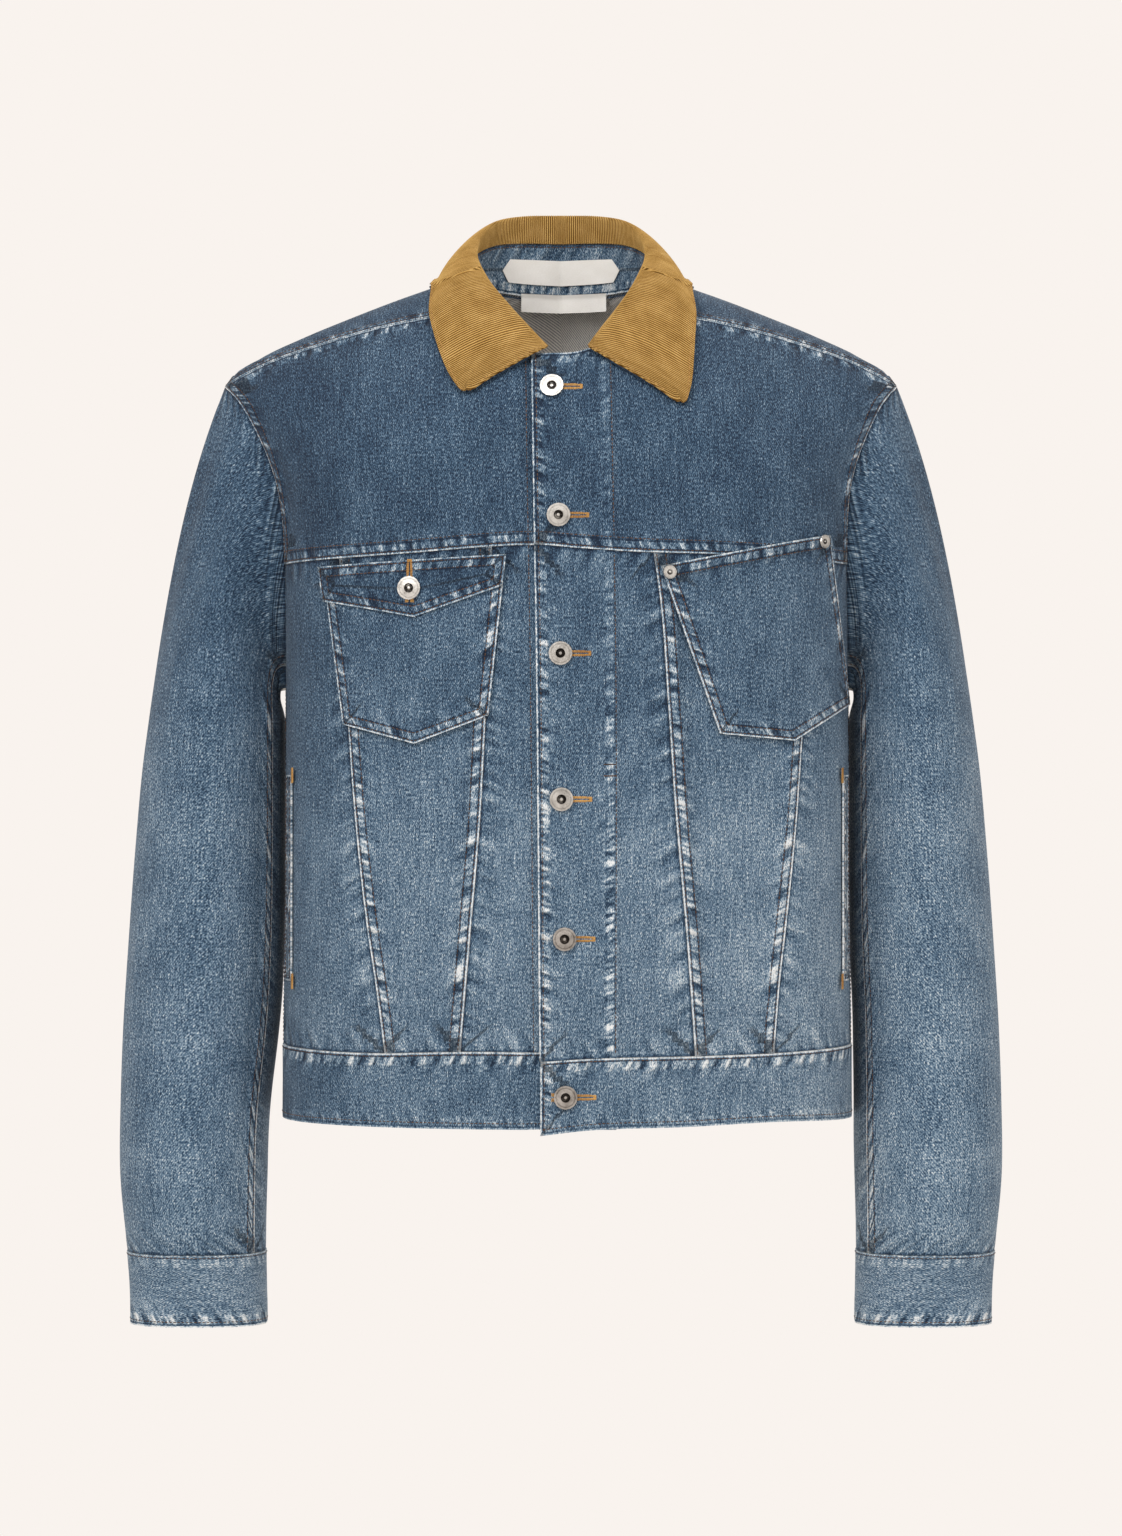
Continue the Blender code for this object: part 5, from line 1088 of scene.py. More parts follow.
def sleeve_piece(name, side, turns, strip):
    rows = sleeve_rows()
    turns = turns.copy()
    turns[0] += SEAM_TURN
    turns[-1] -= SEAM_TURN
    rise = np.zeros(len(turns))
    if strip:
        for far in (False, True):
            turns, rise = (turns[::-1], rise[::-1]) if far else (turns, rise)
            step = np.sign(turns[1] - turns[0])
            keep = turns[np.abs(turns - turns[0]) > STRIP_CLEAR]
            edge = turns[0] + step * np.array([0.0, STRIP_TURN, STRIP_TURN + STRIP_STEP])
            turns = np.concatenate([edge, keep])
            rise = np.concatenate([[1, 1, 0], rise[-len(keep):]])
            turns, rise = (turns[::-1], rise[::-1]) if far else (turns, rise)
    points, out, inward = sleeve_wall(side, turns, rows)
    if strip:
        for edge, kept in ((0, 3), (-1, -4)):
            for column in (edge + np.sign(kept) * np.array([1, 2])):
                share = (turns[column] - turns[edge]) / (turns[kept] - turns[edge])
                points[0, column] = blend(points[0, edge], points[0, kept], share)
    lift = rise * FELL_RISE * ease(rows, 0.0, 0.6)[:, None]
    outer = points + out * lift[..., None]
    inner = points + inward * CLOTH
    for wall in (outer, inner):
        wall[-1] += unit(wall[-2] - wall[-1]) * GAP
    weave = np.stack([np.broadcast_to(turns, outer.shape[:2]) * SLEEVE_PER_TURN, outer[..., 2]], -1)
    shell(name, outer, inner, out, weave=weave, edges="ffuu" if strip else "uuuu",
          fade=sleeve_tone_and_side_light(side, outer[..., 2]))


def sleeves():
    turns = arm_turns()
    front = float(FRONT_STEPS[FRONT_SEAM_STEP])
    back = float(2 - BACK_STEPS[BACK_SEAM_STEP])
    under = turns[(turns >= front - 1e-9) & (turns <= back + 1e-9)]
    top = np.concatenate([turns[turns >= back - 1e-9], turns[(turns <= front + 1e-9) & (turns > 0)] + 2])
    for side, word in SIDES:
        sleeve_piece("sleeve_under_" + word, side, under, False)
        sleeve_piece("sleeve_top_" + word, side, top, True)


CUFF_TURN = float(2 - BACK_STEPS[BACK_SEAM_STEP])


def cuff_surface(side, turn, z):
    """The sleeve's level section carried on to the cuff's end, and its outward direction."""
    along = sleeve_ring(side, turn + TURN_STEP, z) - sleeve_ring(side, turn - TURN_STEP, z)
    down = sleeve_ring(side, turn, z - TURN_STEP) - sleeve_ring(side, turn, z + TURN_STEP)
    return sleeve_ring(side, turn, z), unit(np.cross(along, down)) * side


def cuffs():
    """A band round the wrist whose outer end laps over the inner one at the back of the arm."""
    stops = (CUFF_START, CUFF_LAP, 1.9, CUFF_FINISH)
    turns = np.concatenate([np.linspace(first, last, count)[:-1]
                            for first, last, count in zip(stops, stops[1:], (9, 84, 9))] + [[CUFF_FINISH]])
    sunk = 1 - ease(turns, CUFF_LAP - 0.023, CUFF_LAP + 0.06)
    lift = CUFF_RISE - CUFF_SINK * sunk
    for side, word in SIDES:
        turn, z = np.meshgrid(CUFF_TURN + turns, np.linspace(CUFF_TOP_Z, CUFF_END_Z, 15))
        points, out = cuff_surface(side, turn, z)
        weave = np.stack([z, turn * SLEEVE_PER_TURN], -1)
        cloth("cuff_" + word, points, out, lift, lift - CUFF_WALL, (0, 0, HALF_GAP, 0), weave=weave,
              edges="eehe", fade=0.085)


# ---------------------------------------------------------------- collar
LEAF_CLEAR, UNDER_GAP, STAND_GAP = 0.0052, 0.00060, 0.0010
LEAF_ROWS = (0.0, 0.6, 1.0, 1.07, 1.17, 1.32, 1.52, 1.76, 2.0)
UNDER_ROWS = (1.32, 1.52, 1.76, 2.0)
LEAF_SEAM, LEAF_SEAM_FRONT = -0.50, -0.66  # where that seam lies, at the back and the front ends
BASE_IN, BASE_FRONT_IN = 0.0010, 0.0027  # the stand's foot, in from the neck seam
BASE_UP, BASE_FRONT_UP = 0.0011, -0.0012  # and off the body's surface
FOLD_BACK, FOLD_FRONT = 0.0052, 0.0036  # how roundly the collar turns over its roll line
PUFF_BACK, PUFF_FRONT = 0.0115, 0.0055  # how far the leaf bows out below the roll line
PUFF_UP = 0.0030
STAND_BOW, LEAF_BOW, ROLL_OVER = 0.42, 0.45, 1.5  # shares that place the curves' middle points


def neck_foot(side, angle, lean):
    """The foot of the collar's stand, just inside the neck seam and just off the body."""
    def seam(at):
        return np.where(side[..., None] > 0, neck_place(1, at - lean), neck_place(-1, at + lean))

    place = seam(angle)
    point, out = torso(*np.moveaxis(place, -1, 0)), torso_normals(*np.moveaxis(place, -1, 0))
    step = 1.0
    along = torso(*np.moveaxis(seam(angle + step), -1, 0)) - torso(*np.moveaxis(seam(angle - step), -1, 0))
    inward = unit(np.cross(along, out)) * side[..., None]
    front = ease(angle, 95, 135)[..., None]
    shift = BASE_IN + (BASE_FRONT_IN - BASE_IN) * front
    lift = BASE_UP + (BASE_FRONT_UP - BASE_UP) * front
    return point + inward * shift + out * lift


def collar_rails(turn):
    """Where the collar is sewn on, its roll line and its outer edge. turn is -1 at the right
    front end, 0 at the back and 1 at the left front end."""
    side, angle = np.where(turn < 0, -1.0, 1.0), np.abs(turn) * COLLAR_END
    columns = [smooth(COLLAR, angle, column) for column in range(1, 8)]
    roll_x, roll_y, roll_z, edge_x, edge_y, edge_z, lean = columns
    neck = neck_foot(side, angle, 4.5 * lean)
    roll = np.stack([side * roll_x + ROLL_LEAN * lean, roll_y, roll_z], -1)
    drop = edge_z - side * TIP_DROP * lean
    edge = np.stack([side * edge_x + EDGE_LEAN * lean, edge_y, drop], -1)
    return neck, roll, edge


def off_the_body(points, clear):
    """Points pushed out until they stand clear of the body's surface."""
    x, y, z = np.moveaxis(points, -1, 0)
    z = np.minimum(z, smooth(RIDGE, np.abs(x)) - 0.0004)
    girth = np.where(y > 0, girth_at(x, z, True), girth_at(x, z))
    surface, out = torso(girth, z), torso_normals(girth, z)
    over = np.sum((points - surface) * out, -1)
    return points + out * np.maximum(clear - over, 0)[..., None]


def bezier(points, share):
    first, second, third, last = points
    share = np.asarray(share)[..., None]
    back = 1 - share
    return (first * back ** 3 + 3 * second * back * back * share + 3 * third * back * share * share
            + last * share ** 3)


def collar(turn, rise):
    """The collar's face. rise is -1 at the neck seam, 0 on the roll line, 1 at the outer edge."""
    turn, rise = np.broadcast_arrays(np.asarray(turn, float), np.asarray(rise, float))
    neck, roll, edge = collar_rails(turn)
    flat = (edge - roll) * np.array([1.0, 1.0, 0.0])
    along = unit(flat)
    end = ease(np.abs(turn), 0.55, 1.0)[..., None]
    ahead = collar_rails(turn + 0.02)[1] - collar_rails(turn - 0.02)[1]
    over = unit(np.cross(roll - neck, ahead)) * (FOLD_BACK + (FOLD_FRONT - FOLD_BACK) * end)
    stand = bezier((neck, blend(neck, roll, STAND_BOW + 0 * turn), roll - over, roll),
                   np.clip(rise + 1, 0, 1))
    puff = PUFF_BACK + (PUFF_FRONT - PUFF_BACK) * end
    bow = blend(edge, roll, LEAF_BOW + 0 * turn) + along * puff + np.array([0.0, 0.0, PUFF_UP])
    fall = bezier((roll, roll + over * ROLL_OVER, bow, edge), np.clip(rise, 0, 1))
    clear = off_the_body(fall, LEAF_CLEAR * ease(rise, 0.0, 0.12))
    fall = off_the_body(clear, LEAF_CLEAR * ease(rise, 0.0, 0.12))
    return np.where((rise <= 0)[..., None], stand, fall)


def collar_rise(turn, row):
    """Where a row of points lies. A row is -1 at the foot, 0 at the seam between the stand and
    the leaf, 1 on the roll line and 2 at the outer edge."""
    seam = LEAF_SEAM + (LEAF_SEAM_FRONT - LEAF_SEAM) * ease(np.abs(turn), 0.50, 1.0)
    return np.where(row < 0, -1 + (seam + 1) * (row + 1), np.where(row < 1, seam * (1 - row), row - 1))


WALE_PITCH, WALE_POINTS, WALE_HEIGHT = 0.00215, 5, 0.00055
WALE_SLANT = 23.0                       # degrees by which a wale's end at the edge is further back
WALE_SHAPE = (0.0, 0.50, 1.0, 1.0, 0.50)
TIP_ANGLE, TIP_RISE = 5.2, 0.125        # size of the leaf's rounded tips
FINE_LEAF_ROWS = np.interp(np.linspace(0, 1, 33), np.linspace(0, 1, len(LEAF_ROWS)), LEAF_ROWS)
FINE_UNDER_ROWS = np.linspace(UNDER_ROWS[0], UNDER_ROWS[-1], 18)


def collar_face(turn, rise):
    """The collar's points and directions."""
    low, high = np.maximum(rise - COLLAR_STEP, -1), np.minimum(rise + COLLAR_STEP, 1)
    left, right = np.maximum(turn - COLLAR_STEP, -1), np.minimum(turn + COLLAR_STEP, 1)
    out = unit(np.cross(collar(right, rise) - collar(left, rise), collar(turn, high) - collar(turn, low)))
    return collar(turn, rise), out


def wale_places(ways, rows, scallop=0.0):
    """The collar's turn and rise along wales. A way is a wale's signed angle at the seam with the
    stand, where the wales stand upright. Further out they slant back, so those past the collar's
    end start on its front edge."""
    way, row = np.meshgrid(ways, rows)
    size = np.abs(way)
    slant = WALE_SLANT * ease(size, 45.0, 125.0)
    start = 2 * np.clip(size - COLLAR_END, 0, None) / WALE_SLANT
    start = start + scallop * ease(start, 0.02, 0.3) * (1 - ease(start, 1.6, 1.9))
    row = np.where(start > rows[0], start + (2 - start) * (row - rows[0]) / (2 - rows[0]), row)
    angle = np.minimum(size - slant * row / 2, COLLAR_END)
    rise = collar_rise(angle / COLLAR_END, row)
    past, near = 1 - (COLLAR_END - angle) / TIP_ANGLE, 1 - (1 - rise) / TIP_RISE
    corner = (past > 0) & (near > 0)
    squeeze = np.maximum(past, near) / np.maximum(np.hypot(past, near), 1e-9)
    angle = np.where(corner, COLLAR_END - (1 - past * squeeze) * TIP_ANGLE, angle)
    rise = np.where(corner, 1 - (1 - near * squeeze) * TIP_RISE, rise)
    return np.sign(way) * angle / COLLAR_END, rise


def wale_ways(pitch):
    """The wales' angles, evenly spaced along the cloth."""
    size = np.linspace(0, COLLAR_END + WALE_SLANT - 0.35, 700)
    lengths = []
    for row in (1.0, 2.0):
        turn, rise = wale_places(size, np.array([0.0, row]))
        lengths.append(run_along(collar(turn[1], rise[1])))
    length = 0.35 * lengths[0] + 0.65 * lengths[1]
    count = int(length[-1] / pitch)
    half = np.interp(np.arange(count) * pitch, length, size)
    return np.concatenate([-half[:0:-1], half])


def collars():
    turn, row = np.meshgrid(np.linspace(-1, 1, 161), np.linspace(-1, 0, 15))
    points, out = collar_face(turn, collar_rise(turn, row))
    cloth("collar_stand", points, out, 0.0, -STAND_WALL, (0, 0, 0, STAND_GAP), edges="eeeu")
    ways = wale_ways(WALE_PITCH / WALE_POINTS)
    middle = len(ways) // 2
    count = np.arange(len(ways)) - middle
    scallop = 0.014 * np.sin(count * 2 * math.pi / (2 * WALE_POINTS))
    turn, rise = wale_places(ways, FINE_LEAF_ROWS, scallop)
    points, out = collar_face(turn, rise)
    wale = np.broadcast_to(np.array(WALE_SHAPE)[count % WALE_POINTS], turn.shape)
    fade = ease(rise, 0.86, 1.0) * 0.5
    weave = np.stack([np.broadcast_to(count * WALE_PITCH / WALE_POINTS, turn.shape),
                      side_distances(points)[2]], -1)
    cloth("collar_leaf", points, out, (wale - 0.6) * WALE_HEIGHT, -CORDUROY + 0.0002, weave=weave,
          edges="eeee", material="gold corduroy", fade=fade, extra=wale)
    ways = wale_ways(0.0034)
    turn, rise = wale_places(ways, FINE_UNDER_ROWS)
    points, out = collar_face(turn, rise)
    under = -CORDUROY - UNDER_GAP
    beyond = points + unit(points - np.roll(points, 1, 0)) * 0.0011
    points[-1] = beyond[-1]
    cloth("under_collar", points, out, under, under - UNDER_COLLAR, edges="----", fade=-0.25)


# ---------------------------------------------------------------- pockets, flap, welts and labels
def sewn_patch(name, corners, lift, columns, rows, hem=0.0, edges="ffff"):
    top, bottom = corners["top"], corners["bottom"]
    left = corner_line((bottom[0], top[0]), rows)
    right = corner_line((bottom[-1], top[-1]), rows)
    places = patch(left, right, corner_line(bottom, columns), corner_line(top, columns))
    places, rise = strips(places, top=hem)
    panel(name, places, lift=lift, rise=rise, edges=edges)


def pockets():
    sewn_patch("chest_pocket", CHEST_POCKET, POCKET_LIFT, 60, 50)
    sewn_patch("chest_flap", CHEST_FLAP, FLAP_LIFT, 60, 18)
    sewn_patch("slant_pocket", SLANT_POCKET, POCKET_LIFT, 60, 54, FELL)
    for side, word in SIDES:
        z = np.linspace(WELT_BOTTOM, WELT_TOP, 50)
        near = girth_at(side * WELT_INNER + smooth(TORSO, z, 4), z)
        grid = np.stack([np.stack([near + side * WELT_WIDTH * part, z], -1)
                         for part in np.linspace(0, 1, 6)], 1)
        panel("side_welt_" + word, ordered(grid, side), lift=WELT_LIFT, wall=WELT_WALL, edges="eeee")


def labels():
    size = UPPER_LABEL
    along, up = np.meshgrid(np.linspace(-1, 1, 33), np.linspace(0, 1, 13))
    reach = size["half_width"] - size["point"] * np.abs(2 * up - 1)
    turn = along * reach / STAND_PER_TURN
    rise = size["low"] + (size["high"] - size["low"]) * up
    points = collar(turn, rise)
    ahead, above = collar(turn + COLLAR_STEP, rise), collar(turn, rise + COLLAR_STEP)
    out = unit(np.cross(ahead - points, above - points))
    cloth("label_upper", points, out, LABEL_WALL + LABEL_OFF, LABEL_OFF, material="blank label",
          edges="eeee")
    size = LOWER_LABEL
    x, z = np.meshgrid(size["middle"] + size["half_width"] * np.linspace(-1, 1, 29),
                       np.linspace(size["low"], size["high"], 11))
    seam_z = smooth([(row[1], row[2]) for row in NECK[:5]], np.abs(x))
    seam = torso(girth_at(x, seam_z, True), seam_z)
    wave = 0.0004 * np.sin(x * 190 + 1.0) * ease(-z, -0.010, 0.002)
    y = seam[..., 1] - LABEL_IN - LABEL_SLOPE * np.maximum(z - seam_z, 0) - wave
    out = np.broadcast_to(np.array([0.0, -1.0, 0.0]), x.shape + (3,))
    cloth("label_lower", np.stack([x, y, z], -1), out, LABEL_WALL, 0.0, material="blank label", edges="eeee")


# ---------------------------------------------------------------- thread
STITCH = 0.0030                         # from one stitch to the next
STITCH_SHARE = 0.80                     # of that, the part that shows
THREAD = 0.00032                        # half the thread's thickness
STITCH_PLACES = (0.0, 0.14, 0.5, 0.86, 1.0)
STITCH_THICK = (0.0, 0.85, 1.0, 0.85, 0.0)
STITCH_LIFT = (-0.6, 0.25, 0.6, 0.25, -0.6)
THREADS = {}                            # stitches by (piece of thread, material)


def strands(group, starts, ends, out, radius=THREAD):
    """Short rounded threads between pairs of points, a little sunk at both ends."""
    starts, ends = np.asarray(starts), np.asarray(ends)
    out = unit(np.broadcast_to(out, starts.shape))
    side = unit(np.cross(ends - starts, out))
    points = []
    for place, thick, lift in zip(STITCH_PLACES, STITCH_THICK, STITCH_LIFT):
        middle = starts + (ends - starts) * place + out * lift * radius
        if not thick:
            points.append(middle[:, None])
            continue
        turned = [math.pi / 2 * quarter for quarter in range(4)]
        points.append(np.stack([middle + (side * math.cos(turn) + out * math.sin(turn)) * radius * thick
                                for turn in turned], 1))
    THREADS.setdefault(group, []).append(np.concatenate(points, 1))


def strand_faces():
    """The faces of one strand: a tip, three rings of four points and a tip."""
    faces = []
    for corner in range(4):
        after = (corner + 1) % 4
        faces.append((0, 1 + corner, 1 + after, 1 + after))
        faces += [(ring + corner, ring + 4 + corner, ring + 4 + after, ring + after) for ring in (1, 5)]
        faces.append((13, 9 + after, 9 + corner, 9 + corner))
    return faces


def stitch_row(group, line, out, pitch=STITCH, radius=THREAD):
    """A row of stitches along a line that lies on cloth."""
    length = run_along(line)
    count = int(length[-1] / pitch)
    if count < 1:
        return
    begin = (np.arange(count) + (1 - STITCH_SHARE) / 2) * length[-1] / count
    end = begin + STITCH_SHARE * length[-1] / count
    strands(group, picked(line, length, begin), picked(line, length, end),
            picked(out, length, (begin + end) / 2), radius)


def line_at(name, edge, inset, trim=0.0):
    """The line on a shell that runs along one of its edges, some way in from it."""
    outer, out, _ = SHELLS[name]
    if edge in ("bottom", "top"):
        outer, out = np.swapaxes(outer, 0, 1), np.swapaxes(out, 0, 1)
    if edge in ("right", "top"):
        outer, out = outer[:, ::-1], out[:, ::-1]
    line, ways = [], []
    for points, facing in zip(outer, out):
        length = run_along(points)
        line.append(picked(points, length, inset))
        ways.append(picked(facing, length, inset))
    line, ways = np.array(line), unit(np.array(ways))
    if trim:
        length = run_along(line)
        places = np.linspace(trim, length[-1] - trim, len(length))
        line, ways = picked(line, length, places), picked(ways, length, places)
    return line, ways


def edge_word(side, edge):
    words = {"near": ("right", "left"), "far": ("left", "right")}.get(edge, (edge, edge))
    return words[side > 0]


# Rows of top-stitching: the piece, the edges that they follow, how far in from them in
# millimetres, how far they stop short of the ends, and the group they belong to. In ROWS a piece's
# name stands for both sides, and its near edge is the one towards the middle of the front.
ROWS = (
    ("front_mid", ("near", "far"), (1.7, 8.0), 0.5, "front"),
    ("front_yoke", ("bottom",), (1.8, 9.3), 1.0, "front"),
    ("front_yoke", ("far",), (1.8, 8.2), 1.0, "front"),
    ("front_side", ("far",), (1.7, 8.0), 1.0, "front"),
    ("sleeve_top", ("left", "right"), (1.7, 8.0), 1.0, "sleeve"),
    ("cuff", ("bottom",), (1.6,), 2.0, "sleeve"),
    ("cuff", ("top",), (3.8,), 2.0, "sleeve"),
    ("cuff", ("left", "right"), (2.0,), 2.0, "sleeve"),
    ("side_welt", ("left", "right"), (1.6,), 1.5, "front"),
)
SINGLE_ROWS = (
    ("back_yoke", ("right",), (1.7, 8.0), 1.0, "back"),
    ("back_yoke", ("bottom", "top"), (1.7, 5.6), 1.5, "back"),
    ("waistband_left", ("top",), (1.8,), 1.0, "front"),
    ("waistband_left", ("bottom",), (4.2,), 1.0, "front"),
    ("waistband_left", ("left",), (2.6,), 1.8, "front"),
    ("waistband_right", ("top",), (1.8,), 1.0, "front"),
    ("waistband_right", ("bottom",), (4.2,), 1.0, "front"),
    ("waistband_back", ("top",), (1.8,), 1.0, "back"),
    ("waistband_back", ("bottom",), (4.2,), 1.0, "back"),
    ("front_centre_left", ("left",), (3.2,), 0.0, "front"),
    ("front_yoke_left", ("left",), (3.2,), 0.0, "front"),
    ("chest_pocket", ("left", "right", "bottom"), (1.8, 7.2), 1.8, "pockets"),
    ("chest_flap", ("left", "right", "bottom", "top"), (1.8, 7.2), 1.8, "pockets"),
    ("slant_pocket", ("left", "right", "bottom"), (1.8, 7.2), 1.8, "pockets"),
    ("slant_pocket", ("top",), (1.8, 8.4), 1.8, "pockets"),
    ("collar_stand", ("top",), (1.6,), 1.0, "collar"),
)


def front_line(x_table, offset, lift, z_from, z_to):
    """A line on the front at a seam's place across, some way off it."""
    z = np.linspace(z_from, z_to, 120)
    places = front_place(smooth(x_table, z) + offset, z)
    out = torso_normals(places[:, 0], places[:, 1])
    return torso(places[:, 0], places[:, 1]) + out * lift, out


def edge_rows(rows):
    """Each row of a table, once for each of its edges and each distance in."""
    for piece, edges, insets, trim, group in rows:
        for edge in edges:
            for inset in insets:
                yield piece, edge, inset, trim, group


def top_stitching():
    for side, word in SIDES:
        for piece, edge, inset, trim, group in edge_rows(ROWS):
            line, out = line_at(f"{piece}_{word}", edge_word(side, edge), inset * MM, trim * MM)
            stitch_row((f"stitching_{group}_{word}", "tobacco thread"), line, out)
    for piece, edge, inset, trim, group in edge_rows(SINGLE_ROWS):
        line, out = line_at(piece, edge, inset * MM, max(trim, inset if trim > 1.5 else 0) * MM)
        stitch_row(("stitching_" + group, "tobacco thread"), line, out)
    for z_from, z_to in ((-0.5415, -0.1925), (-0.1890, -0.0520)):
        line, out = front_line(FACING_LINE, -0.0010, LAP_RISE, z_from, z_to)
        stitch_row(("stitching_front", "tobacco thread"), line, out)
        line, out = front_line(FRONT_EDGE, -0.0040, -0.0004, z_from, z_to)
        stitch_row(("stitching_front", "tobacco thread"), line, out)
    collar_stitching()


def collar_stitching():
    """A row of ochre stitches round the leaf, just in from its outer edge and its front ends."""
    ways = wale_ways(WALE_PITCH)
    turn, rise = wale_places(ways, np.array([0.0, 1.955]))
    points, out = collar_face(turn[1], rise[1])
    stitch_row(("stitching_leaf", "ochre thread"), points + out * WALE_HEIGHT * 0.2, out)
    for side in (-1, 1):
        outer = np.linspace(COLLAR_END + 1.0, COLLAR_END + WALE_SLANT - 2.6, 60) * side
        begin = 2 * (np.abs(outer) - COLLAR_END) / WALE_SLANT + 0.045
        turn, rise = np.sign(outer), collar_rise(np.ones(60), begin)
        turn = turn * (1 - 0.9 / COLLAR_END)
        points, out = collar_face(turn, rise)
        stitch_row(("stitching_leaf", "ochre thread"), points + out * WALE_HEIGHT * 0.2, out)


HOLE_PITCH, HOLE_THREAD = 0.00062, 0.00034
BAR_PITCH, BAR_THREAD = 0.00050, 0.00030


def buttonhole(x, z, lift, across, length, start):
    """A buttonhole beside a button: close strands on both sides of a slit, wider at the button,
    and a bar at the other end."""
    def on_cloth(along, off):
        place = front_place(x + (along if across else off), z + (off if across else along))
        out = torso_normals(*place.T)
        return torso(*place.T) + out * lift, out

    along = np.arange(start, length, HOLE_PITCH)
    at_button, at_end = 1 - ease(along, start, start + 0.004), ease(along, length - 0.005, length)
    wide = 0.0023 + 0.0012 * at_button - 0.0006 * at_end
    for way in (-1, 1):
        near, out = on_cloth(along, way * 0.00025 * np.ones(len(along)))
        far, _ = on_cloth(along + 0.0002 * np.sin(along * 4100), way * wide)
        strands(("buttonholes", "ochre thread"), near, far, out, HOLE_THREAD)
    bar = np.linspace(-0.0016, 0.0016, 6)
    near, out = on_cloth(np.full(6, length - 0.0012), bar)
    far, _ = on_cloth(np.full(6, length + 0.0012), bar * 0.8)
    strands(("buttonholes", "ochre thread"), near, far, out, HOLE_THREAD)


def bar_tack(x, z, lift, tilt, length=0.0110, width=0.0019, group=("bar_tacks", "ochre thread")):
    """Close strands across a short line on the front. tilt is its slope from upright, in degrees."""
    along = np.arange(-length / 2, length / 2, BAR_PITCH)
    way = np.array([math.sin(math.radians(tilt)), math.cos(math.radians(tilt))])
    across = np.array([way[1], -way[0]]) * width / 2
    ends = []
    for side in (-1, 1):
        flat = np.array([x, z]) + along[:, None] * way + side * across + 0.00022 * side * way
        place = front_place(flat[:, 0], flat[:, 1])
        out = torso_normals(*place.T)
        ends.append(torso(*place.T) + out * lift)
    strands(group, ends[0], ends[1], out, BAR_THREAD)


def ochre_work():
    for count, (x, z) in enumerate(FRONT_BUTTONS, 1):
        lift = BAND_RISE if count == len(FRONT_BUTTONS) else LAP_RISE
        buttonhole(x, z, lift, True, 0.0205, -0.0095 if count == 6 else 0.0)
    for level in (-0.3395, -0.3475):
        bar_tack(0.0345, level, LAP_RISE, 90.0, 0.0090, 0.0009, ("stitching_front", "tobacco thread"))
    x, z = FLAP_BUTTON
    buttonhole(x, z, FLAP_LIFT, False, 0.0195, -0.0095)
    for side in (-1, 1):
        for level in (WELT_TOP, WELT_BOTTOM):
            place = side * (WELT_INNER - 0.0010) + float(smooth(TORSO, level, 4))
            bar_tack(place, level, WELT_LIFT, 0.0)


def thread_pieces():
    faces = np.array(strand_faces())
    for (name, material), parts in THREADS.items():
        points = np.concatenate(parts)
        count, each = points.shape[:2]
        joined_faces = (faces[None] + np.arange(count)[:, None, None] * each).reshape(-1, 4)
        kept = [tuple(dict.fromkeys(face)) for face in joined_faces.tolist()]
        piece = mesh_piece(name, points.reshape(-1, 3), kept, (material,), smooth_to=80)


# ---------------------------------------------------------------- materials
def srgb(red, green, blue):
    """A colour from its values on a screen, 0 to 255."""
    shares = [value / 255 for value in (red, green, blue)]
    return [share / 12.92 if share <= 0.04045 else ((share + 0.055) / 1.055) ** 2.4
            for share in shares] + [1.0]


def add(tree, kind, inputs=(), **settings):
    """A shader node with its settings and inputs, each a value or another node's output."""
    made = tree.nodes.new("ShaderNode" + kind)
    for key, value in settings.items():
        setattr(made, key, value)
    for key, value in dict(inputs).items():
        if isinstance(value, bpy.types.NodeSocket):
            tree.links.new(value, made.inputs[key])
        else:
            made.inputs[key].default_value = value
    return made


def give(made, values):
    """Sets a node's plain inputs."""
    for word, value in values.items():
        made.inputs[word].default_value = value


def maths(tree, operation, first, second=0.0, third=0.0, clamp=False):
    made = add(tree, "Math", {0: first, 1: second, 2: third}, operation=operation, use_clamp=clamp)
    return made.outputs[0]


def times(tree, first, second):
    return maths(tree, "MULTIPLY", first, second)


def spread(tree, value, low, high, to_low=0.0, to_high=1.0, kind="LINEAR"):
    made = add(tree, "MapRange", {"Value": value, "From Min": low, "From Max": high, "To Min": to_low,
                                  "To Max": to_high}, interpolation_type=kind)
    return made.outputs["Result"]


def scaled(tree, vector, x, y, z=1.0):
    return add(tree, "VectorMath", {0: vector, 1: (x, y, z)}, operation="MULTIPLY").outputs[0]


def noise(tree, vector, detail=2.0, roughness=0.6, scale=1.0):
    """Noise spread to about -1 to 1."""
    made = add(tree, "TexNoise", {"Vector": vector, "Scale": scale, "Detail": detail,
                                  "Roughness": roughness})
    return spread(tree, made.outputs["Fac"], 0.32, 0.68, -1.0, 1.0)


def group(name, inputs, outputs):
    """A node group with its sockets, and its inner input and output nodes."""
    tree = bpy.data.node_groups.new(name, "ShaderNodeTree")
    for word, kind, value in inputs:
        socket = tree.interface.new_socket(word, in_out="INPUT", socket_type="NodeSocket" + kind)
        if value is not None:
            socket.default_value = value
    for word, kind in outputs:
        tree.interface.new_socket(word, in_out="OUTPUT", socket_type="NodeSocket" + kind)
    given, result = tree.nodes.new("NodeGroupInput"), tree.nodes.new("NodeGroupOutput")
    return tree, given.outputs, result.inputs


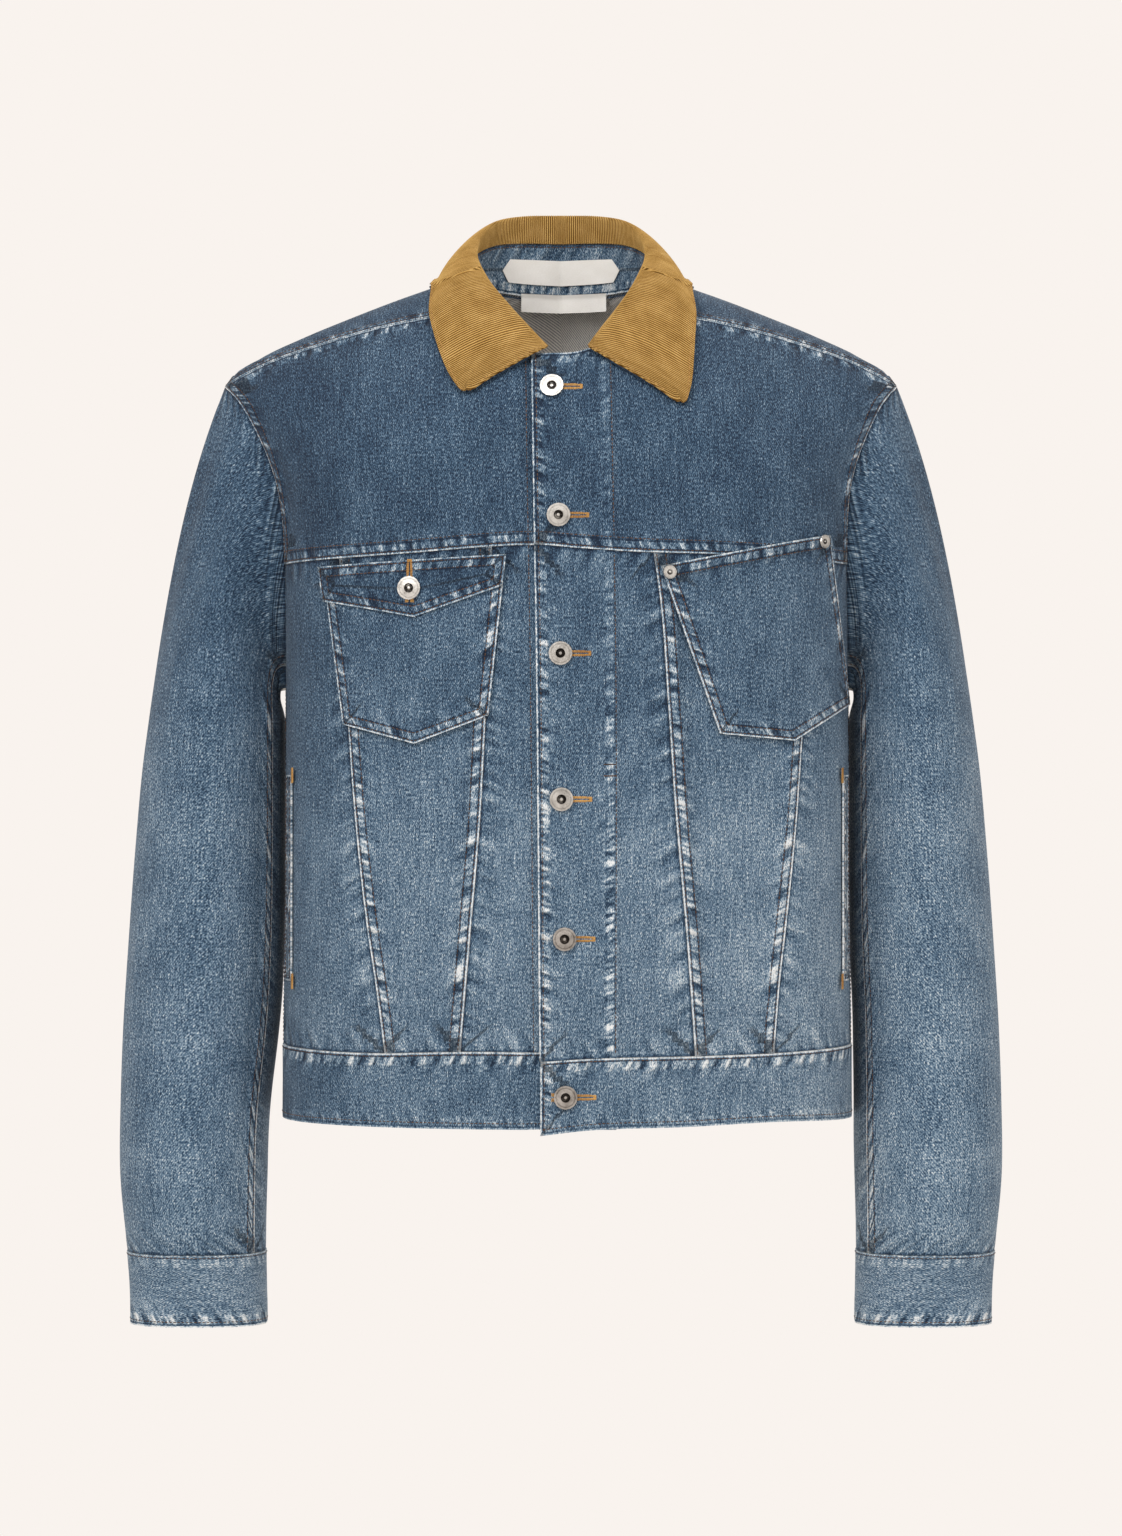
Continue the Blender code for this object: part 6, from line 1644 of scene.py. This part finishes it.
def washed_twill_group():
    """Slubby twill: the share of pale thread at each place, and its height."""
    tree, given, result = group(
        "Washed twill",
        (("Cloth", "Vector", None), ("Flecks", "Float", 0.2), ("Slubs", "Float", 0.12),
         ("Streaks", "Float", 0.08), ("Twill", "Float", 0.05), ("Twill spacing", "Float", 1.3),
         ("Twill way", "Vector", (0.87, -0.5, 0.0))),
        (("Paleness", "Float"), ("Height", "Float")))
    mm = scaled(tree, given["Cloth"], 1000.0, 1000.0, 0.0)
    flecks = noise(tree, scaled(tree, mm, 1.10, 0.55), 3.0, 0.75)
    slubs = noise(tree, scaled(tree, mm, 0.95, 0.075), 2.0, 0.6)
    streaks = noise(tree, scaled(tree, mm, 0.30, 0.018), 2.0, 0.55)
    blotches = noise(tree, scaled(tree, mm, 0.035, 0.022), 2.0, 0.5)
    across = add(tree, "VectorMath", {0: mm, 1: given["Twill way"]}, operation="DOT_PRODUCT").outputs["Value"]
    turns = maths(tree, "DIVIDE", across, given["Twill spacing"])
    lines = maths(tree, "SINE", times(tree, turns, 2 * math.pi))
    total = times(tree, flecks, given["Flecks"])
    for part, amount in ((slubs, "Slubs"), (streaks, "Streaks"), (lines, "Twill")):
        total = maths(tree, "MULTIPLY_ADD", part, given[amount], total)
    total = maths(tree, "MULTIPLY_ADD", blotches, 0.05, total)
    put(tree, total, result["Paleness"])
    height = maths(tree, "MULTIPLY_ADD", lines, 0.5, maths(tree, "MULTIPLY_ADD", flecks, 0.6, slubs))
    put(tree, height, result["Height"])


def seam_wear_and_shade_group():
    """Wear along sewn edges, with painted shade: how much paler or darker the cloth is, and the puckers'
    height. The darkening is a painted shadow beside where the next piece's edge lies over the cloth, and
    painted shade in the stitch rows' grooves.
    """
    tree, given, result = group(
        "Seam wear and shade",
        (("Seam", "Vector", None), ("Kinds", "Color", (0, 0, 0, 1)), ("Edge", "Float", 0.4),
         ("Roping", "Float", 0.3), ("Puckers", "Float", 0.2), ("Groove shade", "Float", 0.3)),
        (("Paleness", "Float"), ("Height", "Float")))
    split = add(tree, "SeparateXYZ", {0: given["Seam"]}).outputs
    kinds = add(tree, "SeparateColor", {0: given["Kinds"]}).outputs
    away = times(tree, split[0], 1000.0)
    along = times(tree, split[1], 1000.0)
    felled, folded, under = kinds[0], kinds[1], kinds[2]
    worn = maths(tree, "ADD", felled, folded, clamp=True)
    slant = maths(tree, "ADD", along, times(tree, away, 0.35))
    rope_place = add(tree, "CombineXYZ", {0: times(tree, slant, 0.21),
                                          1: times(tree, away, 0.05), 2: split[2]}).outputs[0]
    ropes = maths(tree, "ADD", noise(tree, rope_place, 1.5, 0.6), 0.30)
    between = times(tree, spread(tree, away, 1.2, 3.0, kind="SMOOTHSTEP"),
                    spread(tree, away, 10.0, 7.0, kind="SMOOTHSTEP"))
    roping = times(tree, times(tree, ropes, between), worn)
    leaning = maths(tree, "MULTIPLY_ADD", away, 0.45, along)
    pucker_place = add(tree, "CombineXYZ", {0: times(tree, leaning, 0.125),
                                            1: times(tree, away, 0.022), 2: split[2]}).outputs[0]
    puckers = noise(tree, pucker_place, 1.5, 0.5)
    fading = spread(tree, away, 22.0, 2.0, kind="SMOOTHSTEP")
    sewn = maths(tree, "ADD", worn, under, clamp=True)
    puckering = times(tree, times(tree, puckers, fading), sewn)
    thread_noise = noise(tree, add(tree, "CombineXYZ", {0: times(tree, along, 0.30),
                                                        2: split[2]}).outputs[0], 2.0, 0.6)
    edge = times(tree, spread(tree, away, 1.5, 0.5, kind="SMOOTHSTEP"), worn)
    edge = times(tree, edge, spread(tree, thread_noise, -1.2, 0.4, 0.45, 1.0))
    # Painted shadow on the cloth beside where the next piece's edge lies over it.
    shade = times(tree, spread(tree, away, 2.6, 0.4, kind="SMOOTHSTEP"), under)
    # Painted shade in the stitch rows' grooves, 2 mm in from worn edges and 7.8 mm in from felled ones.
    near_row = spread(tree, maths(tree, "ABSOLUTE", maths(tree, "SUBTRACT", away, 2.0)), 0.8, 0.2)
    far_row = spread(tree, maths(tree, "ABSOLUTE", maths(tree, "SUBTRACT", away, 7.8)), 1.0, 0.3)
    groove_shade = maths(tree, "ADD", times(tree, near_row, worn),
                    times(tree, far_row, felled))
    total = times(tree, edge, given["Edge"])
    total = maths(tree, "MULTIPLY_ADD", roping, given["Roping"], total)
    total = maths(tree, "MULTIPLY_ADD", puckering, given["Puckers"], total)
    # The painted shadow and the painted groove shade darken the cloth here.
    total = maths(tree, "MULTIPLY_ADD", shade, -0.24, total)
    total = maths(tree, "SUBTRACT", total, times(tree, groove_shade, given["Groove shade"]))
    put(tree, total, result["Paleness"])
    put(tree, maths(tree, "ADD", roping, times(tree, puckering, 1.2)), result["Height"])


def attribute(tree, name, output="Vector"):
    return add(tree, "Attribute", attribute_name=name).outputs[output]


def new_material(name):
    made = bpy.data.materials.new(name)
    made.use_nodes = True
    return made.node_tree, made.node_tree.nodes["Principled BSDF"]


def put(tree, source, *sockets):
    for socket in sockets:
        tree.links.new(source, socket)


def coloured(tree, shader, value, *stops):
    """The surface's colour by a share, from stops of (share, colour on a screen)."""
    made = add(tree, "ValToRGB", {"Fac": value})
    band = made.color_ramp
    while len(band.elements) < len(stops):
        band.elements.new(0.5)
    for element, (place, colour) in zip(band.elements, stops):
        element.position, element.color = place, srgb(*colour)
    put(tree, made.outputs["Color"], shader.inputs["Base Color"])


def bumped(tree, shader, *heights):
    """Bump nodes, one on another, from (height, distance, strength)."""
    last = None
    for height, distance, strength in heights:
        inputs = {"Height": height, "Distance": distance, "Strength": strength}
        if last is not None:
            inputs["Normal"] = last
        last = add(tree, "Bump", inputs).outputs[0]
    put(tree, last, shader.inputs["Normal"])


DENIM_STOPS = ((0.0, (18, 34, 54)), (0.28, (50, 75, 99)), (0.50, (91, 116, 138)),
               (0.74, (150, 168, 182)), (1.0, (226, 229, 230)))
TWILL = {"Flecks": 0.44, "Slubs": 0.11, "Streaks": 0.045, "Twill": 0.08, "Twill spacing": 1.3,
         "Twill way": (0.87, -0.5, 0.0)}
# Strengths for the seam groups: the groove strength is painted shade in the stitch rows' grooves, and the
# rest is wear.
SEAM_WEAR_AND_SHADE = {"Edge": 0.60, "Roping": 0.40, "Puckers": 0.20, "Groove shade": 0.32}
FACING_WEAR_AND_SHADE = {"Edge": 0.1, "Roping": 0.50, "Puckers": 0.16, "Groove shade": 0.12}  # at the facing's stitches


def denim_material(name, base, stops=DENIM_STOPS, twill=TWILL, worn=SEAM_WEAR_AND_SHADE):
    tree, shader = new_material(name)
    cloth_place, seam = attribute(tree, "cloth"), attribute(tree, "seam")
    weave = add(tree, "Group", node_tree=bpy.data.node_groups["Washed twill"])
    put(tree, cloth_place, weave.inputs["Cloth"])
    wear = add(tree, "Group", node_tree=bpy.data.node_groups["Seam wear and shade"])
    give(weave, twill)
    give(wear, worn)
    put(tree, seam, wear.inputs["Seam"])
    put(tree, attribute(tree, "kinds", "Color"), wear.inputs["Kinds"])
    split = add(tree, "SeparateXYZ", {0: cloth_place}).outputs
    fade, facing = split[2], attribute(tree, "facing", "Fac")
    off = add(tree, "CombineXYZ", {0: maths(tree, "ABSOLUTE", facing), 1: split[1], 2: 9.0}).outputs[0]
    lined = add(tree, "Group", node_tree=bpy.data.node_groups["Seam wear and shade"])
    put(tree, off, lined.inputs["Seam"])
    give(lined, {"Kinds": (1.0, 0.0, 0.0, 1.0)} | FACING_WEAR_AND_SHADE)
    inside = times(tree, spread(tree, facing, 0.0015, -0.0005),
                   spread(tree, split[1], -0.22, -0.42, 0.35, 1.0))
    # Added up: twill, seam wear with its painted seam shade, the facing's wear, and the piece's tone, which
    # holds painted side light and shade on the front and the sleeves.
    total = maths(tree, "ADD", weave.outputs["Paleness"], wear.outputs["Paleness"])
    total = maths(tree, "MULTIPLY_ADD", lined.outputs["Paleness"], inside, total)
    total = maths(tree, "ADD", maths(tree, "ADD", total, fade), base)
    coloured(tree, shader, total, *stops)
    give(shader, {"Roughness": 0.88, "Specular IOR Level": 0.25, "Sheen Weight": 0.08})
    bumped(tree, shader, (wear.outputs["Height"], 0.0009, 0.9), (weave.outputs["Height"], 0.00016, 0.8))


def reverse_material():
    """The denim's pale wrong side, with the twill's dark lines."""
    reverse = {"Flecks": 0.10, "Slubs": 0.05, "Streaks": 0.03, "Twill": 0.34, "Twill spacing": 1.75,
               "Twill way": (0.80, 0.60, 0.0)}
    stops = ((0.0, (88, 96, 110)), (0.35, (140, 144, 150)), (0.6, (200, 198, 194)), (1.0, (240, 236, 230)))
    denim_material("denim reverse", 0.92, stops, reverse)


def corduroy_material():
    tree, shader = new_material("gold corduroy")
    mm = scaled(tree, attribute(tree, "cloth"), 1000.0, 1000.0, 0.0)
    wale = attribute(tree, "wale", "Fac")
    pile = noise(tree, scaled(tree, mm, 1.4, 1.1), 3.0, 0.7)
    brushed = noise(tree, scaled(tree, mm, 0.05, 0.075), 2.0, 0.5)
    along = noise(tree, scaled(tree, mm, 0.25, 0.05), 2.0, 0.5)
    # Colour follows each wale's shape: painted shade in the grooves between the wales and a painted highlight
    # on their crests.
    total = maths(tree, "MULTIPLY_ADD", wale, 0.86, -0.05)
    for part, amount in ((pile, 0.10), (brushed, 0.08), (along, 0.05)):
        total = maths(tree, "MULTIPLY_ADD", part, amount, total)
    stops = ((0.0, (78, 52, 18)), (0.3, (128, 92, 40)), (0.55, (172, 132, 68)), (0.8, (201, 163, 98)),
             (1.0, (222, 188, 126)))
    coloured(tree, shader, total, *stops)
    give(shader, {"Roughness": 0.92, "Specular IOR Level": 0.15, "Sheen Weight": 0.25,
                  "Sheen Tint": srgb(222, 180, 110)})
    bumped(tree, shader, (pile, 0.00018, 0.8))


def thread_material(name, dark, light):
    tree, shader = new_material(name)
    place = add(tree, "TexCoord").outputs["Object"]
    twist = noise(tree, scaled(tree, place, 1800.0, 1800.0, 1800.0), 1.0, 0.5)
    worn = noise(tree, scaled(tree, place, 60.0, 60.0, 60.0), 2.0, 0.5)
    share = maths(tree, "MULTIPLY_ADD", worn, 0.30, maths(tree, "MULTIPLY_ADD", twist, 0.25, 0.45))
    coloured(tree, shader, share, (0.0, dark), (1.0, light))
    shader.inputs["Roughness"].default_value = 0.7
    bumped(tree, shader, (twist, 0.00012, 0.7))


def label_material():
    tree, shader = new_material("blank label")
    mm = scaled(tree, attribute(tree, "cloth"), 1000.0, 1000.0, 0.0)
    ribs = noise(tree, scaled(tree, mm, 0.6, 3.0), 2.0, 0.6)
    soft = noise(tree, scaled(tree, mm, 0.05, 0.08), 2.0, 0.5)
    share = maths(tree, "MULTIPLY_ADD", soft, 0.15, maths(tree, "MULTIPLY_ADD", ribs, 0.16, 0.6))
    coloured(tree, shader, share, (0.0, (232, 228, 220)), (1.0, (254, 252, 248)))
    shader.inputs["Roughness"].default_value = 0.6
    bumped(tree, shader, (ribs, 0.00010, 0.6))


def metal_material(name, colour, dark):
    """Nickel with a little tarnish, with painted shade in the hollow and in a shallow ring round the middle.
    """
    tree, shader = new_material(name)
    place = add(tree, "TexCoord").outputs["Object"]
    grain = noise(tree, scaled(tree, place, 900.0, 900.0, 900.0), 3.0, 0.6)
    patches = noise(tree, scaled(tree, place, 130.0, 130.0, 130.0), 2.0, 0.5)
    share = maths(tree, "MULTIPLY_ADD", patches, 0.25, maths(tree, "MULTIPLY_ADD", grain, 0.12, 0.6))
    across = add(tree, "VectorMath", {0: add(tree, "TexCoord").outputs["Generated"], 1: (0.5, 0.5, 0.5)},
                 operation="SUBTRACT").outputs[0]
    flat = scaled(tree, across, 1.0, 0.0, 1.0)
    reach = add(tree, "VectorMath", {0: flat}, operation="LENGTH").outputs["Value"]
    # Painted shade: dark in the hollow round the middle, lighter again at its very middle, and in a shallow
    # ring further out.
    hollow = spread(tree, maths(tree, "ABSOLUTE", maths(tree, "SUBTRACT", reach, 0.13)), 0.085, 0.055)
    ring = spread(tree, maths(tree, "ABSOLUTE", maths(tree, "SUBTRACT", reach, 0.40)), 0.035, 0.015)
    recess_shade = maths(tree, "MULTIPLY_ADD", hollow, 0.9, times(tree, ring, 0.35))
    share = maths(tree, "SUBTRACT", share, recess_shade)
    share = maths(tree, "MULTIPLY_ADD", share, 0.75, 0.25)
    coloured(tree, shader, share, (0.0, (38, 35, 33)), (0.25, dark), (1.0, colour))
    shader.inputs["Metallic"].default_value = 1.0
    put(tree, spread(tree, grain, -1, 1, 0.26, 0.42), shader.inputs["Roughness"])
    bumped(tree, shader, (grain, 0.00005, 0.5))


def make_materials():
    washed_twill_group()
    seam_wear_and_shade_group()
    denim_material("washed denim", 0.405)
    denim_material("stand denim", 0.43)
    reverse_material()
    corduroy_material()
    thread_material("tobacco thread", (44, 32, 26), (112, 78, 50))
    thread_material("ochre thread", (132, 84, 30), (222, 176, 104))
    label_material()
    metal_material("bright nickel", (226, 222, 216), (150, 146, 140))
    metal_material("dull nickel", (206, 200, 194), (104, 98, 92))


REVERSE = {"washed denim": "denim reverse", "gold corduroy": "stand denim"}


def metal_parts():
    """The CAD's buttons and rivets get their finish. The two lowest front buttons are duller."""
    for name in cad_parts:
        if "button" not in name and "rivet" not in name:
            continue
        dull = name in ("front_button_5", "front_button_6")
        piece = bpy.data.objects[name]
        for slot in piece.material_slots:
            slot.material = bpy.data.materials["dull nickel" if dull else "bright nickel"]


# ---------------------------------------------------------------- the cut
def declare_sheets():
    """Works out each piece's cut, its greatest width and length and its area, but keeps none of them."""
    for name, (outer, _, piece) in SHELLS.items():
        left, right, bottom, top = side_distances(outer)
        width, length = float((left + right).max()), float((bottom + top).max())
        a, b = outer[1:, 1:] - outer[:-1, :-1], outer[1:, :-1] - outer[:-1, 1:]
        area = float(np.linalg.norm(np.cross(a, b), axis=-1).sum() / 2)
        area = min(area, width * length)


# ---------------------------------------------------------------- studio
BACKDROP = srgb(249, 243, 238)
CAMERA_PLACE, LENS, SENSOR = (0.0, -3.1, -0.342), 100.0, 36.0
FLOOR_REACH, FLOOR_Z = 12, -0.86
# Lights: name, place, width, power and the height that it points to.
LIGHTS = (("key", (-1.6, -2.6, 1.5), 1.2, 46.0, -0.35), ("fill", (2.2, -2.4, 0.4), 2.0, 20.0, -0.35),
          ("back", (0.6, 2.6, 1.2), 2.0, 40.0, -0.35), ("neck", (0.0, -1.5, 1.5), 0.8, 9.0, 0.0))


def studio():
    scene = bpy.context.scene
    camera = bpy.data.objects.new("camera", bpy.data.cameras.new("camera"))
    camera.data.lens, camera.data.sensor_width = LENS, SENSOR
    camera.location = CAMERA_PLACE
    camera.rotation_euler = (math.radians(90), 0.0, 0.0)
    scene.collection.objects.link(camera)
    scene.camera = camera
    scene.view_settings.view_transform = "Standard"
    mesh = bpy.data.meshes.new("floor")
    corners = ((-1, -1), (1, -1), (1, 1), (-1, 1))
    mesh.from_pydata([(x * FLOOR_REACH, y * FLOOR_REACH, FLOOR_Z) for x, y in corners], [],
                     [(0, 1, 2, 3)])
    floor = bpy.data.objects.new("floor", mesh)
    scene.collection.objects.link(floor)
    pale = bpy.data.materials.new("pale floor")
    pale.use_nodes = True
    tree = pale.node_tree
    tree.nodes.clear()
    seen = add(tree, "LightPath").outputs["Is Camera Ray"]
    glow = add(tree, "Emission", {"Color": BACKDROP, "Strength": 1.0}).outputs[0]
    plain = add(tree, "BsdfDiffuse", {"Color": srgb(226, 222, 218)}).outputs[0]
    mixed = add(tree, "MixShader", {0: seen, 1: plain, 2: glow}).outputs[0]
    put(tree, mixed, add(tree, "OutputMaterial").inputs[0])
    mesh.materials.append(pale)
    world = bpy.data.worlds.new("studio")
    world.use_nodes = True
    scene.world = world
    tree = world.node_tree
    seen = add(tree, "LightPath").outputs["Is Camera Ray"]
    background = tree.nodes["Background"]
    background.inputs["Color"].default_value = BACKDROP
    put(tree, spread(tree, seen, 0, 1, 0.78, 1.0), background.inputs["Strength"])
    for name, place, size, power, height in LIGHTS:
        light = bpy.data.objects.new(name, bpy.data.lights.new(name, "AREA"))
        light.data.size, light.data.energy = size, power
        light.location = place
        aim = Vector((0.0, 0.0, height)) - Vector(place)
        light.rotation_euler = aim.to_track_quat("-Z", "Y").to_euler()
        scene.collection.objects.link(light)


def main():
    make_materials()
    fronts()
    back_yoke()
    back_panel()
    waistband()
    sleeves()
    cuffs()
    collars()
    pockets()
    labels()
    top_stitching()
    ochre_work()
    thread_pieces()
    metal_parts()
    declare_sheets()
    studio()


main()
